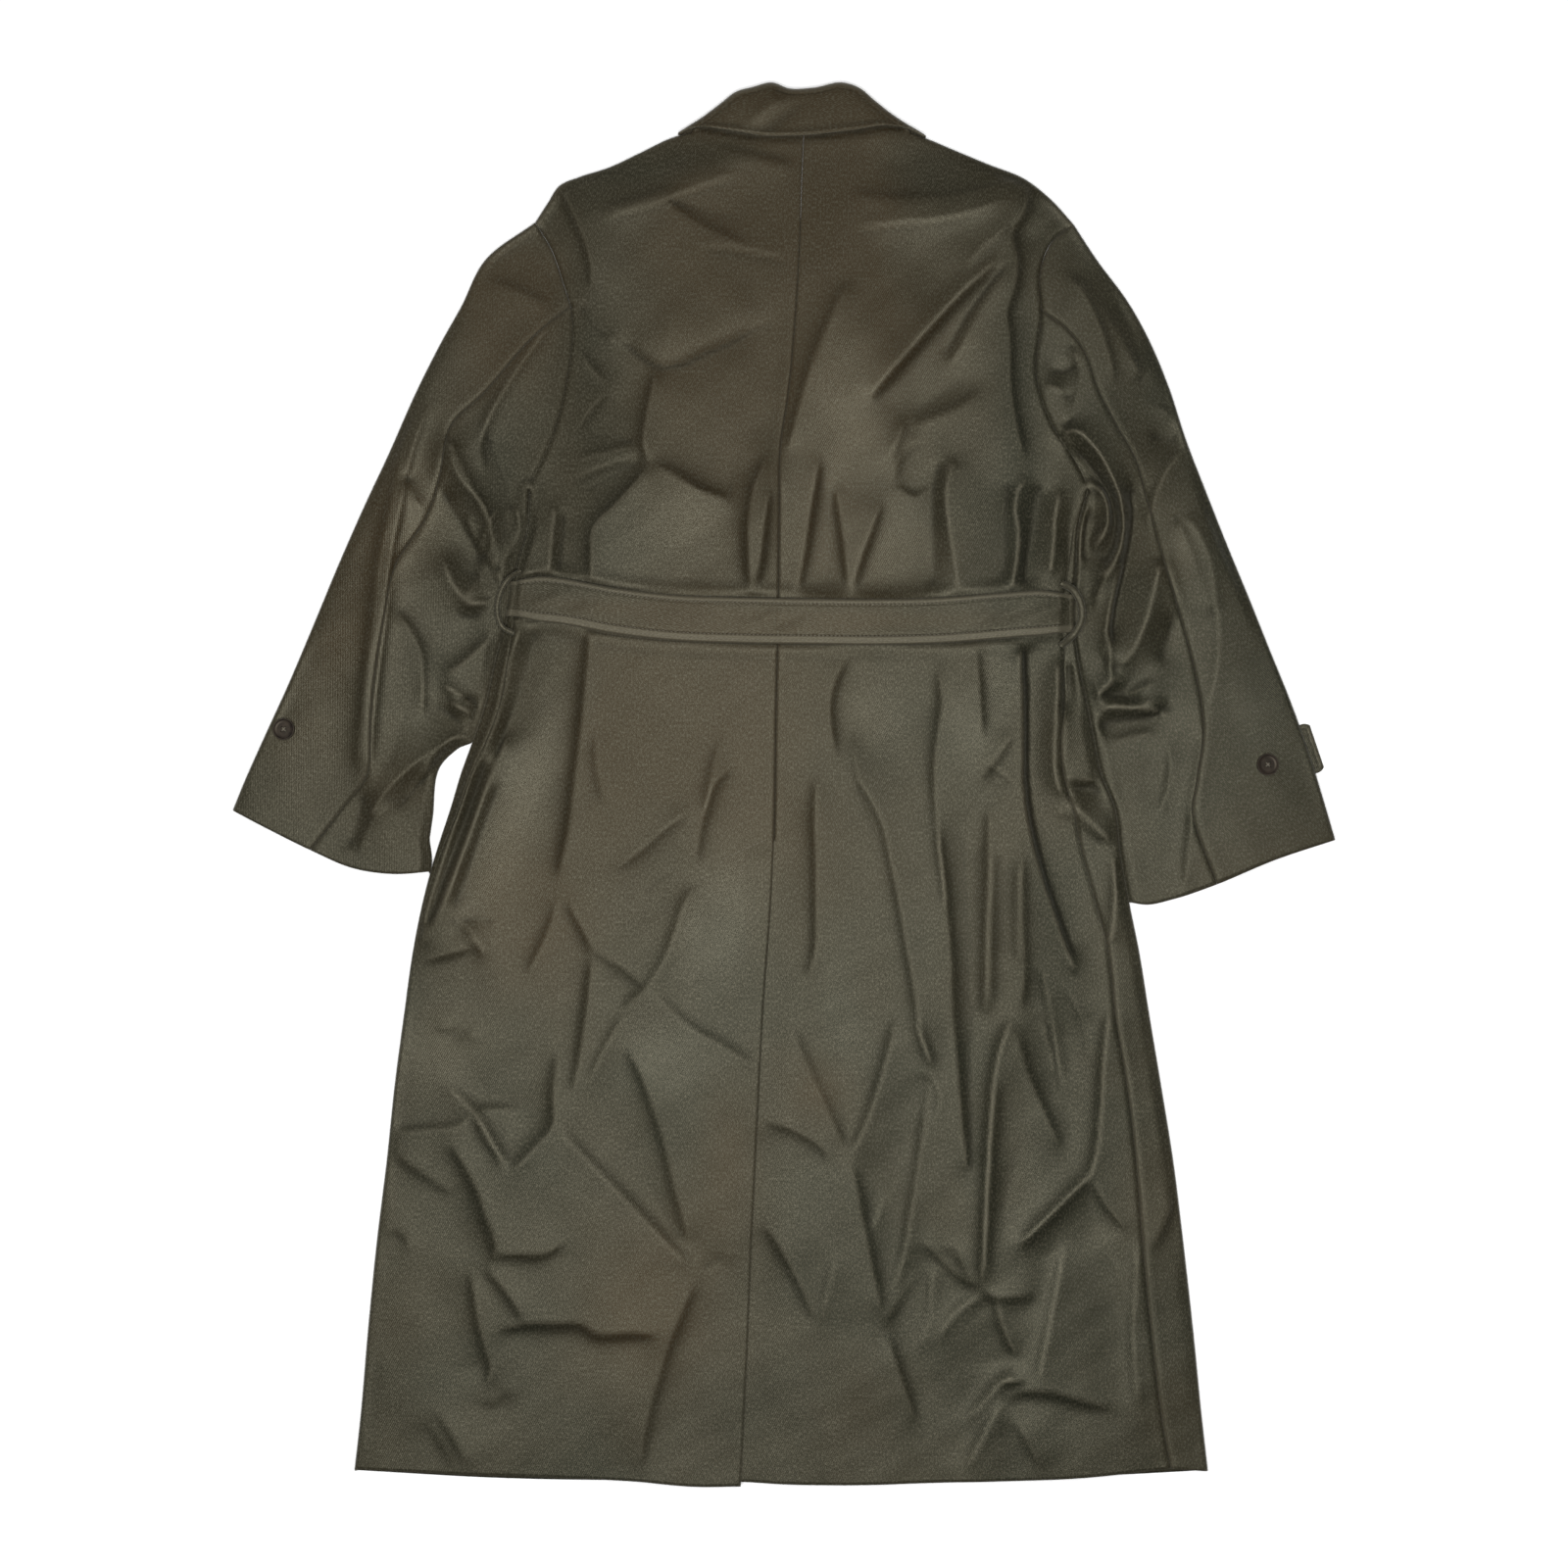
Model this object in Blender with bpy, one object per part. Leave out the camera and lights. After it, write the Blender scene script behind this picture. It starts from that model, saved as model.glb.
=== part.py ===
"""Belted chesterfield coat, lying flat with its back up.

Tables are in millimetres: X to the right, Y towards the collar, Z up from the surface beneath the coat.
The cloth is a wall of even thickness. The fronts lie on the surface, the back lies on the fronts, and each
sleeve is a flattened tube beside the body. A folded edge is where the cloth turns from the top to the
underside: a side, a shoulder or a sleeve's edge.
"""

import math
from typing import NamedTuple

import bmesh
import bpy
import numpy as np

# Cloth and how the pieces lie
MM = 0.001              # metres in a millimetre
CLOTH = 2.0             # thickness of the cloth
SEAM_GAP = 0.3          # between two pieces at a seam
EDGE_ROLL = 4.0         # radius of a folded edge
LOFT = 12.0             # height of the smooth back above the surface
LOFT_RUN = 35.0         # distance from a folded edge in which that height is nearly reached
FOLD_FADE = 14.0        # a fold fades out this close to a folded edge
LAYER = CLOTH + SEAM_GAP

# Levels up the body
UNDERARM_LEVEL = 258.0
BELT_LEVEL = 146.0
VENT_LEVEL = -48.0
HEM_LEVEL = -603.0
NECK_CALM = 570.0       # no folds above this level, where the collar lies
ROW_STEP = 27.0         # spacing of the rows of a panel

# Smaller pieces
BELT_WIDTH = 40.0
BELT_GAP = 0.5
BELT_BED = 24.0         # half width of the calm strip under the belt
BELT_ENDS = (-150.0, -100.0)  # the belt's two ends overlap between these, beneath
VENT_LAP = 43.0
VENT_COLUMNS = 2        # columns of the left half that the vent's underlap lies beneath
VENT_DROP = 2.5         # how far the underlap lies below the left half's top
FRONT_EDGE = 45.0       # the left front ends here, on the outside
FRONT_LAP = 60.0        # the right front reaches this far behind it
COLLAR_GAP = 0.8
COLLAR_ROLL = 6.5
LOOP_RADIUS = 1.5
TAB_LENGTH = 80.0
TAB_WIDTH = 45.0
BUTTON_RADIUS = 9.5
BUTTON_THICKNESS = 3.4
BUTTON_RIM = 1.9
BUTTON_HOLE_RADIUS = 0.95
BUTTON_HOLE_SPACING = 3.3
BUTTON_SIDES = 28
HOLE_SIDES = 8

# Armholes: the elbow seam leaves the armhole at this share of its length from the shoulder
ELBOW_SHARE = 0.33
ARM_LENGTH = 254.0

COAT_COLOUR = (0.075, 0.068, 0.045, 1.0)
BUTTON_COLOUR = (0.035, 0.026, 0.020, 1.0)


class Spot(NamedTuple):
    """A place in plan."""

    x: float
    y: float


def spots(*pairs):
    """Places in plan from pairs of numbers."""
    return tuple(Spot(*pair) for pair in pairs)


class BodySection(NamedTuple):
    """A level of the body: its two folded edges, and how far each front wraps round on to the top."""

    level: float
    left: float
    left_wrap: float
    right: float
    right_wrap: float


class SleeveSection(NamedTuple):
    """A section down a sleeve: its outer folded edge, its elbow seam and its inner folded edge."""

    outer: Spot
    elbow: Spot
    inner: Spot


class Fold(NamedTuple):
    """A fold. It climbs to a crest, drops across a band along its path, and climbs out of a trough.

    The drop falls to the right hand of the path. `before` and `after` are the widths of the two climbs.
    """

    path: tuple
    band: float
    crest: float
    trough: float
    before: float
    after: float


class Side(NamedTuple):
    """What differs between the coat's two sides. Left and right are as seen in plan."""

    name: str
    sign: int
    shoulder: tuple
    armhole: tuple
    sleeve: tuple
    cuff: tuple
    neckline: tuple
    hem: tuple
    button: Spot
    tab_reach: float
    loop: tuple
    leaf_tip: tuple


BODY = (
    BodySection(258, -224, 2, 267, 2),
    BodySection(225, -226, 2, 259, 4),
    BodySection(190, -236, 3, 257, 7),
    BodySection(150, -243, 6, 254, 10),
    BodySection(110, -254, 12, 259, 13),
    BodySection(70, -263, 14, 267, 20),
    BodySection(40, -273, 13, 273, 30),
    BodySection(10, -284, 10, 279, 34),
    BodySection(-20, -293, 8, 291, 38),
    BodySection(-60, -306, 5, 296, 34),
    BodySection(-100, -317, 3, 303, 30),
    BodySection(-150, -327, 2, 313, 28),
    BodySection(-200, -334, 2, 321, 31),
    BodySection(-260, -342, 2, 331, 31),
    BodySection(-335, -350, 2, 343, 34),
    BodySection(-400, -358, 2, 351, 37),
    BodySection(-480, -366, 2, 360, 38),
    BodySection(-560, -373, 2, 368, 36),
    BodySection(-604, -378, 2, 373, 33),
)

# The centre-back seam, and below the vent's top the edge of its upper half
CENTRE_SEAM = (
    Spot(18, 583), Spot(16, 540), Spot(13.5, 470), Spot(9, 400), Spot(3, 340), Spot(-3, 300), Spot(-4, 240),
    Spot(-5, 150), Spot(-7, 60), Spot(-8.5, -40), Spot(-11, -100), Spot(-18, -200), Spot(-23, -300),
    Spot(-28, -400), Spot(-33, -520), Spot(-38, -620),
)
NECK = (
    spots((18, 583), (-25, 583), (-55, 582), (-72, 578.5), (-82, 573.5)),
    spots((18, 583), (60, 583), (88, 582), (102, 578.5), (112, 573)),
)
BELT_LINE = (
    Spot(-270, 163), Spot(-200, 161), Spot(-150, 152), Spot(-100, 146), Spot(-40, 143.5), Spot(20, 142.5),
    Spot(80, 142), Spot(140, 143.5), Spot(190, 147.5), Spot(225, 150), Spot(275, 149),
)
FRONT_HEM = spots((-378, -604), (-250, -611), (-100, -613), (20, -612), (150, -614),
             (300, -608), (373, -604))

# The collar's free lower edge, and the line where it turns over; its ends slope down to the shoulders
FALL_EDGE = spots((-91, 573), (-78, 577), (-55, 574), (-20, 568.5), (17, 569.5),
             (60, 574.5), (98, 579), (110, 577), (121, 572.5))
ROLL_LINE = spots((-89, 577), (-72, 585), (-56, 597), (-42, 608), (-28, 612.5),
             (-10, 616.5), (4, 611), (26, 611.5), (52, 616.5), (66, 612),
             (80, 600), (96, 588), (110, 580), (120, 576))
COLLAR_TOP = (-44.0, 66.0)  # the stand is behind this stretch of the line where the collar turns over
STAND_FOOT = Spot(584.5, 7.0)  # level and height of the stand's foot at the neck seam

LEFT = Side(
    name="left",
    sign=-1,
    shoulder=spots((-82, 573.5), (-100, 568), (-125, 556), (-155, 542), (-180, 534),
              (-198, 526), (-208, 511), (-219, 494)),
    armhole=spots((-219, 494), (-206, 473), (-194, 440), (-186, 412), (-189, 365),
             (-202, 310), (-214, 281), (-221, 268), (-224, 258)),
    sleeve=(
        SleeveSection(Spot(-219, 494), Spot(-187, 420), Spot(-224, 258)),
        SleeveSection(Spot(-262, 462), Spot(-222, 391), Spot(-227.6, 246)),
        SleeveSection(Spot(-284, 420), Spot(-262, 345), Spot(-229.6, 231)),
        SleeveSection(Spot(-303, 386), Spot(-293, 314), Spot(-233.2, 212)),
        SleeveSection(Spot(-325, 342), Spot(-302, 272), Spot(-240, 186)),
        SleeveSection(Spot(-348, 290), Spot(-314, 235), Spot(-246.4, 154)),
        SleeveSection(Spot(-370, 243), Spot(-340, 194), Spot(-254.6, 122)),
        SleeveSection(Spot(-392, 193), Spot(-350, 148), Spot(-261.4, 90)),
        SleeveSection(Spot(-414, 140), Spot(-358, 100), Spot(-268.4, 62)),
        SleeveSection(Spot(-436, 88), Spot(-362, 58), Spot(-276, 43)),
        SleeveSection(Spot(-457, 42), Spot(-365, 10), Spot(-303, 14)),
        SleeveSection(Spot(-474, 4), Spot(-388, -22), Spot(-309, -30)),
        SleeveSection(Spot(-485, -23), Spot(-416, -58), Spot(-316, -77)),
    ),
    cuff=spots((-485, -23), (-460, -36), (-416, -58), (-380, -74), (-345, -79), (-316, -77)),
    neckline=spots((FRONT_EDGE, 495), (-10, 502), (-45, 520), (-68, 545), (-82, 573.5)),
    hem=spots((-378, -602), (-280, -606), (-200, -609), (-130, -612), (-80, -616.5),
         (-38, -616.5)),
    button=Spot(-439, 48),
    tab_reach=-6.0,
    loop=spots((-231, 187), (-240, 181), (-249, 166), (-251, 150), (-247, 138), (-237, 132)),
    leaf_tip=spots((-64, 510), (-20, 522)),
)

RIGHT = Side(
    name="right",
    sign=1,
    shoulder=spots((112, 573), (130, 566), (144, 560), (180, 545), (212, 532), (235, 514),
              (255, 492)),
    armhole=spots((255, 492), (238, 480), (225, 450), (226, 416), (222, 355), (237, 312),
             (254, 287), (263, 271), (267, 258)),
    sleeve=(
        SleeveSection(Spot(255, 492), Spot(226, 416), Spot(267, 258)),
        SleeveSection(Spot(276, 460), Spot(248, 399), Spot(267.4, 256)),
        SleeveSection(Spot(302, 425), Spot(264, 377), Spot(267.8, 252)),
        SleeveSection(Spot(322, 389), Spot(275, 346), Spot(267.2, 246)),
        SleeveSection(Spot(339, 348), Spot(292, 314), Spot(264.8, 236)),
        SleeveSection(Spot(354, 302), Spot(309, 284), Spot(261.8, 219)),
        SleeveSection(Spot(371, 258), Spot(320, 245), Spot(260.2, 189)),
        SleeveSection(Spot(390, 210), Spot(334, 193), Spot(258, 148)),
        SleeveSection(Spot(409, 164), Spot(348, 147), Spot(263.4, 102)),
        SleeveSection(Spot(427, 119), Spot(361, 99), Spot(272, 60)),
        SleeveSection(Spot(446, 72), Spot(368, 50), Spot(281, 18)),
        SleeveSection(Spot(463, 24), Spot(362, 3), Spot(294.4, -20)),
        SleeveSection(Spot(475, -15), Spot(359, -30), Spot(300.5, -64)),
        SleeveSection(Spot(485, -49), Spot(380, -88), Spot(309, -104)),
    ),
    cuff=spots((485, -49), (430, -67), (380, -88), (345, -101), (322, -106), (309, -104)),
    neckline=spots((FRONT_EDGE - FRONT_LAP, 495), (40, 502), (75, 520), (98, 545), (112, 573)),
    hem=spots((-90, -612), (-38, -613), (20, -615), (140, -613), (260, -609), (345, -601)),
    button=Spot(424, 17),
    tab_reach=9.0,
    loop=spots((243, 176), (252, 171), (259, 160), (261, 148), (256, 134), (243, 121)),
    leaf_tip=spots((94, 510), (50, 522)),
)

# The largest folds of the back and the sleeves, each from its lower or left end
FOLDS = (
    # Upper back, left of the seam
    Fold(spots((-178, 385), (-176, 412), (-172, 440), (-183, 492), (-196, 522)), 10, 2, 5, 18, 16),
    Fold(spots((-150, 500), (-110, 512), (-60, 527), (0, 540)), 10, 4, 2, 40, 25),
    Fold(spots((-138, 390), (-105, 372), (-60, 383), (-12, 406)), 11, 7, 4, 50, 20),
    Fold(spots((-170, 222), (-145, 250), (-118, 280)), 13, 5, 4, 30, 30),
    Fold(spots((-120, 280), (-80, 264), (-42, 246)), 10, 4, 3, 30, 25),
    Fold(spots((-207, 182), (-198, 230), (-193, 285)), 9, 7, 3, 20, 20),
    Fold(spots((-42, 168), (-40, 245), (-25, 292), (3, 348), (24, 388), (48, 432)), 11, 6, 4, 45, 32),
    # Upper back, right of the seam
    Fold(spots((60, 484), (110, 484), (160, 490), (198, 506)), 9, 6, 2, 24, 28),
    Fold(spots((75, 338), (110, 385), (150, 430), (188, 472)), 11, 8, 3, 60, 24),
    Fold(spots((214, 280), (201, 345), (195, 400), (207, 445), (204, 482), (214, 516)), 9, 6, 4, 30, 16),
    Fold(spots((132, 168), (133, 225), (138, 280)), 10, 4, 3, 30, 22),
    # Skirt, left half
    Fold(spots((-290, -70), (-266, -22), (-242, 50), (-215, 128)), 8, 9, 2, 14, 16),
    Fold(spots((-207, -98), (-195, -40), (-189, 20), (-182, 80), (-183, 122)), 9, 8, 3, 55, 24),
    Fold(spots((-188, -270), (-187, -200), (-186, -150), (-196, -95)), 9, 8, 3, 42, 20),
    Fold(spots((-145, -175), (-120, -125), (-85, -75), (-65, -10), (-42, 30)), 15, 4, 4, 40, 36),
    Fold(spots((-78, -428), (-95, -375), (-108, -325), (-125, -275), (-142, -232)), 9, 5, 2, 36, 30),
    Fold(spots((-190, -302), (-150, -345), (-115, -380), (-78, -430)), 9, 5, 2, 36, 40),
    Fold(spots((-242, -342), (-222, -322), (-203, -302), (-194, -268)), 12, 5, 4, 24, 30),
    Fold(spots((-255, -412), (-262, -380), (-278, -345), (-292, -316)), 10, 4, 4, 26, 22),
    Fold(spots((-124, -606), (-118, -560), (-108, -510), (-78, -436)), 10, 4, 3, 40, 40),
    Fold(spots((-245, -482), (-185, -481), (-112, -486)), 9, 4, 2, 30, 30),
    # Skirt, right half
    Fold(spots((108, -180), (93, -105), (78, -25), (55, 30), (46, 75), (66, 116)), 10, 6, 3, 28, 26),
    Fold(spots((155, -250), (146, -150), (133, -50), (127, 0), (134, 90)), 9, 6, 3, 24, 24),
    Fold(spots((171, -434), (168, -380), (166, -320), (170, -270), (190, -220)), 11, 6, 4, 30, 20),
    Fold(spots((256, -172), (240, -120), (222, -60), (213, 0), (211, 60), (209, 124)), 8, 9, 3, 40, 26),
    Fold(spots((254, -325), (264, -265), (271, -200), (268, -140)), 11, 7, 4, 26, 16),
    Fold(spots((198, -412), (235, -378), (268, -344)), 10, 8, 2, 40, 26),
    Fold(spots((85, -467), (90, -420), (95, -370), (108, -310)), 14, 5, 3, 26, 24),
    Fold(spots((150, -606), (168, -568), (190, -530)), 10, 5, 3, 40, 30),
    # Left sleeve
    Fold(spots((-262, 444), (-235, 435), (-203, 422)), 9, 5, 2, 30, 22),
    Fold(spots((-266, 290), (-245, 330), (-212, 378)), 11, 7, 3, 16, 22),
    Fold(spots((-250, 200), (-252, 232), (-264, 262), (-284, 300)), 8, 8, 2, 14, 10),
    Fold(spots((-364, 0), (-360, 80), (-349, 150), (-338, 225), (-314, 335)), 9, 7, 3, 55, 24),
    Fold(spots((-336, -15), (-314, 12), (-292, 38)), 9, 8, 0, 24, 10),
    # Right sleeve
    Fold(spots((318, 265), (312, 310), (302, 355), (284, 425), (262, 455)), 12, 7, 4, 34, 22),
    Fold(spots((276, 130), (289, 185), (297, 225), (290, 255), (272, 290), (248, 308)), 9, 11, 3, 16, 16),
    Fold(spots((276, 36), (292, 52), (318, 62), (345, 66)), 10, 6, 3, 34, 30),
    Fold(spots((350, -90), (356, -40), (362, 5), (366, 60)), 9, 5, 2, 40, 24),
)


def ease(value):
    """Smooth step from 0 to 1."""
    value = np.clip(value, 0.0, 1.0)
    return value * value * (3.0 - 2.0 * value)


def smooth_values(knots, values, places):
    """Cubic curve through values given at rising knots, read at the given places."""
    knots = np.asarray(knots, dtype=float)
    values = np.asarray(values, dtype=float)
    shape = (-1,) + (1,) * (values.ndim - 1)
    spans = np.diff(knots)
    chords = np.diff(values, axis=0) / spans.reshape(shape)
    slopes = np.empty_like(values)
    slopes[0] = chords[0]
    slopes[-1] = chords[-1]
    ahead = (spans[:-1] / (spans[:-1] + spans[1:])).reshape(shape)
    slopes[1:-1] = chords[:-1] * (1.0 - ahead) + chords[1:] * ahead
    places = np.clip(np.asarray(places, dtype=float), knots[0], knots[-1])
    index = np.clip(np.searchsorted(knots, places, side="right") - 1, 0, len(knots) - 2)
    span = spans[index].reshape(places.shape + (1,) * (values.ndim - 1))
    t = (places - knots[index]).reshape(span.shape) / span
    start = values[index]
    end = values[index + 1]
    bend_in = slopes[index] * span
    bend_out = slopes[index + 1] * span
    return (start * (1 + 2 * t) * (1 - t) ** 2 + bend_in * t * (1 - t) ** 2
            + end * t * t * (3 - 2 * t) + bend_out * t * t * (t - 1))


class Curve:
    """A smooth curve in plan through a few spots, read by the share of its length."""

    def __init__(self, spots, samples=160):
        spots = np.array(spots, dtype=float)
        chord = np.concatenate([[0.0], np.cumsum(np.linalg.norm(np.diff(spots, axis=0), axis=1))])
        self.line = smooth_values(chord, spots, np.linspace(0.0, chord[-1], samples))
        run = np.linalg.norm(np.diff(self.line, axis=0), axis=1)
        self.run = np.concatenate([[0.0], np.cumsum(run)])
        self.length = self.run[-1]

    def at(self, share):
        """Points at shares of the length."""
        place = np.clip(share, 0.0, 1.0) * self.length
        return np.stack([np.interp(place, self.run, self.line[:, axis]) for axis in (0, 1)], axis=-1)


class Joined:
    """Two curves end to end, read as one: the second starts at the given share."""

    def __init__(self, first, second, share):
        self.first = first
        self.second = second
        self.share = share

    def at(self, share):
        """Points at shares of the whole."""
        share = np.asarray(share, dtype=float)
        early = self.first.at(share / self.share)
        late = self.second.at((share - self.share) / (1.0 - self.share))
        return np.where((share < self.share - 1e-9)[..., None], early, late)


def nearest(points, line):
    """Distance to a line, the side (right hand positive), the share along the line and the way off it."""
    start = line[:-1]
    step = np.diff(line, axis=0)
    length = np.linalg.norm(step, axis=1)
    away = points[:, None, :] - start[None]
    share = np.clip((away * step).sum(-1) / length ** 2, 0.0, 1.0)
    gap = away - share[..., None] * step
    best = (gap ** 2).sum(-1).argmin(1)
    rows = np.arange(len(points))
    gap = gap[rows, best]
    side = step[best, 1] * gap[:, 0] - step[best, 0] * gap[:, 1]
    run = np.concatenate([[0.0], np.cumsum(length)])
    place = (run[best] + share[rows, best] * length[best]) / run[-1]
    distance = np.linalg.norm(gap, axis=1)
    normal = np.stack([-step[best, 1], step[best, 0]], axis=-1) / length[best, None]
    away = (distance > 0.6) | ((distance > 0.05) & (side < 0.0))
    off = np.where(away[:, None], gap / np.maximum(distance, 0.05)[:, None], normal)
    return distance, np.sign(side), place, off


def table_column(table, key, column, places):
    """One named column of a table, read smoothly at places along another."""
    rows = sorted((getattr(row, key), getattr(row, column)) for row in table)
    return smooth_values([row[0] for row in rows], [row[1] for row in rows], places)


def centre_x(level):
    """The centre-back seam at a level."""
    return table_column(CENTRE_SEAM, "y", "x", level)


def belt_y(x):
    """The middle of the belt across the back."""
    return table_column(BELT_LINE, "x", "y", x)


def body_edges():
    """The two sides of the body from the underarm to the hem."""
    levels = np.linspace(UNDERARM_LEVEL, BODY[-1].level, 300)
    left = np.stack([table_column(BODY, "level", "left", levels), levels], axis=-1)
    right = np.stack([table_column(BODY, "level", "right", levels), levels], axis=-1)
    return left, right


def sleeve_line(side, part, samples=280):
    """One of a sleeve's three lines, from the armhole to the cuff."""
    spots = [getattr(section, part) for section in side.sleeve]
    return smooth_values(np.arange(len(spots)), spots, np.linspace(0, len(spots) - 1, samples))


def folded_edges():
    """All folded edges, each with the cloth on its left hand."""
    left_side, right_side = body_edges()
    return (
        Curve(LEFT.shoulder).line,
        sleeve_line(LEFT, "outer"),
        sleeve_line(LEFT, "inner")[::-1],
        left_side,
        right_side[::-1],
        sleeve_line(RIGHT, "inner"),
        sleeve_line(RIGHT, "outer")[::-1],
        Curve(RIGHT.shoulder).line[::-1],
    )


EDGES = folded_edges()


def edge_distance(points):
    """Distance of points to the nearest folded edge, and the direction away from that edge."""
    best = np.full(len(points), np.inf)
    inward = np.zeros((len(points), 2))
    for line in EDGES:
        distance, _, _, normal = nearest(points, line)
        closer = distance < best
        best[closer] = distance[closer]
        inward[closer] = normal[closer]
    for side in (LEFT, RIGHT):
        armhole = Curve(side.armhole).line
        for corner, ahead in ((armhole[0], armhole[1]), (armhole[-1], armhole[-2])):
            near = np.linalg.norm(points - corner, axis=1) < 0.5
            best[near] = 0.0
            inward[near] = (ahead - corner) / np.linalg.norm(ahead - corner)
    return best, inward


def fold_height(points):
    """Sum of the folds at points in plan."""
    total = np.zeros(len(points))
    for fold in FOLDS:
        line = Curve(fold.path, 32).line
        reach = fold.band + max(fold.before, fold.after)
        inside = np.all((points > line.min(0) - reach) & (points < line.max(0) + reach), axis=1)
        if not inside.any():
            continue
        distance, side, place, _ = nearest(points[inside], line)
        across = distance * side
        climb = fold.crest * ease((across + fold.band + fold.before) / fold.before)
        drop = fold.crest - (fold.crest + fold.trough) * ease((across + fold.band) / (2 * fold.band))
        recover = -fold.trough * (1.0 - ease((across - fold.band) / fold.after))
        height = np.where(across < -fold.band, climb, np.where(across < fold.band, drop, recover))
        total[inside] += height * ease(place / 0.2) * ease((1.0 - place) / 0.2)
    return total


def belt_calm(points):
    """1 away from the belt and 0 under it, where it presses the cloth flat."""
    away = np.abs(points[:, 1] - belt_y(points[:, 0]))
    within = (points[:, 0] > BODY[3].left - 12) & (points[:, 0] < BODY[3].right + 4)
    return np.where(within, ease((away - BELT_BED) / 30.0), 1.0)


def tab_frame(side):
    """A cuff tab's end on the sleeve's outer edge, with its directions inward and along the sleeve."""
    line = sleeve_line(side, "outer")
    button = np.array(side.button, dtype=float)
    index = int(np.argmin(np.linalg.norm(line - button, axis=1)))
    along = line[index + 1] - line[index - 1]
    along = along / np.linalg.norm(along)
    inward = -side.sign * np.array([-along[1], along[0]])
    return line[index], inward, along


def under_height(points, overlap):
    """Height of the underside over the belt, the collar's leaves, a cuff tab or the other front."""
    x = points[:, 0]
    y = points[:, 1]
    ends = ease((x - BELT_ENDS[0] + 55.0) / 25.0) * ease((BELT_ENDS[1] + 40.0 - x) / 25.0)
    in_body = (x > BODY[3].left - 12) & (x < BODY[3].right + 4)
    band = 1.0 - ease((np.abs(y - belt_y(x)) - BELT_BED) / 22.0)
    raised = np.where(in_body, LAYER * band * (1.0 + ends), 0.0)
    neck = ease((y - 400.0) / 50.0) * ease((150.0 - np.abs(x - 15.0)) / 30.0)
    raised = np.maximum(raised, LAYER * neck)
    for side in (LEFT, RIGHT):
        origin, inward, along = tab_frame(side)
        away = points - origin
        deep = away @ inward
        wide = np.abs(away @ along)
        tab = ease((TAB_WIDTH / 2 + 55.0 - wide) / 25.0) * ease((TAB_LENGTH + 45.0 - deep) / 25.0)
        raised = np.maximum(raised, LAYER * tab * (deep > -12.0))
    if overlap:
        lap = ease((FRONT_EDGE + 120.0 - x) / 40.0) * ease((x - FRONT_EDGE + FRONT_LAP + 30.0) / 25.0)
        raised = raised + (LAYER + 0.5) * lap * ease((540.0 - y) / 40.0)
    return raised


def vent_lap(points):
    """1 where the vent's two halves lie on each other."""
    beyond = points[:, 0] - centre_x(points[:, 1])
    below = ease((VENT_LEVEL - points[:, 1]) / 20.0)
    return below * ease((VENT_LAP + 20.0 + beyond) / 16.0) * ease((18.0 - beyond) / 16.0)


def top_points(points):
    """Points of the upper side of the cloth over places in plan, and the vectors through the wall."""
    distance, inward = edge_distance(points)
    cosine = np.clip((EDGE_ROLL - distance) / EDGE_ROLL, 0.0, 1.0)
    sine = np.sqrt(1.0 - cosine ** 2)
    run = np.maximum(distance - EDGE_ROLL, 0.0)
    height = EDGE_ROLL * (1.0 + sine) + (LOFT - 2 * EDGE_ROLL) * (1.0 - np.exp(-run / LOFT_RUN))
    calm = ease((distance - 2.0) / FOLD_FADE) * ease((NECK_CALM - points[:, 1]) / 40.0) * belt_calm(points)
    height = height + fold_height(points) * calm
    lowest = under_height(points, True) + LAYER + CLOTH + LAYER * vent_lap(points)
    lowest = EDGE_ROLL + (lowest - EDGE_ROLL) * ease((distance - EDGE_ROLL) / 25.0)
    settled = lowest + np.log1p(np.exp(np.clip(height - lowest, -30.0, 30.0)))
    height = np.where(distance > EDGE_ROLL, settled, height)
    through = CLOTH * np.column_stack([inward * cosine[:, None], -sine])
    return np.column_stack([points, height]), through


def under_points(points, overlap=False):
    """Points of the underside of the cloth over places in plan, and the vectors through the wall."""
    distance, inward = edge_distance(points)
    cosine = np.clip((EDGE_ROLL - distance) / EDGE_ROLL, 0.0, 1.0)
    sine = np.sqrt(1.0 - cosine ** 2)
    raised = under_height(points, overlap)
    height = raised + np.maximum(EDGE_ROLL - raised, 0.0) * (1.0 - sine)
    through = CLOTH * np.column_stack([inward * cosine[:, None], sine])
    return np.column_stack([points, height]), through


def patch(start, end, first, last, across, down, fade=1.0):
    """Rows between two side curves, bent like the start curve at one end and the end curve at the other."""
    u = np.asarray(across)[..., None]
    v = np.asarray(down)[..., None]
    zero = np.zeros_like(across)
    one = np.ones_like(across)
    start_bend = start(across) - (1 - u) * start(zero) - u * start(one)
    end_bend = end(across) - (1 - u) * end(zero) - u * end(one)
    straight = (1 - u) * first(down) + u * last(down)
    return straight + (1 - v) ** fade * start_bend + v ** fade * end_bend


def spread(width, inner):
    """Shares across a piece from a folded edge to a seam, closer together on the roll of the edge."""
    close = np.array([0.0, 1.2, EDGE_ROLL])
    return np.concatenate([close / width, np.linspace(12.0 / width, 1.0, inner + 2)])


ARM_TOP = spread(ARM_LENGTH * ELBOW_SHARE, 2) * ELBOW_SHARE
ARM_UNDER = 1.0 - spread(ARM_LENGTH * (1 - ELBOW_SHARE), 4)[::-1] * (1 - ELBOW_SHARE)
ARM_SHARES = np.concatenate([ARM_TOP, ARM_UNDER[1:]])


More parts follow.
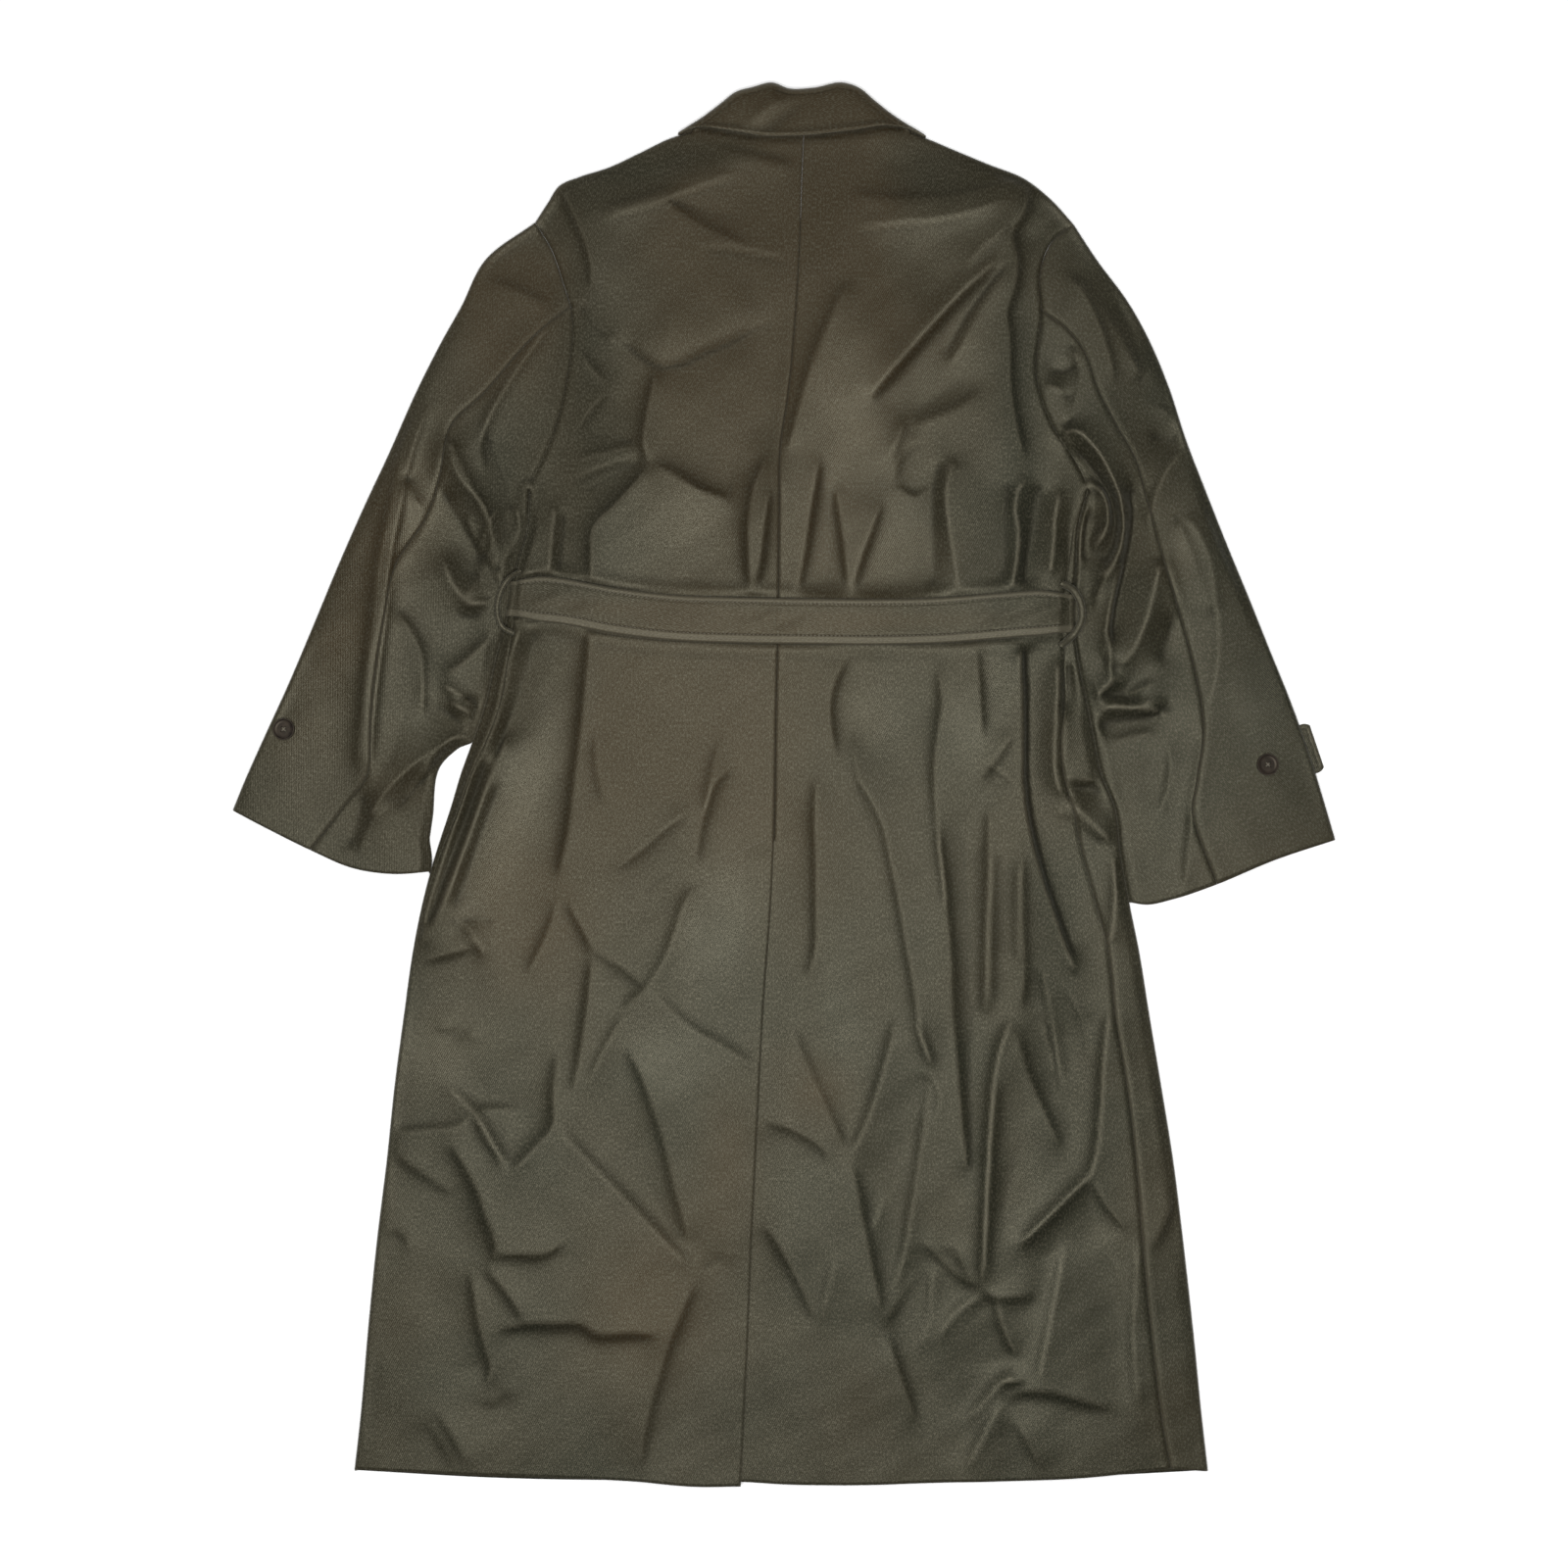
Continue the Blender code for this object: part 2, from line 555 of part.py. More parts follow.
def body_levels():
    """Levels of the rows below the underarm, with rows on the belt's edges and the vent's top."""
    stops = (UNDERARM_LEVEL, BELT_LEVEL + BELT_BED, BELT_LEVEL - BELT_BED, VENT_LEVEL, HEM_LEVEL)
    levels = [np.array([UNDERARM_LEVEL])]
    for upper, lower in zip(stops, stops[1:]):
        rows = max(2, round((upper - lower) / ROW_STEP))
        levels.append(np.linspace(upper, lower, rows + 1)[1:])
    return np.concatenate(levels)


LEVELS = body_levels()
UPPER_ROWS = len(ARM_SHARES)
VENT_ROW = UPPER_ROWS - 1 + int(np.argmin(np.abs(LEVELS - VENT_LEVEL)))


def row_level(x, level, hem):
    """Height in plan of a row: it bends with the belt near the waist and with the hem at the bottom."""
    sag = (belt_y(x) - BELT_LEVEL) * np.exp(-((level - BELT_LEVEL) / 50.0) ** 2)
    drop = (table_column(hem, "x", "y", x) - HEM_LEVEL) * ease((HEM_LEVEL + 110.0 - level) / 110.0)
    return level + np.where(level < UNDERARM_LEVEL - 1.0, sag, 0.0) + drop


def body_plan(top_curve, inner_edge, side, wrap, across, hem):
    """Rows and columns in plan of half a back or front, from its inner edge to its side."""
    armhole = shifted_armhole(side, -SEAM_GAP / 2)
    down = np.broadcast_to(ARM_SHARES[:, None], (UPPER_ROWS, len(across)))
    columns = np.broadcast_to(across, down.shape)
    waist_in = inner_edge(np.array([UNDERARM_LEVEL]))[0]
    waist_out = armhole(np.array([1.0]))[0]

    def first(share):
        top = top_curve.at(0.0)
        level = top[1] + (UNDERARM_LEVEL - top[1]) * share
        return inner_edge(level)

    upper = patch(top_curve.at, lambda share: waist_in + share[..., None] * (waist_out - waist_in),
                  first, armhole, columns, down)
    start = inner_edge(LEVELS)[:, 0]
    end = table_column(BODY, "level", side.name, LEVELS)
    for _ in range(3):
        start = inner_edge(row_level(start, LEVELS, hem))[:, 0]
        end = side_x(side, row_level(end, LEVELS, hem), wrap)
    end[0] = waist_out[0]
    x = start[:, None] + (end - start)[:, None] * np.asarray(across)[None]
    lower = np.stack([x, row_level(x, LEVELS[:, None], hem)], axis=-1)
    return np.concatenate([upper, lower[1:]])


def side_x(side, levels, wrap):
    """The folded side of the body at levels, or with wrap 1 the side seam that lies in from it."""
    edge = table_column(BODY, "level", side.name, levels)
    inset = table_column(BODY, "level", f"{side.name}_wrap", levels) + SEAM_GAP / 2
    return edge - side.sign * wrap * inset


def shifted_armhole(side, shift):
    """The armhole's curve moved towards the sleeve, read by its share from the shoulder to the underarm."""
    curve = Curve(side.armhole)

    def at(share):
        share = np.asarray(share, dtype=float)
        step = 0.002
        ahead = curve.at(np.minimum(share + step, 1.0)) - curve.at(np.maximum(share - step, 0.0))
        ahead = ahead / np.linalg.norm(ahead, axis=-1, keepdims=True)
        normal = np.stack([ahead[..., 1], -ahead[..., 0]], axis=-1) * side.sign * -1.0
        return curve.at(share) + normal * shift

    return at


class Sheet:
    """Cloth under construction: outer points, the vectors through the wall, and its faces."""

    def __init__(self):
        self.outer = []
        self.through = []
        self.faces = []

    def add_points(self, points, through):
        """Add points and give their numbers."""
        first = len(self.outer)
        self.outer.extend(points)
        self.through.extend(through)
        return np.arange(first, first + len(points))

    def add_grid(self, numbers):
        """Add the faces of a grid of point numbers."""
        for row in range(numbers.shape[0] - 1):
            for column in range(numbers.shape[1] - 1):
                corner = numbers[row + 1, column + 1]
                self.faces.append((numbers[row, column], numbers[row, column + 1], corner))
                self.faces.append((numbers[row, column], corner, numbers[row + 1, column]))

    def add_fan(self, corner, numbers):
        """Add the faces from one point to a row of points."""
        for a, b in zip(numbers, numbers[1:]):
            self.faces.append((corner, b, a))

    def solid(self, name, colour):
        """Make the closed wall as an object."""
        outer = np.array(self.outer)
        inner = outer + np.array(self.through)
        count = len(outer)
        faces = [tuple(int(i) for i in face) for face in self.faces]
        owners = {}
        for face in faces:
            for a, b in zip(face, face[1:] + face[:1]):
                owners.setdefault((min(a, b), max(a, b)), []).append((a, b))
        rims = [pair[0] for pair in owners.values() if len(pair) == 1]
        faces += [tuple(i + count for i in reversed(face)) for face in faces]
        faces += [(b, a, a + count, b + count) for a, b in rims]
        return make_object(name, np.concatenate([outer, inner]), faces, colour)


def make_material(name, colour, roughness):
    """A plain finish for one piece."""
    material = bpy.data.materials.new(name)
    material.use_nodes = True
    shader = material.node_tree.nodes["Principled BSDF"]
    shader.inputs["Base Color"].default_value = colour
    shader.inputs["Roughness"].default_value = roughness
    shader.inputs["Metallic"].default_value = 0.0
    return material


def make_object(name, points, faces, colour, roughness=0.9):
    """An object with outward faces, from points in millimetres."""
    mesh = bpy.data.meshes.new(name)
    mesh.from_pydata([tuple(point * MM) for point in np.asarray(points)], [], faces)
    model = bmesh.new()
    model.from_mesh(mesh)
    bmesh.ops.recalc_face_normals(model, faces=model.faces)
    model.to_mesh(mesh)
    model.free()
    mesh.shade_smooth()
    mesh.materials.append(make_material(name, colour, roughness))
    piece = bpy.data.objects.new(name, mesh)
    bpy.context.scene.collection.objects.link(piece)
    return piece


def back_seam(side, gap):
    """The centre-back seam as a curve read by level, moved towards one side."""
    def at(level):
        level = np.asarray(level, dtype=float)
        return np.stack([centre_x(level) + side.sign * gap, level], axis=-1)

    return at


def seat_shoulder(plan, points, through, top):
    """Set the shoulder row half a seam's gap above or below the middle of the folded edge."""
    distance, inward = edge_distance(plan[0])
    on_edge = distance < 0.3
    points[0, on_edge, 2] = EDGE_ROLL + (0.5 if top else -0.5) * SEAM_GAP
    through[0, on_edge, :2] = CLOTH * inward[on_edge]
    through[0, on_edge, 2] = 0.0


def back_points(side):
    """Plan, points and wall vectors of half of the back, in rows and columns from the centre seam."""
    across = 1.0 - spread(250.0, 12)[::-1]
    top_curve = Joined(Curve(NECK[0 if side is LEFT else 1]), Curve(side.shoulder), across[5])
    plan = body_plan(top_curve, back_seam(side, SEAM_GAP / 2), side, 1.0, across, side.hem)
    points, through = top_points(plan.reshape(-1, 2))
    points = points.reshape(*plan.shape[:2], 3)
    through = through.reshape(points.shape)
    seat_shoulder(plan, points, through, True)
    points[UPPER_ROWS - 1, -1, 2] = EDGE_ROLL + 0.5 * SEAM_GAP
    return plan, points, through


def make_back(side):
    """Half of the back. The right half carries the vent's underlap."""
    plan, points, through = back_points(side)
    if side is RIGHT:
        beyond = plan[VENT_ROW:, :, 0] - centre_x(plan[VENT_ROW:, :, 1])
        points[VENT_ROW:, :, 2] -= VENT_DROP * ease((34.0 - beyond) / 30.0)
    sheet = Sheet()
    numbers = sheet.add_points(points.reshape(-1, 3), through.reshape(-1, 3)).reshape(plan.shape[:2])
    sheet.add_grid(numbers)
    if side is RIGHT:
        add_underlap(sheet, numbers[VENT_ROW:, 0])
    return sheet.solid(f"back_{side.name}", COAT_COLOUR)


def add_underlap(sheet, edge_numbers):
    """The strip of the right half under the left one at the vent: the left half's points moved down."""
    _, points, through = back_points(LEFT)
    lap = points[VENT_ROW:, 1:VENT_COLUMNS + 1].copy()
    slope = np.linspace(0.25, 0.75, VENT_COLUMNS)[:, None]
    lap[0] += slope * (lap[1] - lap[0])
    lap[-1] += 0.15 * (lap[-2] - lap[-1])
    lap[..., 2] -= VENT_DROP
    numbers = sheet.add_points(lap.reshape(-1, 3), through[VENT_ROW:, 1:VENT_COLUMNS + 1].reshape(-1, 3))
    sheet.add_grid(np.column_stack([edge_numbers, numbers.reshape(lap.shape[:2])]))


def front_edge(side):
    """The centre-front edge, straight and hidden beneath."""
    x = FRONT_EDGE if side is LEFT else FRONT_EDGE - FRONT_LAP

    def at(level):
        level = np.asarray(level, dtype=float)
        return np.stack([np.full(level.shape, x), level], axis=-1)

    return at


def make_front(side):
    """A front: flat beneath, round the side and up to the side seam."""
    across = 1.0 - spread(300.0, 3)[::-1]
    top_curve = Joined(Curve(side.neckline), Curve(side.shoulder), across[2])
    plan = body_plan(top_curve, front_edge(side), side, 0.0, across, FRONT_HEM)
    rows, columns, _ = plan.shape
    points, through = under_points(plan.reshape(-1, 2), side is RIGHT)
    points = points.reshape(rows, columns, 3)
    through = through.reshape(points.shape)
    seat_shoulder(plan, points, through, False)
    first = UPPER_ROWS - 1
    points[first, -1, 2] = EDGE_ROLL - 0.5 * SEAM_GAP
    points[first + 1:, -1, 2] = EDGE_ROLL
    sheet = Sheet()
    numbers = sheet.add_points(points.reshape(-1, 3), through.reshape(-1, 3)).reshape(rows, columns)
    sheet.add_grid(numbers)
    edge = plan[first + 1:, -1]
    seam = back_points(side)[0][first + 1:, -1] + np.array([side.sign * SEAM_GAP, 0.0])
    share = (np.arange(1, 5) / 4.0) ** 1.8
    strip = edge[:, None] + (seam - edge)[:, None] * share[None, :, None]
    strip_points, strip_through = top_points(strip.reshape(-1, 2))
    strip_numbers = sheet.add_points(strip_points, strip_through).reshape(strip.shape[:2])
    strip_numbers = np.column_stack([numbers[first + 1:, -1], strip_numbers])
    sheet.add_grid(strip_numbers)
    sheet.add_fan(numbers[first, -1], strip_numbers[0])
    return sheet.solid(f"front_{side.name}", COAT_COLOUR)


def sleeve_reader(side, part, rows, shift=0.0):
    """One of a sleeve's lines, read by the share of its length and moved sideways by a seam's gap."""
    spots = [getattr(section, part) for section in side.sleeve]
    knots = np.linspace(0.0, 1.0, len(spots))

    def at(share):
        share = np.asarray(share, dtype=float)
        step = 0.5 / rows
        place = smooth_values(knots, spots, share)
        ahead = smooth_values(knots, spots, share + step) - smooth_values(knots, spots, share - step)
        ahead = ahead / np.linalg.norm(ahead, axis=-1, keepdims=True)
        return place + shift * np.stack([ahead[..., 1], -ahead[..., 0]], axis=-1)

    return at


def make_sleeve(side, part):
    """The top or the under part of a sleeve: its upper side, its folded edge and its underside."""
    rows = len(side.sleeve)
    down = np.linspace(0.0, 1.0, rows)
    edge_name = "outer" if part == "top" else "inner"
    arm_width = ARM_LENGTH * (ELBOW_SHARE if part == "top" else 1 - ELBOW_SHARE)
    inner = 2 if part == "top" else 4
    shares = spread(arm_width, inner)
    armhole = shifted_armhole(side, SEAM_GAP / 2)
    cuff = Curve(side.cuff)
    elbow_spot = np.array(side.sleeve[-1].elbow, dtype=float)
    cuff_share = cuff.run[int(np.argmin(np.linalg.norm(cuff.line - elbow_spot, axis=1)))] / cuff.length
    toward_outer = -side.sign if part == "top" else side.sign
    seam = sleeve_reader(side, "elbow", rows, toward_outer * SEAM_GAP / 2)
    edge = sleeve_reader(side, edge_name, rows)

    def armhole_part(share):
        return armhole(ELBOW_SHARE * share if part == "top" else 1.0 - (1.0 - ELBOW_SHARE) * share)

    def cuff_part(share):
        return cuff.at(cuff_share * share if part == "top" else 1.0 - (1.0 - cuff_share) * share)

    widths = np.linalg.norm(seam(down) - edge(down), axis=1)
    widths[0] = arm_width
    across = np.array([spread(width, inner) for width in widths])
    down_grid = np.broadcast_to(down[:, None], across.shape)
    plan = patch(armhole_part, cuff_part, edge, seam, across, down_grid, 5.0)
    plan[:, 0] = edge(down)
    plan[0] = armhole_part(shares)
    count = plan.shape[:2]
    points, through = top_points(plan.reshape(-1, 2))
    points = points.reshape(*count, 3)
    points[:, 0, 2] = EDGE_ROLL
    below, below_through = under_points(plan.reshape(-1, 2))
    below = below.reshape(*count, 3)[:, 1:].reshape(-1, 3)
    below_through = below_through.reshape(*count, 3)[:, 1:].reshape(-1, 3)
    sheet = Sheet()
    numbers = sheet.add_points(points.reshape(-1, 3), through).reshape(count)
    sheet.add_grid(numbers)
    under_numbers = sheet.add_points(below, below_through)
    sheet.add_grid(np.column_stack([numbers[:, 0], under_numbers.reshape(count[0], count[1] - 1)]))
    return sheet.solid(f"sleeve_{side.name}_{part}", COAT_COLOUR)


def collar_fall(points):
    """Points of the collar's fall over places in plan, and the vectors through its wall."""
    distance, _, _, inward = nearest(points, Curve(ROLL_LINE, 240).line[::-1])
    cosine = np.clip((COLLAR_ROLL - distance) / COLLAR_ROLL, 0.0, 1.0)
    sine = np.sqrt(1.0 - cosine ** 2)
    climb = LOFT + CLOTH + COLLAR_GAP - 2 * COLLAR_ROLL
    run = np.maximum(distance - COLLAR_ROLL, 0.0)
    height = COLLAR_ROLL * (1.0 + sine) + climb * (1.0 - np.exp(-run / 6.0))
    return np.column_stack([points, height]), CLOTH * np.column_stack([inward * cosine[:, None], -sine])


def make_collar():
    """The collar: its fall over the back, the stand behind it and a plain leaf under each front."""
    columns = np.linspace(0.0, 1.0, 27)
    fall = Curve(FALL_EDGE)
    roll = Curve(ROLL_LINE, 240)
    lower = fall.at(columns)
    upper = roll.at(columns)
    height = np.linalg.norm(upper - lower, axis=1)
    shares = np.stack([np.zeros_like(height), np.full_like(height, 0.34), np.full_like(height, 0.67),
                       1.0 - np.minimum(COLLAR_ROLL, 0.25 * height) / height,
                       1.0 - np.minimum(1.6, 0.08 * height) / height, np.ones_like(height)])
    plan = lower[None] + (upper - lower)[None] * shares[..., None]
    points, through = collar_fall(plan.reshape(-1, 2))
    sheet = Sheet()
    numbers = sheet.add_points(points, through).reshape(plan.shape[:2])
    sheet.add_grid(numbers)
    turned = add_turn(sheet, numbers[-1], upper)
    on_top = (upper[:, 0] > COLLAR_TOP[0]) & (upper[:, 0] < COLLAR_TOP[1])
    foot_level = np.full(on_top.sum(), STAND_FOOT.x)
    foot_height = np.full(on_top.sum(), STAND_FOOT.y)
    foot = np.column_stack([upper[on_top, 0], foot_level, foot_height])
    add_under_row(sheet, turned[on_top], foot)
    for side in (LEFT, RIGHT):
        ends = np.flatnonzero(~on_top & (np.sign(upper[:, 0] - 15.0) == side.sign))
        share = np.linspace(0.0, 1.0, len(ends))[::-side.sign, None]
        tip = np.array(side.leaf_tip[0]) + share * (np.array(side.leaf_tip[1]) - np.array(side.leaf_tip[0]))
        add_under_row(sheet, turned[ends], np.column_stack([tip, np.zeros(len(ends))]))
    return sheet.solid("collar", COAT_COLOUR)


def add_turn(sheet, numbers, upper):
    """The collar's turn from the line along its top down to the surface."""
    _, _, _, inward = nearest(upper, Curve(ROLL_LINE, 240).line[::-1])
    rows = [numbers]
    for angle in (40.0, 90.0):
        turn = math.radians(angle)
        place = upper + inward * COLLAR_ROLL * (1.0 - math.cos(turn))
        ring = np.column_stack([place, np.full(len(upper), COLLAR_ROLL * (1.0 - math.sin(turn)))])
        through = CLOTH * np.column_stack([inward * math.cos(turn), np.full(len(upper), math.sin(turn))])
        rows.append(sheet.add_points(ring, through))
    sheet.add_grid(np.array(rows))
    return rows[-1]


def add_under_row(sheet, numbers, ends):
    """The stand or a leaf: from the foot of the turn to its end."""
    row = sheet.add_points(ends, np.tile([0.0, 0.0, CLOTH], (len(ends), 1)))
    sheet.add_grid(np.array([numbers, row]))


def edge_x(side, levels):
    """The body's folded edge at levels."""
    return table_column(BODY, "level", side.name, levels)


def belt_round(side, heights):
    """The belt's turn round a side, from the underside to the top, for its lines at the given offsets."""
    grow = BELT_GAP + CLOTH
    x = edge_x(side, np.full(len(heights), BELT_LEVEL))
    y = belt_y(x) + heights
    edge = edge_x(side, y)
    rings = []
    for angle in np.linspace(-90.0, 90.0, 13):
        turn = math.radians(angle)
        wide = EDGE_ROLL + grow
        tall = EDGE_ROLL + grow if angle > 0 else EDGE_ROLL
        place_x = edge - side.sign * EDGE_ROLL + side.sign * wide * math.cos(turn)
        ring = np.column_stack([place_x, y, np.full(len(y), EDGE_ROLL + tall * math.sin(turn))])
        through = np.tile([-side.sign * math.cos(turn), 0.0, -math.sin(turn)], (len(y), 1))
        rings.append((ring, CLOTH * through))
    return rings


def belt_run(stations, heights, on_back):
    """A stretch of the belt across the back, or beneath the fronts."""
    rings = []
    for x in stations:
        plan = np.column_stack([np.full(len(heights), x), belt_y(np.full(len(heights), x)) + heights])
        if on_back:
            points, _ = top_points(plan)
            points[:, 2] += BELT_GAP + CLOTH
            rings.append((points, np.tile([0.0, 0.0, -CLOTH], (len(heights), 1))))
        else:
            lifted = LAYER * float(ease((x - BELT_ENDS[0] + 22) / 18.0)) * (x < 0.0)
            points = np.column_stack([plan, np.full(len(heights), lifted)])
            rings.append((points, np.tile([0.0, 0.0, CLOTH], (len(heights), 1))))
    return rings


def make_belt():
    """The belt: one strip from its end beneath, round the right side, over the back and round the left."""
    heights = np.array([-0.5, -0.25, 0.0, 0.25, 0.5]) * BELT_WIDTH
    left = float(edge_x(LEFT, np.array([BELT_LEVEL]))[0])
    right = float(edge_x(RIGHT, np.array([BELT_LEVEL]))[0])
    beneath = np.arange(BELT_ENDS[0], right - 14.0, 60.0)
    between = np.arange(right - 24.0, left + 20.0, -24.0)
    across_back = np.concatenate([[right - 12.0], between, [left + 12.0]])
    back_under = np.array([left + 14.0, left + 60.0, BELT_ENDS[0] - 22.0, BELT_ENDS[0] - 4.0, BELT_ENDS[1]])
    rings = []
    for x in beneath:
        plan = np.column_stack([np.full(5, x), belt_y(np.full(5, x)) + heights, np.zeros(5)])
        rings.append((plan, np.tile([0.0, 0.0, CLOTH], (5, 1))))
    rings += belt_round(RIGHT, heights)
    rings += belt_run(across_back, heights, True)
    rings += belt_round(LEFT, heights)[::-1]
    rings += belt_run(back_under, heights, False)
    sheet = Sheet()
    numbers = [sheet.add_points(points, through) for points, through in rings]
    sheet.add_grid(np.array(numbers))
    return sheet.solid("belt", COAT_COLOUR)


def tube(name, route, radius, sides, colour):
    """A round cord along a route of points, closed at both ends."""
    route = np.asarray(route, dtype=float)
    ahead = np.gradient(route, axis=0)
    ahead = ahead / np.linalg.norm(ahead, axis=1, keepdims=True)
    across = np.cross(ahead, [0.0, 0.0, 1.0])
    across = across / np.linalg.norm(across, axis=1, keepdims=True)
    upward = np.cross(across, ahead)
    points = []
    for centre, wide, tall in zip(route, across, upward):
        for k in range(sides):
            turn = 2.0 * math.pi * k / sides
            points.append(centre + radius * (math.cos(turn) * wide + math.sin(turn) * tall))
    faces = []
    for row in range(len(route) - 1):
        for k in range(sides):
            ahead_k = (k + 1) % sides
            faces.append((row * sides + k, row * sides + ahead_k,
                          (row + 1) * sides + ahead_k, (row + 1) * sides + k))
    faces.append(tuple(range(sides)))
    faces.append(tuple(range((len(route) - 1) * sides, len(route) * sides)))
    return make_object(name, points, faces, colour)


def make_loop(side):
    """A side loop: a round cord from above the belt, past its edge, to below it."""
    plan = Curve(side.loop).at(np.linspace(0.0, 1.0, 11))
    seats, _ = top_points(plan[[0, -1]])
    clear = LOFT + BELT_GAP + CLOTH + SEAM_GAP + LOOP_RADIUS
    share = np.linspace(0.0, 1.0, len(plan))
    ends = seats[0, 2] + (seats[1, 2] - seats[0, 2]) * share + SEAM_GAP + LOOP_RADIUS
    arch = ease(share / 0.2) * ease((1.0 - share) / 0.2)
    height = ends + (clear - ends) * arch
    return tube(f"belt_loop_{side.name}", np.column_stack([plan, height]), LOOP_RADIUS, 6, COAT_COLOUR)


def make_tab(side):
    """An unbuttoned cuff tab, flat under the sleeve, with its free end cut off at the corners."""
    origin, inward, along = tab_frame(side)
    half = TAB_WIDTH / 2
    cut = 4.0
    outline = ((-side.tab_reach, half - cut), (cut - side.tab_reach, half), (TAB_LENGTH, half),
               (TAB_LENGTH, -half), (cut - side.tab_reach, -half), (-side.tab_reach, cut - half))
    plan = np.array([origin + inward * deep + along * wide for deep, wide in outline])
    count = len(plan)
    points = np.concatenate([np.column_stack([plan, np.full(count, z)]) for z in (0.0, CLOTH)])
    faces = [tuple(range(count)), tuple(range(count, 2 * count))]
    faces += [(k, (k + 1) % count, (k + 1) % count + count, k + count) for k in range(count)]
    return make_object(f"cuff_tab_{side.name}", points, faces, COAT_COLOUR)


def make_button(side):
    """A four-hole button with a raised rim, seated on the sleeve."""
    profile = (
        (0.0, 0.0),
        (0.72 * BUTTON_RADIUS, 0.0),
        (BUTTON_RADIUS, 0.35 * BUTTON_THICKNESS),
        (0.97 * BUTTON_RADIUS, 0.85 * BUTTON_THICKNESS),
        (BUTTON_RADIUS - 0.5 * BUTTON_RIM, BUTTON_THICKNESS),
        (BUTTON_RADIUS - BUTTON_RIM, 0.8 * BUTTON_THICKNESS),
        (0.55 * BUTTON_RADIUS, 0.62 * BUTTON_THICKNESS),
        (0.0, 0.55 * BUTTON_THICKNESS),
    )
    points = [(0.0, 0.0, profile[0][1])]
    for radius, height in profile[1:-1]:
        for k in range(BUTTON_SIDES):
            turn = 2.0 * math.pi * k / BUTTON_SIDES
            points.append((radius * math.cos(turn), radius * math.sin(turn), height))
    points.append((0.0, 0.0, profile[-1][1]))
    faces = []
    rings = len(profile) - 2
    for k in range(BUTTON_SIDES):
        ahead = (k + 1) % BUTTON_SIDES
        faces.append((0, 1 + k, 1 + ahead))
        for ring in range(rings - 1):
            low = 1 + ring * BUTTON_SIDES
            faces.append((low + k, low + ahead, low + BUTTON_SIDES + ahead, low + BUTTON_SIDES + k))
        top = 1 + (rings - 1) * BUTTON_SIDES
        faces.append((top + k, top + ahead, len(points) - 1))
    name = f"cuff_button_{side.name}"
    spot = np.array([side.button], dtype=float)
    ring = spot + BUTTON_RADIUS * np.array([[1, 0], [-1, 0], [0, 1], [0, -1], [0, 0]], dtype=float)
    seat, _ = top_points(ring)
    slope_x = (seat[0, 2] - seat[1, 2]) / (2 * BUTTON_RADIUS)
    slope_y = (seat[2, 2] - seat[3, 2]) / (2 * BUTTON_RADIUS)
    base = max(seat[:, 2].max() - abs(slope_x) * BUTTON_RADIUS, seat[4, 2]) + SEAM_GAP + 0.5
    normal = np.array([-slope_x, -slope_y, 1.0])
    normal = normal / np.linalg.norm(normal)
    first = np.cross([0.0, 1.0, 0.0], normal)
    first = first / np.linalg.norm(first)
    second = np.cross(normal, first)
    foot = np.array([spot[0, 0], spot[0, 1], base])
    turned = [foot + p[0] * first + p[1] * second + p[2] * normal for p in points]
    button = make_object(name, turned, faces, BUTTON_COLOUR, 0.35)
    for k in range(4):
        turn = math.radians(45.0 + 90.0 * k)
        offset = BUTTON_HOLE_SPACING / math.sqrt(2.0)
        centre = turned[0] + offset * (math.cos(turn) * first + math.sin(turn) * second)
        route = [centre - normal, centre + normal * (BUTTON_THICKNESS + 1.0)]
        cutter = tube(f"{name}_hole_{k}", route, BUTTON_HOLE_RADIUS, HOLE_SIDES, BUTTON_COLOUR)
        cutter.hide_render = True
        cutter.display_type = "WIRE"
        cut = button.modifiers.new(f"hole_{k}", "BOOLEAN")
        cut.operation = "DIFFERENCE"
        cut.object = cutter
    return button


def main():
    """Clear the scene and make every piece."""
    for old in list(bpy.data.objects):
        bpy.data.objects.remove(old)
    for side in (LEFT, RIGHT):
        make_back(side)
        make_front(side)
        make_sleeve(side, "top")
        make_sleeve(side, "under")
        make_loop(side)
        make_tab(side)
        make_button(side)
    make_collar()
    make_belt()


main()
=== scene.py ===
"""Dress a belted chesterfield coat that lies flat with its back up.

All tables are in millimetres, in the frame of the part: X to the right, Y towards the collar, Z up from
the surface that the coat lies on. The cloth is a thin shell on the form of the part's solids. Its creases
are rows of tables, each a drawn path, and the shells, sewing and finishes follow from them.
"""

import logging
import math
from dataclasses import dataclass
from enum import Enum
from typing import Callable, NamedTuple, Sequence

import bmesh
import bpy
import numpy as np
from mathutils import Matrix, Vector


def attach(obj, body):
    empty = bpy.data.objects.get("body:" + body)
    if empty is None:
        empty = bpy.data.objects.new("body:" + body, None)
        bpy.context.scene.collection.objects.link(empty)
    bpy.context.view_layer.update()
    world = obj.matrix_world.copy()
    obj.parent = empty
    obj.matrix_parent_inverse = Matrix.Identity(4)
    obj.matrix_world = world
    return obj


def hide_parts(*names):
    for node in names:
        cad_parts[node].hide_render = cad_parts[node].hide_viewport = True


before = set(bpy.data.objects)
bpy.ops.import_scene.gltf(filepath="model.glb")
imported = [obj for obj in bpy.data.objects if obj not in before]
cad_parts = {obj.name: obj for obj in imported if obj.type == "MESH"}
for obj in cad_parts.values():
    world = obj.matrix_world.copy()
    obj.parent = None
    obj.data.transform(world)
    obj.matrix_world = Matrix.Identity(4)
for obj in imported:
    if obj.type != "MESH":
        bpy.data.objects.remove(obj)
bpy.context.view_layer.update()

LOG = logging.getLogger("coat")

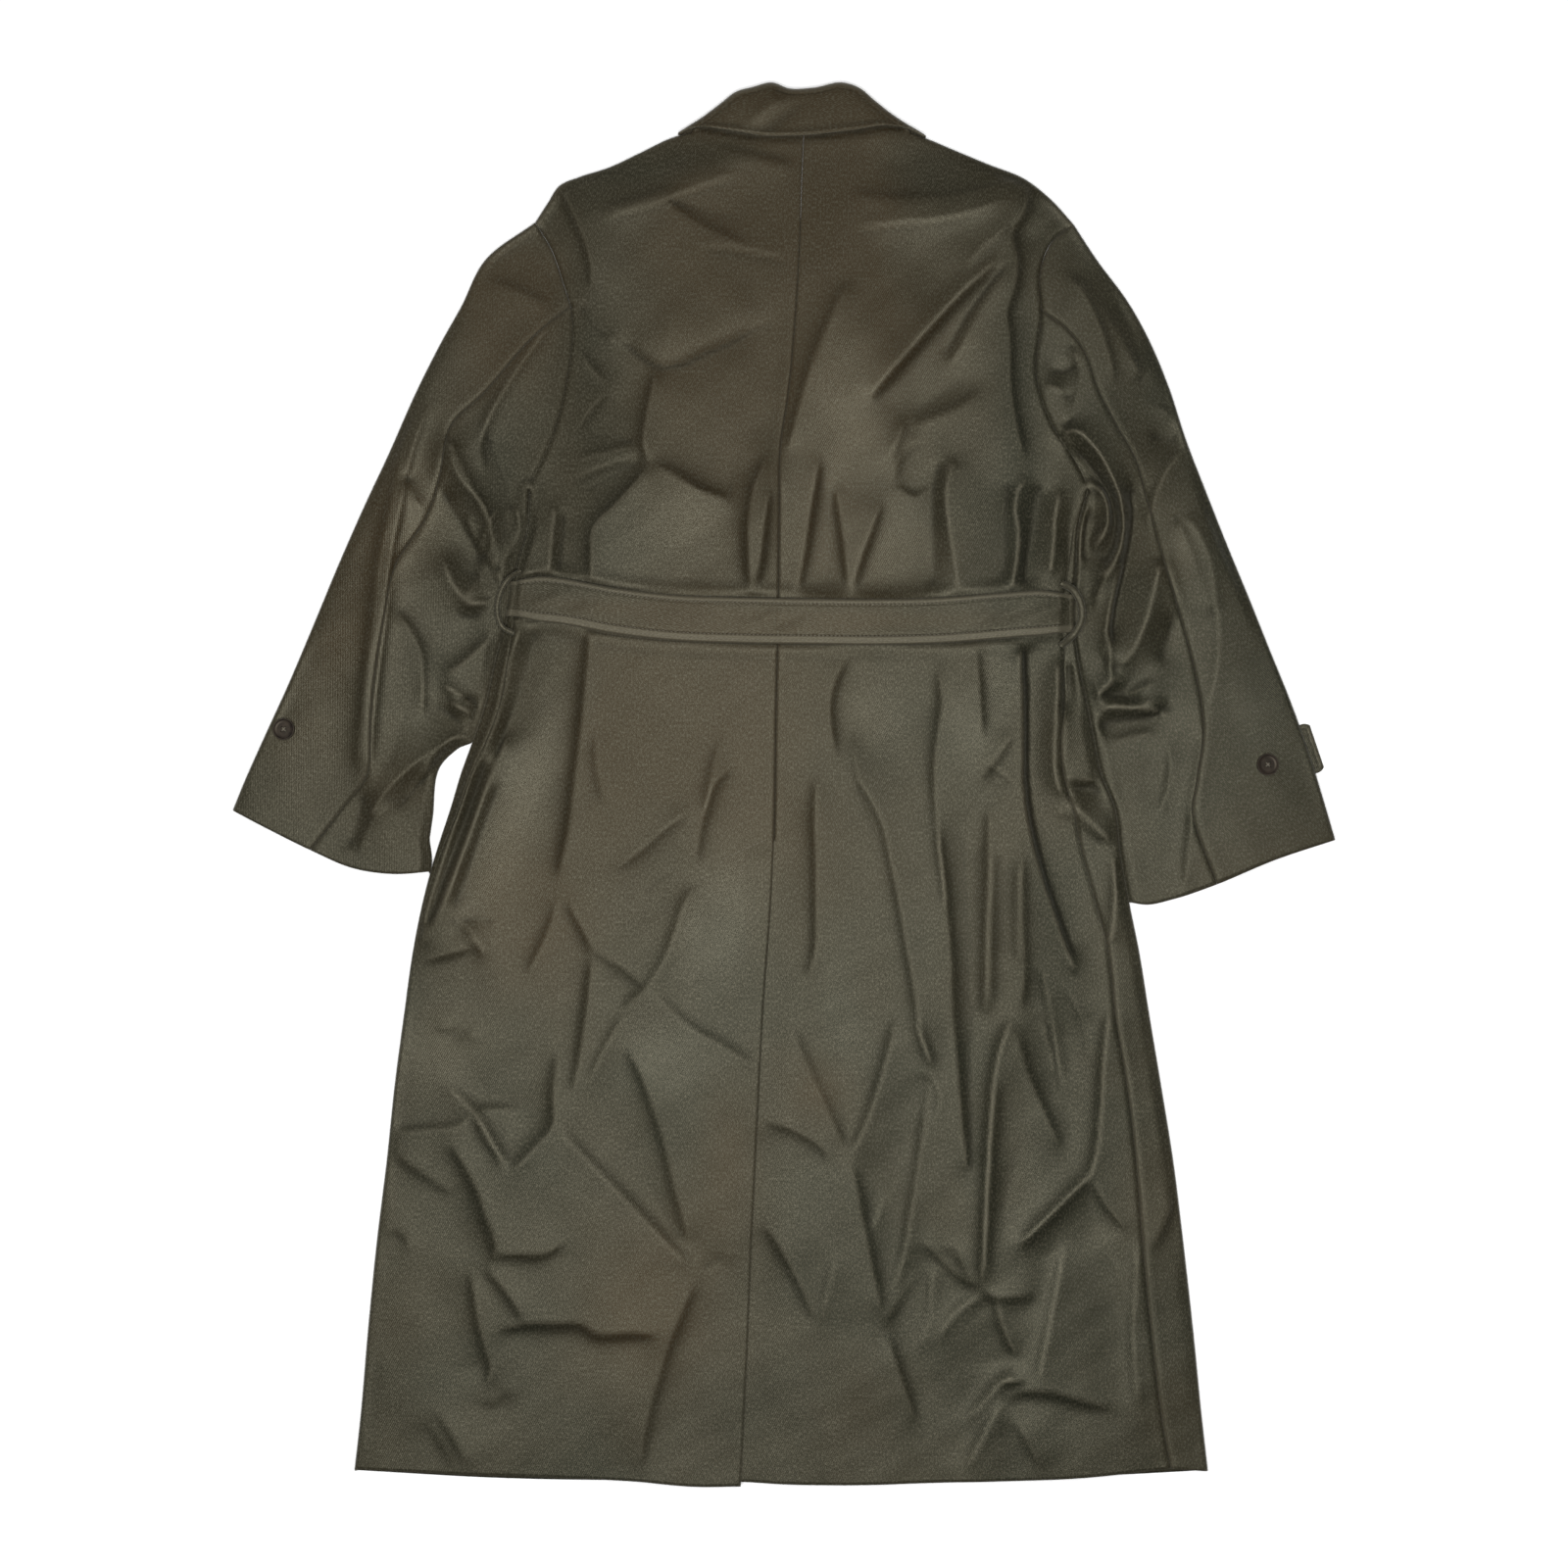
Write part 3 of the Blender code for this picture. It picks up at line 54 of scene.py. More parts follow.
Array = np.ndarray
Reader = Callable[[Array], Array]
Piece = bpy.types.Object
Material = bpy.types.Material
Colour = tuple[float, float, float]

MM = 0.001
UP = Vector((0.0, 0.0, 1.0))

# Cloth, the gaps between its layers and the bend that counts as a sharp one
CLOTH = 2.0
SEAM_GAP = 0.3
LAYER = CLOTH + SEAM_GAP
SLEEVE_PRESS = 0.25
SHARP_BEND = 0.05

# Folded edges, the loft between the layers and how closely a point counts as on a line
EDGE_ROLL = 4.0
ROLL_STEPS = (0.0, 0.25, 0.7, 1.4, 2.5, EDGE_ROLL)
EVEN_FROM = 6.0
LOFT = 12.0
LOFT_RUN = 35.0
FOLD_FADE = 9.0
FAR = 160.0
NEAR_LINE = 0.6
ON_LINE = 0.05

# Levels and widths of the coat
UNDERARM_LEVEL = 258.0
BELT_LEVEL = 146.0
BELT_WIDTH = 40.0
BELT_BED = 21.5
BELT_LIFT = 1.8
VENT_LEVEL = -48.0
HEM_LEVEL = -603.0
NECK_CALM = 572.0
FRONT_EDGE = 45.0
FRONT_LAP = 60.0
MIDDLE = 15.0
ELBOW_SHARE = 0.33
ARM_LENGTH = 254.0


class Half(Enum):
    """The coat's two halves as seen in plan; the value is the sign of their X."""

    LEFT = -1
    RIGHT = 1

    @property
    def label(self) -> str:
        """The half's name as the part's nodes spell it."""
        return self.name.lower()


class SleevePart(Enum):
    """The two pieces of a sleeve; the value is the folded edge that each one turns round."""

    TOP = "outer"
    UNDER = "inner"


class Slot(Enum):
    """The record's material slots."""

    CLOTH = "coat_cloth"
    BUTTON = "button"


class Spot(NamedTuple):
    """A place in plan."""

    x: float
    y: float


class BodySection(NamedTuple):
    """A level of the body: its folded edges, and how far each front wraps round on to the top."""

    level: float
    left: float
    left_wrap: float
    right: float
    right_wrap: float


class SleeveSection(NamedTuple):
    """A section down a sleeve: its outer folded edge, its elbow seam and its inner folded edge."""

    outer: Spot
    elbow: Spot
    inner: Spot


class Crease(NamedTuple):
    """A line pressed into the cloth: a ridge where its height is positive, else a trough."""

    height: float
    path: tuple[Spot, ...]


class Facet(NamedTuple):
    """A sharp edge: the cloth falls steeply on the right hand of its path, then levels out over a width."""

    slope: float
    width: float
    path: tuple[Spot, ...]


class NapPatch(NamedTuple):
    """A soft patch of brushed nap: its middle, reach along and across, turn, dullness and warmth."""

    x: float
    y: float
    along: float
    across: float
    turn: float
    dull: float
    warm: float


class Ripple(NamedTuple):
    """A faint wave over all the cloth: its length, the way it runs, where it starts and its height."""

    length: float
    heading: float
    start: float
    height: float


@dataclass(frozen=True)
class HalfCut:
    """The lines of one half of the coat."""

    half: Half
    neck: tuple[Spot, ...]
    neckline: tuple[Spot, ...]
    shoulder: tuple[Spot, ...]
    armhole: tuple[Spot, ...]
    sleeve: tuple[SleeveSection, ...]
    cuff: tuple[Spot, ...]
    hem: tuple[Spot, ...]
    button: Spot
    tab_reach: float
    loop_radius: float
    loop: tuple[Spot, ...]
    leaf_tip: tuple[Spot, ...]


def spots(*pairs: tuple[float, float]) -> tuple[Spot, ...]:
    """Places in plan from pairs of numbers."""
    return tuple(Spot(*pair) for pair in pairs)


def sections(*rows: tuple[float, ...]) -> tuple[SleeveSection, ...]:
    """Sleeve sections from rows of outer, elbow and inner places."""
    return tuple(SleeveSection(*spots(row[:2], row[2:4], row[4:])) for row in rows)


def facets(*rows: tuple) -> tuple[Facet, ...]:
    """Facets from rows of slope, width and the places of the path."""
    return tuple(Facet(slope, width, spots(*path)) for slope, width, *path in rows)


def creases(*rows: tuple) -> tuple[Crease, ...]:
    """Creases from rows of height and the places of the path."""
    return tuple(Crease(height, spots(*path)) for height, *path in rows)


BODY = tuple(BodySection(*row) for row in (
    (258, -224, 2, 267, 2),
    (225, -226, 2, 259, 4),
    (190, -236, 3, 257, 7),
    (150, -243, 6, 254, 10),
    (110, -254, 12, 259, 13),
    (70, -263, 14, 267, 20),
    (40, -273, 13, 273, 30),
    (10, -284, 10, 279, 34),
    (-20, -293, 8, 291, 38),
    (-60, -306, 5, 296, 34),
    (-100, -317, 3, 303, 30),
    (-150, -327, 2, 313, 28),
    (-200, -334, 2, 321, 31),
    (-260, -342, 2, 331, 31),
    (-335, -350, 2, 343, 34),
    (-400, -358, 2, 351, 37),
    (-480, -366, 2, 360, 38),
    (-560, -373, 2, 368, 36),
    (-604, -378, 2, 373, 33),
))

CENTRE_SEAM = spots(
    (18, 583), (16, 540), (13.5, 470), (9, 400), (3, 340), (-3, 300), (-4, 240), (-5, 150), (-7, 60),
    (-8.5, -40), (-11, -100), (-18, -200), (-23, -300), (-28, -400), (-33, -520), (-38, -620),
)
BELT_LINE = spots(
    (-270, 163), (-200, 161), (-150, 152), (-100, 146), (-40, 143.5), (20, 142.5), (80, 142),
    (140, 143.5), (190, 147.5), (225, 150), (275, 149),
)
FRONT_HEM = spots(
    (-378, -604), (-250, -611), (-100, -613), (20, -612), (150, -614), (300, -608), (373, -604),
)
FALL_EDGE = spots(
    (-93, 571), (-86, 574.8), (-76, 576.5), (-55, 574), (-20, 568.5), (17, 568.5), (60, 573), (96, 577.5),
    (110, 575.5), (118, 572), (124.5, 568.4),
)
ROLL_LINE = spots(
    (-93, 572.6), (-83, 579), (-72, 586), (-56, 598), (-42, 608.5), (-28, 612.5), (-10, 616.5),
    (4, 611.5), (26, 612), (52, 616.5), (66, 612), (80, 600.5), (96, 588), (109, 579.5), (118, 574.3),
    (124.5, 570),
)

LEFT = HalfCut(
    half=Half.LEFT,
    neck=spots((18, 583), (-25, 583), (-55, 582), (-72, 578.5), (-82, 573.5)),
    neckline=spots((FRONT_EDGE, 495), (-10, 502), (-45, 520), (-68, 545), (-82, 573.5)),
    shoulder=spots((-82, 573.5), (-100, 568), (-125, 556), (-155, 542), (-180, 534), (-198, 526), (-208, 511),
                   (-219, 494)),
    armhole=spots((-219, 494), (-206, 473), (-194, 440), (-186, 412), (-189, 365), (-202, 310), (-214, 281),
                  (-221, 268), (-224, 258)),
    sleeve=sections(
        (-219, 494, -187, 420, -224, 258),
        (-262, 462, -222, 391, -225.4, 246),
        (-284, 420, -262, 345, -226.2, 231),
        (-303, 386, -293, 314, -229.9, 212),
        (-325, 342, -302, 272, -237.6, 186),
        (-348, 290, -314, 235, -245.2, 154),
        (-370, 243, -340, 194, -253.6, 122),
        (-392, 193, -350, 148, -259.2, 90),
        (-414, 140, -358, 100, -266, 62),
        (-436, 88, -362, 58, -272.8, 43),
        (-457, 42, -365, 10, -303, 14),
        (-474, 4, -388, -22, -309, -30),
        (-485, -23, -416, -58, -316, -77),
    ),
    cuff=spots((-485, -23), (-460, -36), (-416, -58), (-380, -74), (-345, -79), (-316, -77)),
    hem=spots((-378, -602), (-280, -606), (-200, -609), (-130, -612), (-80, -616.5), (-38, -616.5)),
    button=Spot(-439, 48),
    tab_reach=-6.0,
    loop_radius=2.1,
    loop=spots((-231, 187), (-240, 181), (-249, 166), (-251, 150), (-247, 138), (-237, 132)),
    leaf_tip=spots((-64, 510), (-20, 522)),
)

RIGHT = HalfCut(
    half=Half.RIGHT,
    neck=spots((18, 583), (60, 583), (88, 582), (102, 578.5), (112, 573)),
    neckline=spots((FRONT_EDGE - FRONT_LAP, 495), (40, 502), (75, 520), (98, 545), (112, 573)),
    shoulder=spots((112, 573), (130, 566), (144, 560), (180, 545), (212, 532), (235, 514), (255, 492)),
    armhole=spots((255, 492), (238, 480), (225, 450), (226, 416), (222, 355), (237, 312), (254, 287),
                  (263, 271),
                  (267, 258)),
    sleeve=sections(
        (255, 492, 226, 416, 267, 258),
        (276, 460, 248, 399, 267.4, 256),
        (302, 425, 264, 377, 266.4, 252),
        (322, 389, 275, 346, 264.6, 246),
        (339, 348, 292, 314, 262.2, 236),
        (354, 302, 309, 284, 258.9, 219),
        (371, 258, 320, 245, 257.4, 189),
        (390, 210, 334, 193, 256.9, 148),
        (409, 164, 348, 147, 262.4, 102),
        (427, 119, 361, 99, 269.5, 60),
        (446, 72, 368, 50, 277.7, 18),
        (463, 24, 362, 3, 291.6, -20),
        (475, -15, 359, -30, 299.5, -64),
        (485, -49, 380, -88, 309, -104),
    ),
    cuff=spots((485, -49), (430, -67), (380, -88), (345, -101), (322, -106), (309, -104)),
    hem=spots((-90, -612), (-38, -613), (20, -615), (140, -613), (260, -609), (345, -601)),
    button=Spot(424, 17),
    tab_reach=9.0,
    loop_radius=3.2,
    loop=spots((243, 176), (252, 171), (259, 160), (261, 148), (256, 134), (243, 121)),
    leaf_tip=spots((94, 510), (50, 522)),
)

CUTS = {Half.LEFT: LEFT, Half.RIGHT: RIGHT}

# Facets of the back above the belt: slope, width and path
BACK_FACETS = facets(
    (0.42, 8, (44, 264), (50, 222), (56, 168)),
    (0.34, 10, (-31, 469), (-73, 489), (-110, 513)),
    (0.34, 12, (10, 538), (-30, 550), (-66, 560)),
    (0.40, 8, (94, 264), (104, 290), (126, 306)),
    (0.40, 7, (132, 262), (114, 252), (96, 262)),
    (0.59, 14, (-196, 524), (-188, 505), (-180, 487), (-174, 470), (-170, 448), (-171, 432)),
    (0.52, 20, (-154, 349), (-168, 362), (-181, 380)),
    (0.52, 18, (-186, 306), (-170, 328), (-154, 347)),
    (0.70, 18, (-112, 365), (-117, 345), (-122, 322), (-124, 298), (-118, 281)),
    (-0.52, 18, (-10, 405), (-45, 388), (-72, 376), (-92, 367), (-110, 366), (-125, 374), (-142, 390)),
    (0.36, 18, (-158, 496), (-130, 503), (-105, 511), (-75, 523), (-40, 535)),
    (0.33, 9, (-95, 521), (-130, 509), (-160, 501)),
    (0.36, 11, (-75, 473), (-35, 468), (5, 460)),
    (0.55, 28, (60, 438), (53, 431), (38, 403), (24, 370), (12, 330), (2, 290)),
    (0.65, 22, (72, 335), (100, 368), (128, 400), (152, 426), (172, 445), (190, 462)),
    (0.42, 10, (198, 452), (185, 436), (170, 415), (158, 393), (143, 365)),
    (0.33, 14, (206, 532), (180, 521), (145, 513), (100, 511), (58, 514)),
    (0.36, 16, (60, 487), (100, 490), (140, 494), (170, 501), (194, 513)),
    (0.42, 10, (157, 451), (173, 468), (190, 483), (200, 500)),
    (0.70, 12, (210, 285), (203, 315), (198, 352), (197, 392), (195, 412), (202, 438), (204, 458),
     (200, 483), (209, 500), (214, 521)),
    (0.36, 12, (175, 345), (150, 328), (124, 318), (112, 312)),
    (0.42, 10, (90, 280), (99, 300), (108, 324)),
    (0.70, 16, (-118, 279), (-130, 265), (-150, 243), (-168, 224), (-170, 200), (-170, 176)),
    (0.55, 18, (-45, 247), (-75, 258), (-100, 272), (-118, 279)),
    (0.42, 14, (-189, 266), (-165, 276), (-142, 284), (-124, 289)),
    (0.39, 14, (-124, 298), (-150, 292), (-186, 283)),
    (0.65, 12, (-14, 288), (-26, 262), (-32, 230), (-32, 200), (-30, 168)),
    (0.59, 9, (-27, 170), (-21, 198), (-17, 232), (-13, 262)),
    (0.55, 12, (10, 166), (17, 200), (22, 235), (27, 265), (31, 288)),
    (0.47, 11, (58, 166), (68, 200), (77, 225), (86, 250)),
)

# Facets of the skirt, left of the vent
LEFT_SKIRT_FACETS = facets(
    (0.50, 7, (-322, -157), (-296, -150), (-270, -143)),
    (0.40, 7, (-294, -112), (-274, -132), (-262, -156)),
    (0.35, 5, (-306, -214), (-292, -216), (-278, -220)),
    (0.35, 9, (-170, -144), (-144, -160), (-118, -180)),
    (0.45, 6, (-230, -288), (-250, -286), (-274, -287)),
    (0.45, 6, (-274, -286), (-262, -308), (-250, -326), (-242, -336)),
    (0.35, 5, (-346, -392), (-336, -396), (-328, -408)),
    (0.35, 5, (-262, -534), (-256, -546), (-242, -534)),
    (0.30, 8, (-316, -556), (-300, -580), (-288, -602)),
    (0.30, 9, (-56, 40), (-66, 0), (-70, -30)),
    (0.30, 8, (-166, 48), (-164, 10), (-156, -18)),
    (0.58, 10, (-171, 138), (-174, 100), (-179, 50), (-185, 0), (-190, -40), (-199, -84)),
    (0.42, 13, (-199, -100), (-206, -125), (-217, -150), (-228, -172)),
    (0.5, 12, (-192, -98), (-182, -118), (-172, -138), (-168, -150)),
    (0.32, 26, (-150, -76), (-125, -58), (-105, -40), (-80, -22)),
    (0.34, 24, (-78, -88), (-88, -104), (-97, -130), (-107, -156), (-120, -177), (-146, -202)),
    (0.38, 13, (-79, -74), (-76, -52), (-70, -25), (-61, 0), (-44, 17)),
    (0.32, 9, (-24, -250), (-52, -231), (-80, -215), (-116, -184)),
    (0.36, 8, (-140, -203), (-154, -224), (-165, -246), (-174, -266)),
    (0.48, 20, (-199, -232), (-203, -270), (-204, -300), (-222, -322), (-241, -342)),
    (0.42, 7, (-242, -340), (-257, -312), (-272, -287), (-286, -274), (-300, -262)),
    (0.42, 7, (-274, -293), (-288, -301), (-312, -304), (-346, -307)),
    (0.52, 15, (-294, -314), (-281, -335), (-270, -356), (-262, -380), (-256, -396), (-254, -412),
     (-258, -422)),
    (0.48, 6, (-256, -414), (-240, -413), (-207, -411), (-192, -399)),
    (0.48, 8, (-265, -423), (-250, -438), (-237, -455), (-226, -473)),
    (0.48, 15, (-276, -426), (-272, -450), (-268, -475), (-262, -497), (-258, -512), (-263, -532)),
    (0.65, 6, (-250, -480), (-232, -475), (-200, -474), (-177, -475), (-168, -481), (-130, -482),
     (-110, -484)),
    (0.42, 11, (-82, -426), (-104, -402), (-127, -377), (-152, -351), (-178, -324), (-197, -302)),
    (0.38, 10, (-140, -228), (-125, -258), (-115, -286), (-106, -316), (-99, -345), (-91, -375),
     (-83, -404)),
    (0.4, 11, (-128, -602), (-121, -560), (-111, -522), (-104, -498), (-92, -468), (-80, -438)),
    (0.32, 10, (-306, -548), (-290, -574), (-276, -600)),
    (0.32, 7, (-346, -321), (-318, -342), (-288, -362)),
    (0.35, 9, (-320, -153), (-300, -153), (-280, -149)),
    (0.5, 10, (-169, -150), (-172, -180), (-176, -212), (-182, -250), (-187, -274)),
)

# Facets of the skirt, right of the vent
RIGHT_SKIRT_FACETS = facets(
    (0.45, 6, (120, -400), (136, -416), (156, -434), (172, -442)),
    (0.45, 5, (140, -400), (152, -418), (166, -436)),
    (0.40, 7, (176, -448), (160, -456), (148, -466), (138, -480), (134, -494)),
    (0.55, 10, (206, -514), (188, -526), (176, -540), (156, -564)),
    (0.45, 7, (84, -476), (100, -456), (120, -428)),
    (0.40, 9, (124, -420), (128, -460), (116, -500)),
    (0.40, 6, (88, -356), (82, -376), (76, -396)),
    (0.45, 10, (268, -344), (280, -366), (302, -394)),
    (0.45, 6, (224, -156), (236, -220), (246, -280)),
    (0.40, 7, (292, -44), (290, -90), (288, -140)),
    (0.35, 7, (246, -176), (262, -210), (268, -250)),
    (0.35, 8, (172, 20), (190, 10), (206, -4)),
    (0.30, 8, (58, 40), (66, 0), (86, -52)),
    (0.35, 7, (118, -252), (132, -262), (136, -280), (128, -300)),
    (0.30, 9, (286, -410), (296, -440), (304, -480), (304, -530)),
    (0.42, 10, (45, 24), (41, 48), (40, 72), (45, 92), (56, 114)),
    (0.42, 10, (60, 10), (72, -8), (85, -34), (92, -64), (99, -98), (105, -134), (112, -172), (119, -215),
     (128, -250)),
    (0.4, 9, (134, 104), (137, 70), (134, 48), (131, 25), (131, -5), (133, -35), (138, -75), (142, -110)),
    (0.42, 14, (160, -345), (155, -290), (151, -240), (148, -205), (146, -150), (142, -110), (138, -75),
     (133, -38)),
    (0.36, 8, (173, 38), (172, 65), (170, 95), (168, 122)),
    (0.36, 8, (168, 0), (178, 12), (190, 28), (202, 48)),
    (0.42, 14, (179, -18), (178, -60), (177, -100), (176, -150), (175, -205)),
    (0.3, 9, (181, -200), (181, -150), (182, -100), (183, -55)),
    (0.48, 9, (207, -200), (210, -170), (209, -130), (208, -90), (208, -58)),
    (0.28, 8, (204, -66), (203, -110), (204, -160)),
    (0.36, 18, (256, -152), (243, -116), (231, -82), (223, -52), (217, -20), (215, 10), (215, 50),
     (214, 90), (213, 124)),
    (0.48, 10, (28, 8), (26, -30), (27, -70), (27, -110), (26, -148), (19, -174)),
    (0.42, 10, (-18, -386), (-1, -412), (14, -440), (29, -473)),
    (0.34, 9, (46, -412), (38, -440), (31, -472)),
    (0.34, 18, (-18, -296), (10, -305), (30, -317), (44, -334)),
    (0.26, 12, (54, -324), (38, -288), (22, -252), (4, -212)),
    (0.46, 14, (98, -203), (89, -240), (79, -275), (68, -305), (57, -329)),
    (0.42, 20, (85, -468), (80, -440), (74, -410), (68, -380), (63, -352), (57, -331)),
    (0.42, 12, (129, -252), (123, -290), (117, -332), (111, -372), (104, -412), (94, -448)),
    (0.28, 8, (112, -303), (102, -330), (95, -352), (90, -372)),
    (0.42, 12, (243, -322), (228, -288), (213, -252), (203, -215)),
    (0.42, 8, (240, -264), (233, -235), (226, -203)),
    (0.62, 17, (284, -196), (279, -240), (276, -290), (272, -325), (266, -343), (249, -361), (229, -381),
     (204, -406)),
    (0.52, 14, (204, -406), (229, -381), (249, -361), (266, -343)),
    (0.42, 10, (245, -404), (238, -440), (232, -470), (226, -500), (219, -530)),
    (0.52, 13, (171, -443), (184, -452), (189, -470), (196, -488), (206, -506)),
    (0.48, 7, (147, -398), (156, -420), (165, -440)),
    (0.48, 12, (131, -418), (127, -448), (122, -472)),
    (0.48, 9, (115, -562), (106, -533), (97, -506), (89, -483)),
    (0.48, 9, (192, -540), (184, -552), (171, -577), (157, -604)),
    (0.55, 7, (184, -525), (199, -525), (216, -521)),
    (0.55, 5, (192, -541), (212, -534), (235, -535), (262, -542), (288, -548)),
    (0.38, 8, (200, -553), (213, -577), (227, -603)),
    (0.42, 9, (308, -405), (307, -440), (305, -480), (307, -520), (310, -548)),
    (0.42, 8, (320, -412), (335, -380), (343, -356)),
    (0.4, 9, (176, -449), (198, -451), (222, -448)),
    (0.6, 20, (200, -202), (188, -232), (182, -262), (179, -300), (176, -350), (174, -400), (172, -440)),
    (0.36, 8, (175, -430), (177, -390), (180, -345), (183, -300), (187, -260)),
    (0.42, 9, (132, -250), (121, -226), (110, -200)),
)

# Facets of the sleeves
SLEEVE_FACETS = facets(
    (0.95, 7, (276, 272), (288, 244), (297, 218), (291, 196), (278, 176), (270, 150)),
    (0.80, 6, (283, 252), (286, 232), (274, 216), (266, 207)),
    (0.70, 8, (268, 282), (288, 262), (302, 236), (303, 205)),
    (0.80, 8, (300, 200), (287, 150), (284, 110), (286, 84)),
    (0.60, 9, (330, 92), (312, 82), (296, 76), (286, 70)),
    (0.55, 8, (290, 62), (312, 68), (336, 72)),
    (0.60, 8, (-282, 240), (-274, 220), (-258, 196), (-246, 170)),
    (0.60, 8, (-250, 246), (-262, 222), (-270, 196), (-262, 172)),
    (0.70, 7, (-240, 250), (-232, 226), (-238, 200)),
    (0.32, 12, (-204, 416), (-235, 431), (-262, 440)),
    (0.42, 20, (-262, 272), (-267, 295), (-260, 318), (-245, 345), (-225, 375), (-206, 402)),
    (0.32, 10, (-206, 404), (-225, 378), (-245, 348), (-260, 320), (-268, 296)),
    (0.5, 9, (-258, 208), (-258, 230), (-266, 247), (-279, 262), (-290, 280), (-293, 298)),
    (0.48, 12, (-279, 262), (-266, 247), (-258, 230), (-258, 208), (-268, 182), (-284, 157)),
    (0.45, 14, (-286, 156), (-266, 157), (-252, 164)),
    (0.48, 14, (-258, 130), (-270, 117), (-285, 104), (-300, 94)),
    (0.5, 16, (-274, 52), (-290, 37), (-305, 21), (-320, 4), (-330, -11), (-332, -24)),
    (0.52, 9, (-364, 8), (-360, 60), (-354, 110), (-349, 150), (-345, 200), (-337, 240), (-327, 290),
     (-313, 332)),
    (0.32, 9, (-336, -14), (-352, -24), (-366, -38), (-375, -62)),
    (0.5, 10, (-318, 56), (-317, 90), (-319, 115), (-328, 135), (-342, 152)),
    (0.32, 12, (-337, 290), (-347, 240), (-356, 200), (-361, 150), (-366, 110), (-371, 60), (-375, 8)),
    (0.52, 16, (289, 350), (284, 375), (276, 400), (263, 428), (246, 450)),
    (0.42, 12, (300, 440), (313, 415), (323, 390), (331, 362)),
    (0.48, 20, (352, 296), (335, 275), (324, 250), (318, 225)),
    (0.36, 10, (346, 318), (336, 326), (322, 330)),
    (0.36, 12, (331, 45), (305, 41), (284, 34)),
    (0.36, 12, (334, 40), (338, 15), (334, -10), (325, -32)),
    (0.42, 9, (368, 52), (365, 25), (360, 0), (357, -25), (353, -60), (350, -95)),
    (0.34, 11, (332, 231), (354, 229), (369, 205), (376, 170), (380, 132), (378, 100), (371, 66)),
)

FACETS = BACK_FACETS + LEFT_SKIRT_FACETS + RIGHT_SKIRT_FACETS + SLEEVE_FACETS

# Narrow rolls and hollows of the body: height and path
BODY_CREASES = creases(
    (-3, (-178, 428), (-174, 412), (-163, 397), (-148, 388)),
    (4, (-207, 180), (-204, 215), (-201, 250)),
    (-3, (-197, 180), (-194, 215), (-192, 245)),
    (3.5, (154, 166), (150, 195), (145, 225), (142, 255), (150, 290)),
    (-4, (130, 166), (130, 200), (129, 235), (131, 262), (138, 288)),
    (4, (198, 168), (204, 195), (206, 220), (203, 245), (208, 262), (219, 268)),
    (-3, (190, 172), (194, 200), (194, 240), (198, 268)),
    (-5, (211, 168), (214, 200), (220, 235), (226, 268)),
    (4.5, (232, 178), (236, 205), (238, 235), (243, 262)),
    (5.5, (-229, 142), (-236, 124), (-243, 105), (-248, 80), (-253, 55), (-263, 32), (-275, 5),
     (-286, -25), (-299, -55), (-312, -92), (-320, -146)),
    (4, (-243, 42), (-257, 8), (-266, -16), (-280, -55), (-297, -100), (-316, -146)),
    (-5, (-216, 140), (-223, 110), (-233, 75), (-244, 48), (-253, 22)),
    (-3, (-262, 20), (-272, -10), (-287, -52), (-303, -95), (-314, -125)),
    (-2, (-250, 0), (-262, -36), (-277, -78), (-290, -112)),
    (-2, (-291, -122), (-268, -118), (-248, -124)),
    (2.5, (-284, -133), (-268, -140), (-259, -156)),
    (-2, (-303, -212), (-286, -216), (-269, -222)),
    (-2.5, (-77, -430), (-62, -420), (-45, -411)),
    (-2.5, (-352, -390), (-340, -397), (-327, -408)),
    (-2, (-268, -538), (-258, -547), (-246, -541), (-239, -529)),
    (6, (207, 124), (208, 90), (209, 50), (209, 10), (211, -20), (217, -50), (225, -80), (236, -113),
     (248, -147), (257, -170)),
    (-6, (213, 124), (214, 90), (215, 50), (215, 10), (217, -20), (223, -52), (231, -82), (243, -116),
     (256, -152)),
    (3.5, (240, 112), (240, 80), (238, 50), (237, 20), (240, 0), (247, -15)),
    (-5, (251, 112), (250, 85), (247, 58)),
    (4, (256, 112), (262, 92), (267, 68), (272, 44), (277, 20), (284, -4)),
    (3, (244, 16), (252, 7), (266, 4), (280, 5)),
    (-4, (249, -3), (268, -4), (286, -10)),
    (3, (247, -12), (262, -26), (278, -42), (291, -54)),
    (-3, (240, -22), (256, -38), (272, -49), (286, -57)),
    (3, (292, -56), (291, -80), (290, -110), (286, -145)),
)

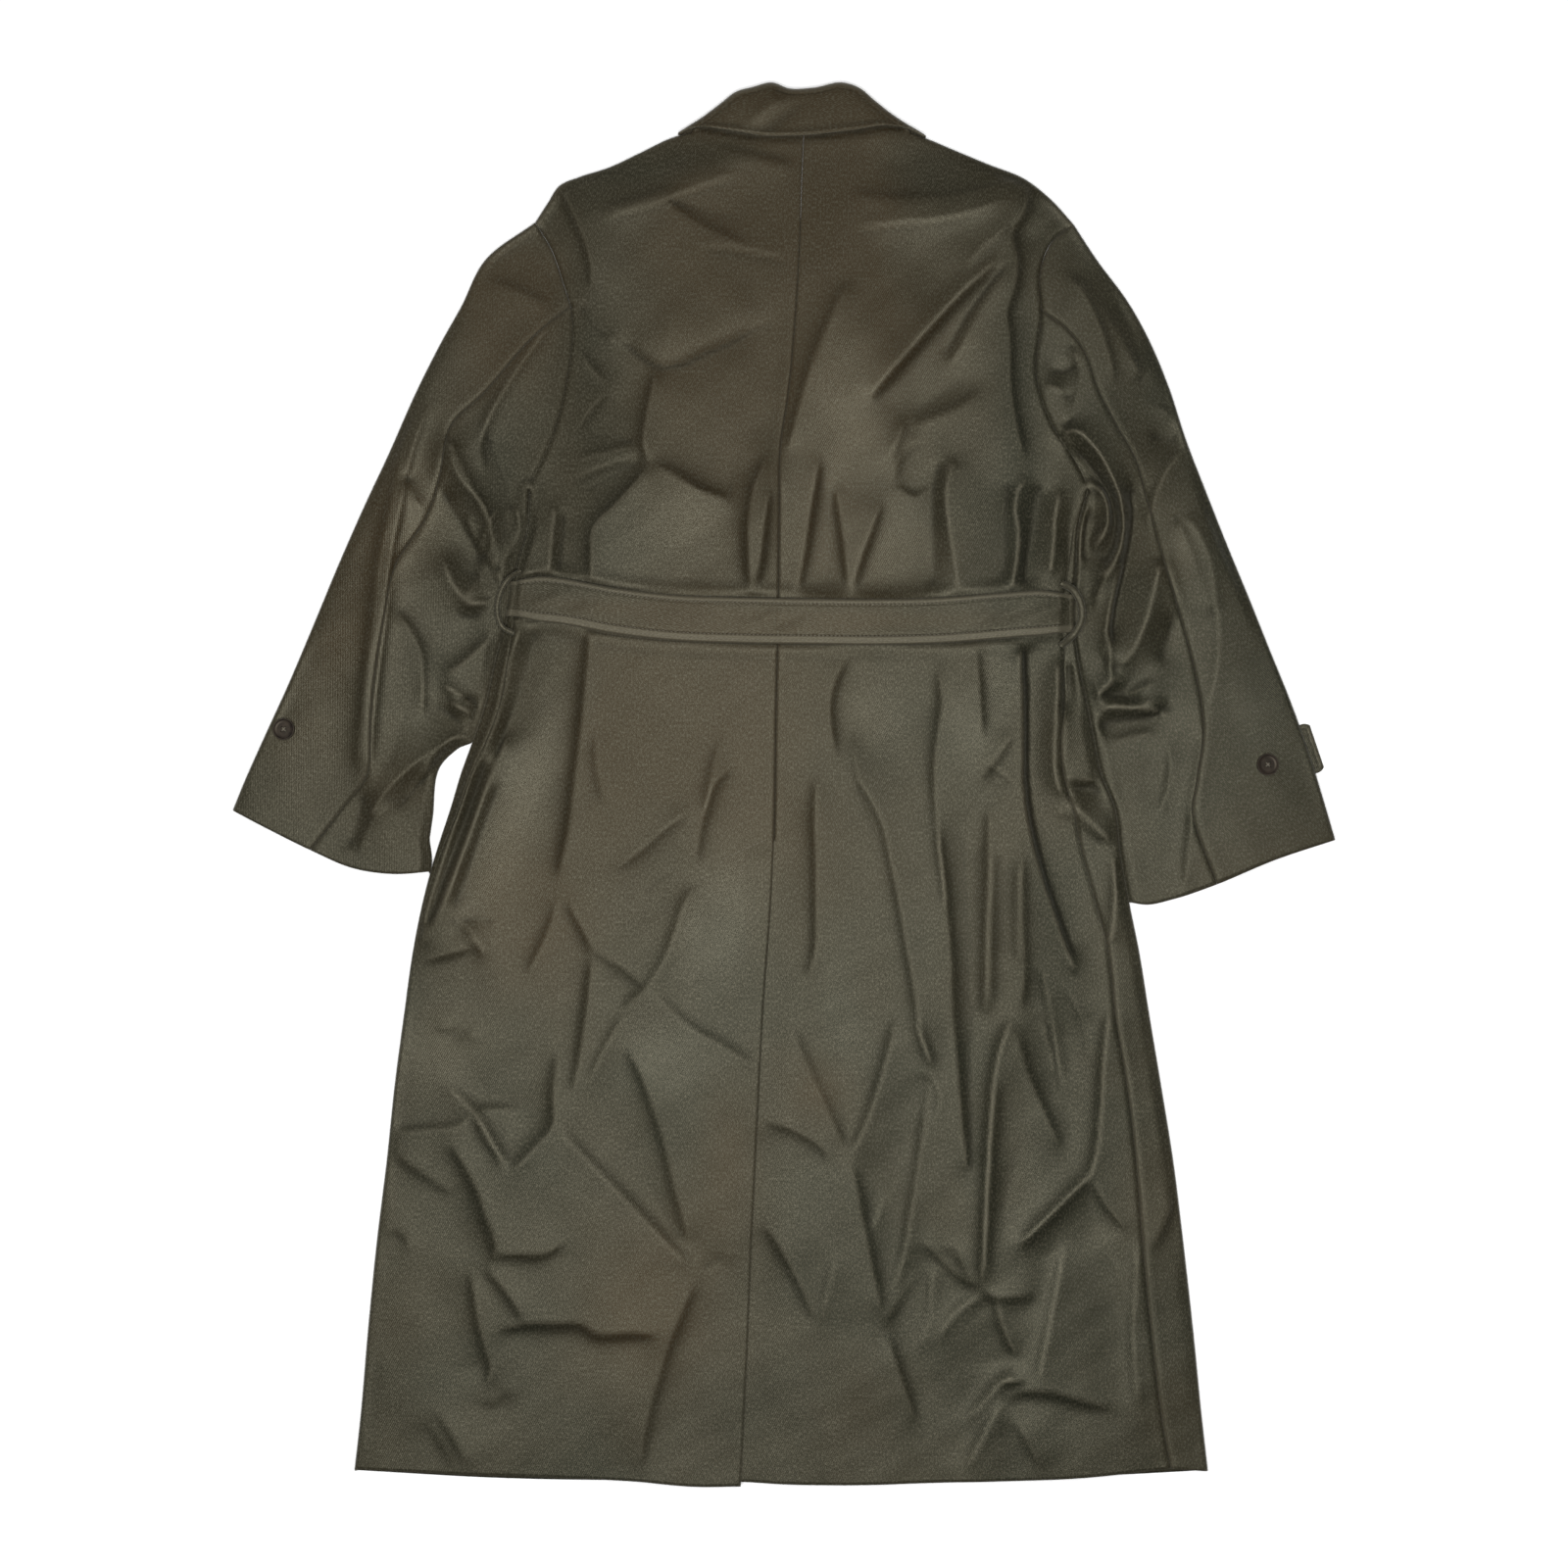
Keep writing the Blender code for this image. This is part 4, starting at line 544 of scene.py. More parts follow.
# Narrow rolls and hollows of the sleeves
SLEEVE_CREASES = creases(
    (6.5, (-296, 306), (-286, 284), (-272, 256), (-259, 228), (-252, 204), (-252, 184)),
    (-4, (-262, 312), (-252, 284), (-243, 256), (-238, 232)),
    (-5, (-302, 262), (-288, 232), (-272, 206), (-266, 186)),
    (5, (-300, 200), (-288, 172), (-272, 158), (-256, 164)),
    (-2.5, (-292, 150), (-276, 146), (-262, 150)),
    (5, (-266, 66), (-284, 78), (-304, 90)),
    (-2.5, (-282, 52), (-296, 62), (-314, 72)),
    (5.5, (-278, 46), (-300, 34), (-326, 16), (-350, -8), (-366, -34)),
    (-2.5, (-310, 10), (-324, -4), (-340, -24)),
    (5, (342, 236), (356, 206), (368, 172), (376, 146)),
    (5, (254, 446), (276, 418), (298, 384), (314, 352)),
    (-3.9, (-285, 78), (-272, 71), (-265, 63)),
    (5.2, (-297, 76), (-286, 68), (-276, 62), (-273, 54)),
    (3.9, (-314, 236), (-325, 250), (-331, 272)),
    (-4.5, (-366, -4), (-376, -30), (-383, -62)),
    (-5.2, (316, 308), (335, 303), (351, 300)),
    (4.5, (250, 386), (258, 370), (258, 345), (252, 322), (245, 312)),
    (-3.2, (228, 363), (245, 362), (256, 366)),
    (3.2, (225, 350), (240, 346), (252, 337)),
    (10.4, (241, 306), (254, 309), (270, 296), (284, 275), (294, 250), (297, 228), (293, 205), (284, 188),
     (272, 176)),
    (-5.2, (252, 297), (265, 284), (279, 266), (288, 248), (291, 225), (285, 203), (274, 191)),
    (5.2, (266, 263), (278, 257), (284, 240), (281, 220), (272, 206)),
    (-9.1, (265, 246), (265, 226), (262, 206), (263, 190)),
    (-6.5, (305, 268), (307, 235), (303, 205), (296, 175), (291, 150), (290, 124)),
    (7.2, (288, 100), (302, 112), (316, 140), (324, 170), (330, 200)),
    (5.9, (281, 104), (282, 130), (286, 155), (292, 180), (297, 200)),
    (-3.9, (328, 102), (339, 130), (342, 152)),
    (5.2, (268, 72), (280, 82), (290, 92), (300, 90)),
    (-6.5, (278, 78), (295, 79), (313, 72)),
    (4.5, (272, 65), (290, 68), (312, 66), (337, 62)),
    (-5.2, (272, 49), (292, 54), (318, 59), (346, 70)),
)

CREASES = BODY_CREASES + SLEEVE_CREASES

# Where the nap is brushed up it looks dull and brown, and where it lies flat it shines
NAP = tuple(NapPatch(*row) for row in (
    (15, 592, 120, 20, 0, 0.5, 0.3),
    (-18, 592, 26, 9, 38, -1.1, -0.3),
    (-110, 151, 110, 9, -4, 0.1, 0.5),
    (70, 142, 150, 9, 1, 0.0, 0.5),
    (20, 592, 110, 32, 0, 0.2, 0.8),
    (10, 390, 210, 140, 90, 0.1, 0.7),
    (-60, 30, 130, 110, 100, 0.2, 1.0),
    (-215, -110, 80, 60, 80, 0.2, 1.1),
    (-380, 170, 150, 40, 68, 0.0, 0.5),
    (-258, 375, 70, 40, 60, 0.3, 0.6),
    (-395, 95, 80, 40, 68, -0.5, 0.3),
    (-20, 470, 90, 60, 0, 0.5, 0.1),
    (225, -440, 130, 85, 90, -0.5, -0.2),
    (-150, 30, 90, 40, 90, 0.3, 0.4),
    (-200, 330, 110, 40, 90, 0.6, 0.2),
    (42, 500, 80, 46, 80, 0.9, 1.0),
    (-60, 485, 70, 55, 0, 0.4, 0.8),
    (-180, 405, 65, 30, 95, 0.8, -0.3),
    (-160, 320, 60, 38, 90, 0.7, -0.2),
    (-78, 330, 70, 58, 90, 0.35, 0.6),
    (-240, 432, 55, 45, 40, 0.35, 0.9),
    (-182, 232, 62, 20, 90, 0.8, 0.1),
    (-246, 245, 85, 24, 85, 0.9, 0.0),
    (-342, -12, 75, 38, 10, 0.6, 0.2),
    (-330, 150, 65, 28, 75, 0.5, 0.1),
    (-266, 55, 95, 22, 68, 0.9, 0.2),
    (206, 335, 135, 20, 90, 0.8, -0.3),
    (313, 310, 125, 22, 112, 0.9, 0.1),
    (285, 200, 85, 28, 80, 0.6, 0.1),
    (235, -150, 105, 28, 95, 0.7, -0.3),
    (256, -350, 75, 38, 70, 0.3, -0.3),
    (60, -420, 95, 68, 80, 0.1, -0.2),
    (170, -330, 105, 18, 90, 0.3, -0.2),
    (-320, -140, 55, 22, 75, 0.7, 0.1),
    (322, -300, 260, 26, 95, 0.1, 0.1),
    (-112, -450, 85, 58, 80, 0.15, 1.0),
    (-50, -330, 65, 30, 90, 0.15, 0.8),
    (30, -270, 34, 30, 0, 0.1, 0.6),
    (112, 402, 62, 48, 30, -0.8, 0.3),
    (58, 300, 105, 46, 80, -0.6, 0.4),
    (100, 200, 62, 38, 0, -0.6, 0.3),
    (-90, 232, 52, 30, 0, -0.6, 0.2),
    (172, 70, 42, 28, 80, -1.0, 0.0),
    (80, 58, 26, 24, 0, -0.7, 0.0),
    (-238, -20, 90, 22, 68, -0.9, 0.3),
    (-300, -232, 34, 30, 0, -0.8, 0.2),
    (-60, -122, 55, 28, 70, -0.9, -0.2),
    (-100, -242, 36, 28, 0, -0.8, -0.2),
    (50, -200, 55, 18, 95, -0.5, -0.2),
    (430, 90, 62, 38, 70, -0.7, -0.2),
    (350, 205, 65, 14, 75, -0.7, 0.1),
    (-352, 180, 110, 34, 65, -0.9, 0.3),
    (-90, 546, 62, 18, 12, -0.5, -0.4),
    (130, 500, 62, 14, 5, -0.5, 0.1),
))

RIPPLES = tuple(Ripple(*row) for row in (
    (167, 20, 0.4, 0.6),
    (121, 104, 2.1, 0.35),
    (83, 152, 4.4, 0.22),
    (57, 48, 1.2, 0.16),
    (41, 8, 5.3, 0.1),
    (29, 127, 3.1, 0.08),
))


def ease(value: Array | float) -> Array:
    """Smooth step from 0 to 1."""
    value = np.clip(value, 0.0, 1.0)
    return value * value * (3.0 - 2.0 * value)


def between(value: Array, low: float, high: float, fade: float) -> Array:
    """1 between two limits, eased to 0 at both."""
    return ease((value - low) / fade) * ease((high - value) / fade)


def bell(away: Array, width: float) -> Array:
    """A soft bump: 1 in the middle, fading over a width."""
    return np.exp(-(away / width) ** 2)


def unit(vectors: Array) -> Array:
    """Vectors brought to the length 1."""
    return vectors / np.linalg.norm(vectors, axis=-1, keepdims=True)


def run_along(line: Array) -> Array:
    """Length from the first point of a line to each of its points."""
    return np.concatenate([[0.0], np.cumsum(np.linalg.norm(np.diff(line, axis=0), axis=1))])


def roll(distance: Array, radius: float) -> tuple[Array, Array]:
    """Cosine and sine of the turn round a folded edge at a distance in from it."""
    cosine = np.clip((radius - distance) / radius, 0.0, 1.0)
    return cosine, np.sqrt(1.0 - cosine ** 2)


def smooth_values(knots: Sequence[float], values: Sequence, places: Array) -> Array:
    """Read a cubic curve through given values.

    Args:
        knots: rising places of the values.
        values: a number or a place in plan for each knot.
        places: where to read the curve.

    Returns:
        The curve's values at the places.
    """
    knots = np.asarray(knots, dtype=float)
    values = np.asarray(values, dtype=float)
    shape = (-1,) + (1,) * (values.ndim - 1)
    spans = np.diff(knots)
    chords = np.diff(values, axis=0) / spans.reshape(shape)
    slopes = np.empty_like(values)
    slopes[0] = chords[0]
    slopes[-1] = chords[-1]
    ahead = (spans[:-1] / (spans[:-1] + spans[1:])).reshape(shape)
    slopes[1:-1] = chords[:-1] * (1.0 - ahead) + chords[1:] * ahead
    places = np.clip(np.asarray(places, dtype=float), knots[0], knots[-1])
    index = np.clip(np.searchsorted(knots, places, side="right") - 1, 0, len(knots) - 2)
    span = spans[index].reshape(places.shape + (1,) * (values.ndim - 1))
    t = (places - knots[index]).reshape(span.shape) / span
    bend_in = slopes[index] * span
    bend_out = slopes[index + 1] * span
    return (values[index] * (1 + 2 * t) * (1 - t) ** 2 + bend_in * t * (1 - t) ** 2
            + values[index + 1] * t * t * (3 - 2 * t) + bend_out * t * t * (t - 1))


def table_column(table: Sequence, key: str, column: str, places: Array) -> Array:
    """Read one named column of a table smoothly at places given as values of its key column."""
    rows = sorted((getattr(row, key), getattr(row, column)) for row in table)
    return smooth_values([row[0] for row in rows], [row[1] for row in rows], places)


class Curve:
    """A smooth curve in plan through a few spots, read by the share of its length."""

    def __init__(self, places: Sequence[Spot], samples: int = 160) -> None:
        """Sample the curve.

        Args:
            places: the spots it goes through.
            samples: how many points stand for it.
        """
        knots = np.array(places, dtype=float)
        chord = run_along(knots)
        self.line = smooth_values(chord, knots, np.linspace(0.0, chord[-1], samples))
        self.run = run_along(self.line)
        self.length = float(self.run[-1])

    def at(self, share: Array) -> Array:
        """Points at shares of the length."""
        place = np.clip(share, 0.0, 1.0) * self.length
        return np.stack([np.interp(place, self.run, self.line[:, axis]) for axis in (0, 1)], axis=-1)


@dataclass(frozen=True)
class Joined:
    """Two curves end to end, read as one: the second starts at the given share."""

    first: Curve
    second: Curve
    share: float

    def at(self, share: Array) -> Array:
        """Points at shares of the whole.

        Args:
            share: shares from 0 to 1.

        Returns:
            The points.
        """
        early = self.first.at(share / self.share)
        late = self.second.at((share - self.share) / (1.0 - self.share))
        return np.where((share < self.share - 1e-9)[..., None], early, late)


class Near(NamedTuple):
    """How points lie to a line: distance, side (right hand positive), share along it and the way off it."""

    distance: Array
    side: Array
    share: Array
    off: Array


def nearest(points: Array, line: Array, most: int = 6000) -> Near:
    """Find how points lie to a line.

    Args:
        points: places in plan.
        line: the points of the line, in order.
        most: how many places are worked on at once.

    Returns:
        One row of the answer for each place.
    """
    if len(points) > most:
        parts = [nearest(points[first:first + most], line) for first in range(0, len(points), most)]
        return Near(*(np.concatenate(column) for column in zip(*parts)))
    step = np.diff(line, axis=0)
    length = np.linalg.norm(step, axis=1)
    away = points[:, None, :] - line[:-1][None]
    share = np.clip((away * step).sum(-1) / length ** 2, 0.0, 1.0)
    gap = away - share[..., None] * step
    best = (gap ** 2).sum(-1).argmin(1)
    rows = np.arange(len(points))
    gap = gap[rows, best]
    side = step[best, 1] * gap[:, 0] - step[best, 0] * gap[:, 1]
    run = run_along(line)
    place = (run[best] + share[rows, best] * length[best]) / run[-1]
    distance = np.linalg.norm(gap, axis=1)
    normal = np.stack([-step[best, 1], step[best, 0]], axis=-1) / length[best, None]
    clear = (distance > NEAR_LINE) | ((distance > ON_LINE) & (side < 0.0))
    off = np.where(clear[:, None], gap / np.maximum(distance, ON_LINE)[:, None], normal)
    return Near(distance, np.sign(side), place, off)


def within(points: Array, line: Array, reach: float) -> Array:
    """Numbers of the points in the box round a line that reaches so far beyond it."""
    inside = (points > line.min(0) - reach) & (points < line.max(0) + reach)
    return np.flatnonzero(inside.all(axis=1))


def centre_x(level: Array) -> Array:
    """The centre-back seam at a level."""
    return table_column(CENTRE_SEAM, "y", "x", level)


def belt_y(x: Array) -> Array:
    """The middle of the belt across the back."""
    return table_column(BELT_LINE, "x", "y", x)


def belt_half(x: Array, run: float = 34.0, left_pinch: float = 0.24, right_pinch: float = 0.16) -> Array:
    """Half the belt's width: drawn together where it enters its loops.

    Args:
        x: where to read it.
        run: how far from a side the pinch begins.
        left_pinch: share of the width lost at the left side.
        right_pinch: share of the width lost at the right side.

    Returns:
        Half widths.
    """
    waist = BODY[3]
    left = ease((waist.left + run - x) / run)
    right = ease((x - waist.right + run) / run)
    return BELT_WIDTH / 2 * (1.0 - left_pinch * left - right_pinch * right)


def side_x(half: Half, levels: Array, wrap: float = 0.0) -> Array:
    """Read a side of the body.

    Args:
        half: which side.
        levels: where to read it.
        wrap: 0 for the folded edge, 1 for the side seam that lies in from it.

    Returns:
        X at the levels.
    """
    edge = table_column(BODY, "level", half.label, levels)
    inset = table_column(BODY, "level", f"{half.label}_wrap", levels) + SEAM_GAP / 2
    return edge - half.value * wrap * inset


def side_line(half: Half, first: float, samples: int, wrap: float = 0.0) -> Array:
    """Points down a side of the body from a level: its folded edge, or its side seam where wrap is 1."""
    levels = np.linspace(first, BODY[-1].level, samples)
    return np.stack([side_x(half, levels, wrap), levels], axis=-1)


def close_gap(cut: HalfCut, line: Array, reach: float = 5.0, lead: float = 12.0) -> Array:
    """Bring a sleeve's inner line up to the side of the body where the two lie close together.

    Args:
        cut: the half.
        line: points of the line.
        reach: gaps up to this are closed, and none that are twice as wide.
        lead: length under the arm over which the closing begins.

    Returns:
        The moved points.
    """
    out = cut.half.value
    gap = out * (line[..., 0] - side_x(cut.half, line[..., 1])) + SLEEVE_PRESS
    share = (1.0 - ease((gap - reach) / reach)) * ease((UNDERARM_LEVEL - line[..., 1]) / lead)
    return line - np.stack([out * gap * share, np.zeros_like(gap)], axis=-1)


def sleeve_reader(cut: HalfCut, part: str, shift: float = 0.0) -> Reader:
    """One of a sleeve's three lines, from the armhole to the cuff.

    Args:
        cut: the half.
        part: the section's field.
        shift: how far the line is moved sideways.

    Returns:
        A reader of the line by the share of its length.
    """
    places = [getattr(section, part) for section in cut.sleeve]
    knots = np.linspace(0.0, 1.0, len(places))

    def at(share: Array) -> Array:
        """Points of the moved line.

        Args:
            share: shares of the length.

        Returns:
            The points.
        """
        ahead = unit(smooth_values(knots, places, share + 0.01) - smooth_values(knots, places, share - 0.01))
        normal = np.stack([ahead[..., 1], -ahead[..., 0]], axis=-1)
        line = smooth_values(knots, places, share) + shift * normal
        return close_gap(cut, line) if part == "inner" else line

    return at


def sleeve_line(cut: HalfCut, part: str, samples: int = 160) -> Array:
    """Points of one of a sleeve's three lines."""
    return sleeve_reader(cut, part)(np.linspace(0.0, 1.0, samples))


def tab_frame(cut: HalfCut) -> tuple[Array, Array, Array]:
    """A cuff tab's end on the sleeve's outer edge, with its directions inward and along the sleeve.

    Args:
        cut: the half.

    Returns:
        The end and the two directions.
    """
    line = sleeve_line(cut, "outer", 280)
    index = int(np.argmin(np.linalg.norm(line - np.array(cut.button, dtype=float), axis=1)))
    along = unit(line[index + 1] - line[index - 1])
    return line[index], -cut.half.value * np.array([-along[1], along[0]]), along


def brushed_nap(points: Array) -> Array:
    """How the cloth is brushed.

    Args:
        points: places in plan.

    Returns:
        A row of dullness and a row of warmth.
    """
    total = np.zeros((2, len(points)))
    for area in NAP:
        turn = math.radians(area.turn)
        away = points - np.array([area.x, area.y])
        along = (away[:, 0] * math.cos(turn) + away[:, 1] * math.sin(turn)) / area.along
        across = (away[:, 1] * math.cos(turn) - away[:, 0] * math.sin(turn)) / area.across
        total += np.outer((area.dull, area.warm), np.exp(-(along ** 2 + across ** 2)))
    return total


@dataclass
class CreaseField:
    """The creases as a height over a square grid: a membrane stretched over all crest and trough lines."""

    step: float = 1.5
    low: tuple[float, float] = (-515.0, -645.0)
    shape: tuple[int, int] = (688, 862)
    reach: float = 45.0
    hold: float = 12.0
    tip: float = 14.0
    unevenness: float = 0.15
    strength: float = 2.35
    crisp: float = 0.62
    line_width: float = 3.6
    soft: float = 1.25
    facet_reach: float = 3.5
    rounds: int = 300

    def __post_init__(self) -> None:
        """Lay the lines on the grid and stretch the membrane."""
        self.pull = np.zeros(self.shape)
        self.target = np.zeros(self.shape)
        for number, crease in enumerate(CREASES):
            curve = Curve(crease.path, 300)
            share = np.linspace(0.0, 1.0, max(8, int(curve.length)))
            fade = self.tips(curve, share)
            uneven = 1.0 + self.unevenness * np.sin(0.03 * curve.length * share + 1.7 * number)
            self.lay_line(curve.at(share), crease.height * uneven * fade, self.hold * fade)
        slopes = np.zeros((2, *self.shape))
        for facet in FACETS:
            self.lay_facet(facet, slopes)
        for axis in (0, 1):
            rise = np.moveaxis(slopes[axis], axis, 0)[:-1] * self.step
            target = np.moveaxis(self.target, axis, 0)
            target[1:] += rise
            target[:-1] -= rise
        self.heights = self.settle()

    def tips(self, curve: Curve, share: Array) -> Array:
        """1 along a line, faded out at its two tips."""
        return between(share, 0.0, 1.0, min(0.45, self.tip / curve.length))

    def lay_facet(self, facet: Facet, slopes: Array) -> None:
        """Write a facet's slopes where they are the steepest so far.

        Args:
            facet: the facet.
            slopes: slope of every cell along x and y.
        """
        curve = Curve(facet.path, 60)
        reach = self.facet_reach * facet.width
        first = np.floor((curve.line.min(axis=0) - reach - self.low) / self.step).astype(int)
        last = np.ceil((curve.line.max(axis=0) + reach - self.low) / self.step).astype(int)
        box = tuple(slice(max(a, 0), min(b, size)) for a, b, size in zip(first, last, self.shape))
        near = nearest(np.mgrid[box].reshape(2, -1).T * self.step + self.low, curve.line)
        beside = (near.distance > NEAR_LINE) | (near.side < 0)
        right = np.where(beside[:, None], near.off * near.side[:, None], -near.off)
        across = near.distance * near.side
        beyond = np.maximum(across, 0.0)
        fall = self.crisp * np.exp(-beyond / self.line_width)
        fall += (1.0 - self.crisp) * np.exp(-beyond / (self.soft * facet.width))
        edge = np.clip(across / (2.0 * self.step) + 0.5, 0.0, 1.0)
        steep = self.strength * facet.slope * self.tips(curve, near.share) * edge * fall
        held = slopes[(slice(None), *box)]
        fresh = -(steep[:, None] * right).T.reshape(held.shape)
        held[:] = np.where((fresh ** 2).sum(axis=0) > (held ** 2).sum(axis=0), fresh, held)

    def lay_line(self, places: Array, heights: Array, holds: Array) -> None:
        """Add one line's heights to the cells around it.

        Args:
            places: points of the line in plan.
            heights: the height to reach at each point.
            holds: how firmly each point is held.
        """
        cell = (places - self.low) / self.step
        base = np.floor(cell).astype(int)
        part = cell - base
        for right in (0, 1):
            for up in (0, 1):
                weight = np.abs(1 - right - part[:, 0]) * np.abs(1 - up - part[:, 1]) * holds
                index = (base[:, 0] + right, base[:, 1] + up)
                np.add.at(self.pull, index, weight)
                np.add.at(self.target, index, weight * heights)

    def stretch(self, heights: Array) -> Array:
        """The membrane's pull on every cell for given heights.

        Args:
            heights: height of every cell.

        Returns:
            The pull on every cell.
        """
        pull = (4.0 + (self.step / self.reach) ** 2 + self.pull) * heights
        pull[1:] -= heights[:-1]
        pull[:-1] -= heights[1:]
        pull[:, 1:] -= heights[:, :-1]
        pull[:, :-1] -= heights[:, 1:]
        return pull

    def settle(self) -> Array:
        """Solve for the heights of the grid by conjugate gradients.

        Returns:
            The heights.
        """
        heights = np.zeros(self.shape)
        rest = self.target.copy()
        way = rest.copy()
        size = float((rest * rest).sum())
        for _ in range(self.rounds):
            pull = self.stretch(way)
            length = size / float((way * pull).sum())
            heights += length * way
            rest -= length * pull
            new_size = float((rest * rest).sum())
            way = rest + (new_size / size) * way
            size = new_size
        return heights

    def height(self, points: Array) -> Array:
        """Read the grid smoothly.

        Args:
            points: places in plan.

        Returns:
            Height of the creases at each place.
        """
        cell = (points - self.low) / self.step
        base = np.floor(cell).astype(int)
        weights = [spline_weights(cell[:, axis] - base[:, axis]) for axis in (0, 1)]
        total = np.zeros(len(points))
        for right in range(4):
            for up in range(4):
                reading = self.heights[base[:, 0] + right - 1, base[:, 1] + up - 1]
                total += weights[0][right] * weights[1][up] * reading
        return total


def spline_weights(part: Array) -> tuple[Array, Array, Array, Array]:
    """Weights of the four readings round a place between two grid lines."""
    rest = 1.0 - part
    return (rest ** 3 / 6.0, 2.0 / 3.0 - part ** 2 * (1.0 - part / 2.0),
            2.0 / 3.0 - rest ** 2 * (1.0 - rest / 2.0), part ** 3 / 6.0)


def walled(plan: Array, height: Array, inward: Array, upward: Array) -> tuple[Array, Array]:
    """Lift a grid in plan to its heights and give it a wall.

    Args:
        plan: places in plan, in any grid.
        height: height of each place.
        inward: the part of the way through the wall that runs in plan.
        upward: the part that runs up.

    Returns:
        The points and the vectors through the wall, in the same grid.
    """
    points = np.column_stack([plan.reshape(-1, 2), height])
    through = CLOTH * np.column_stack([inward, upward])
    shape = (*plan.shape[:-1], 3)
    return points.reshape(shape), through.reshape(shape)


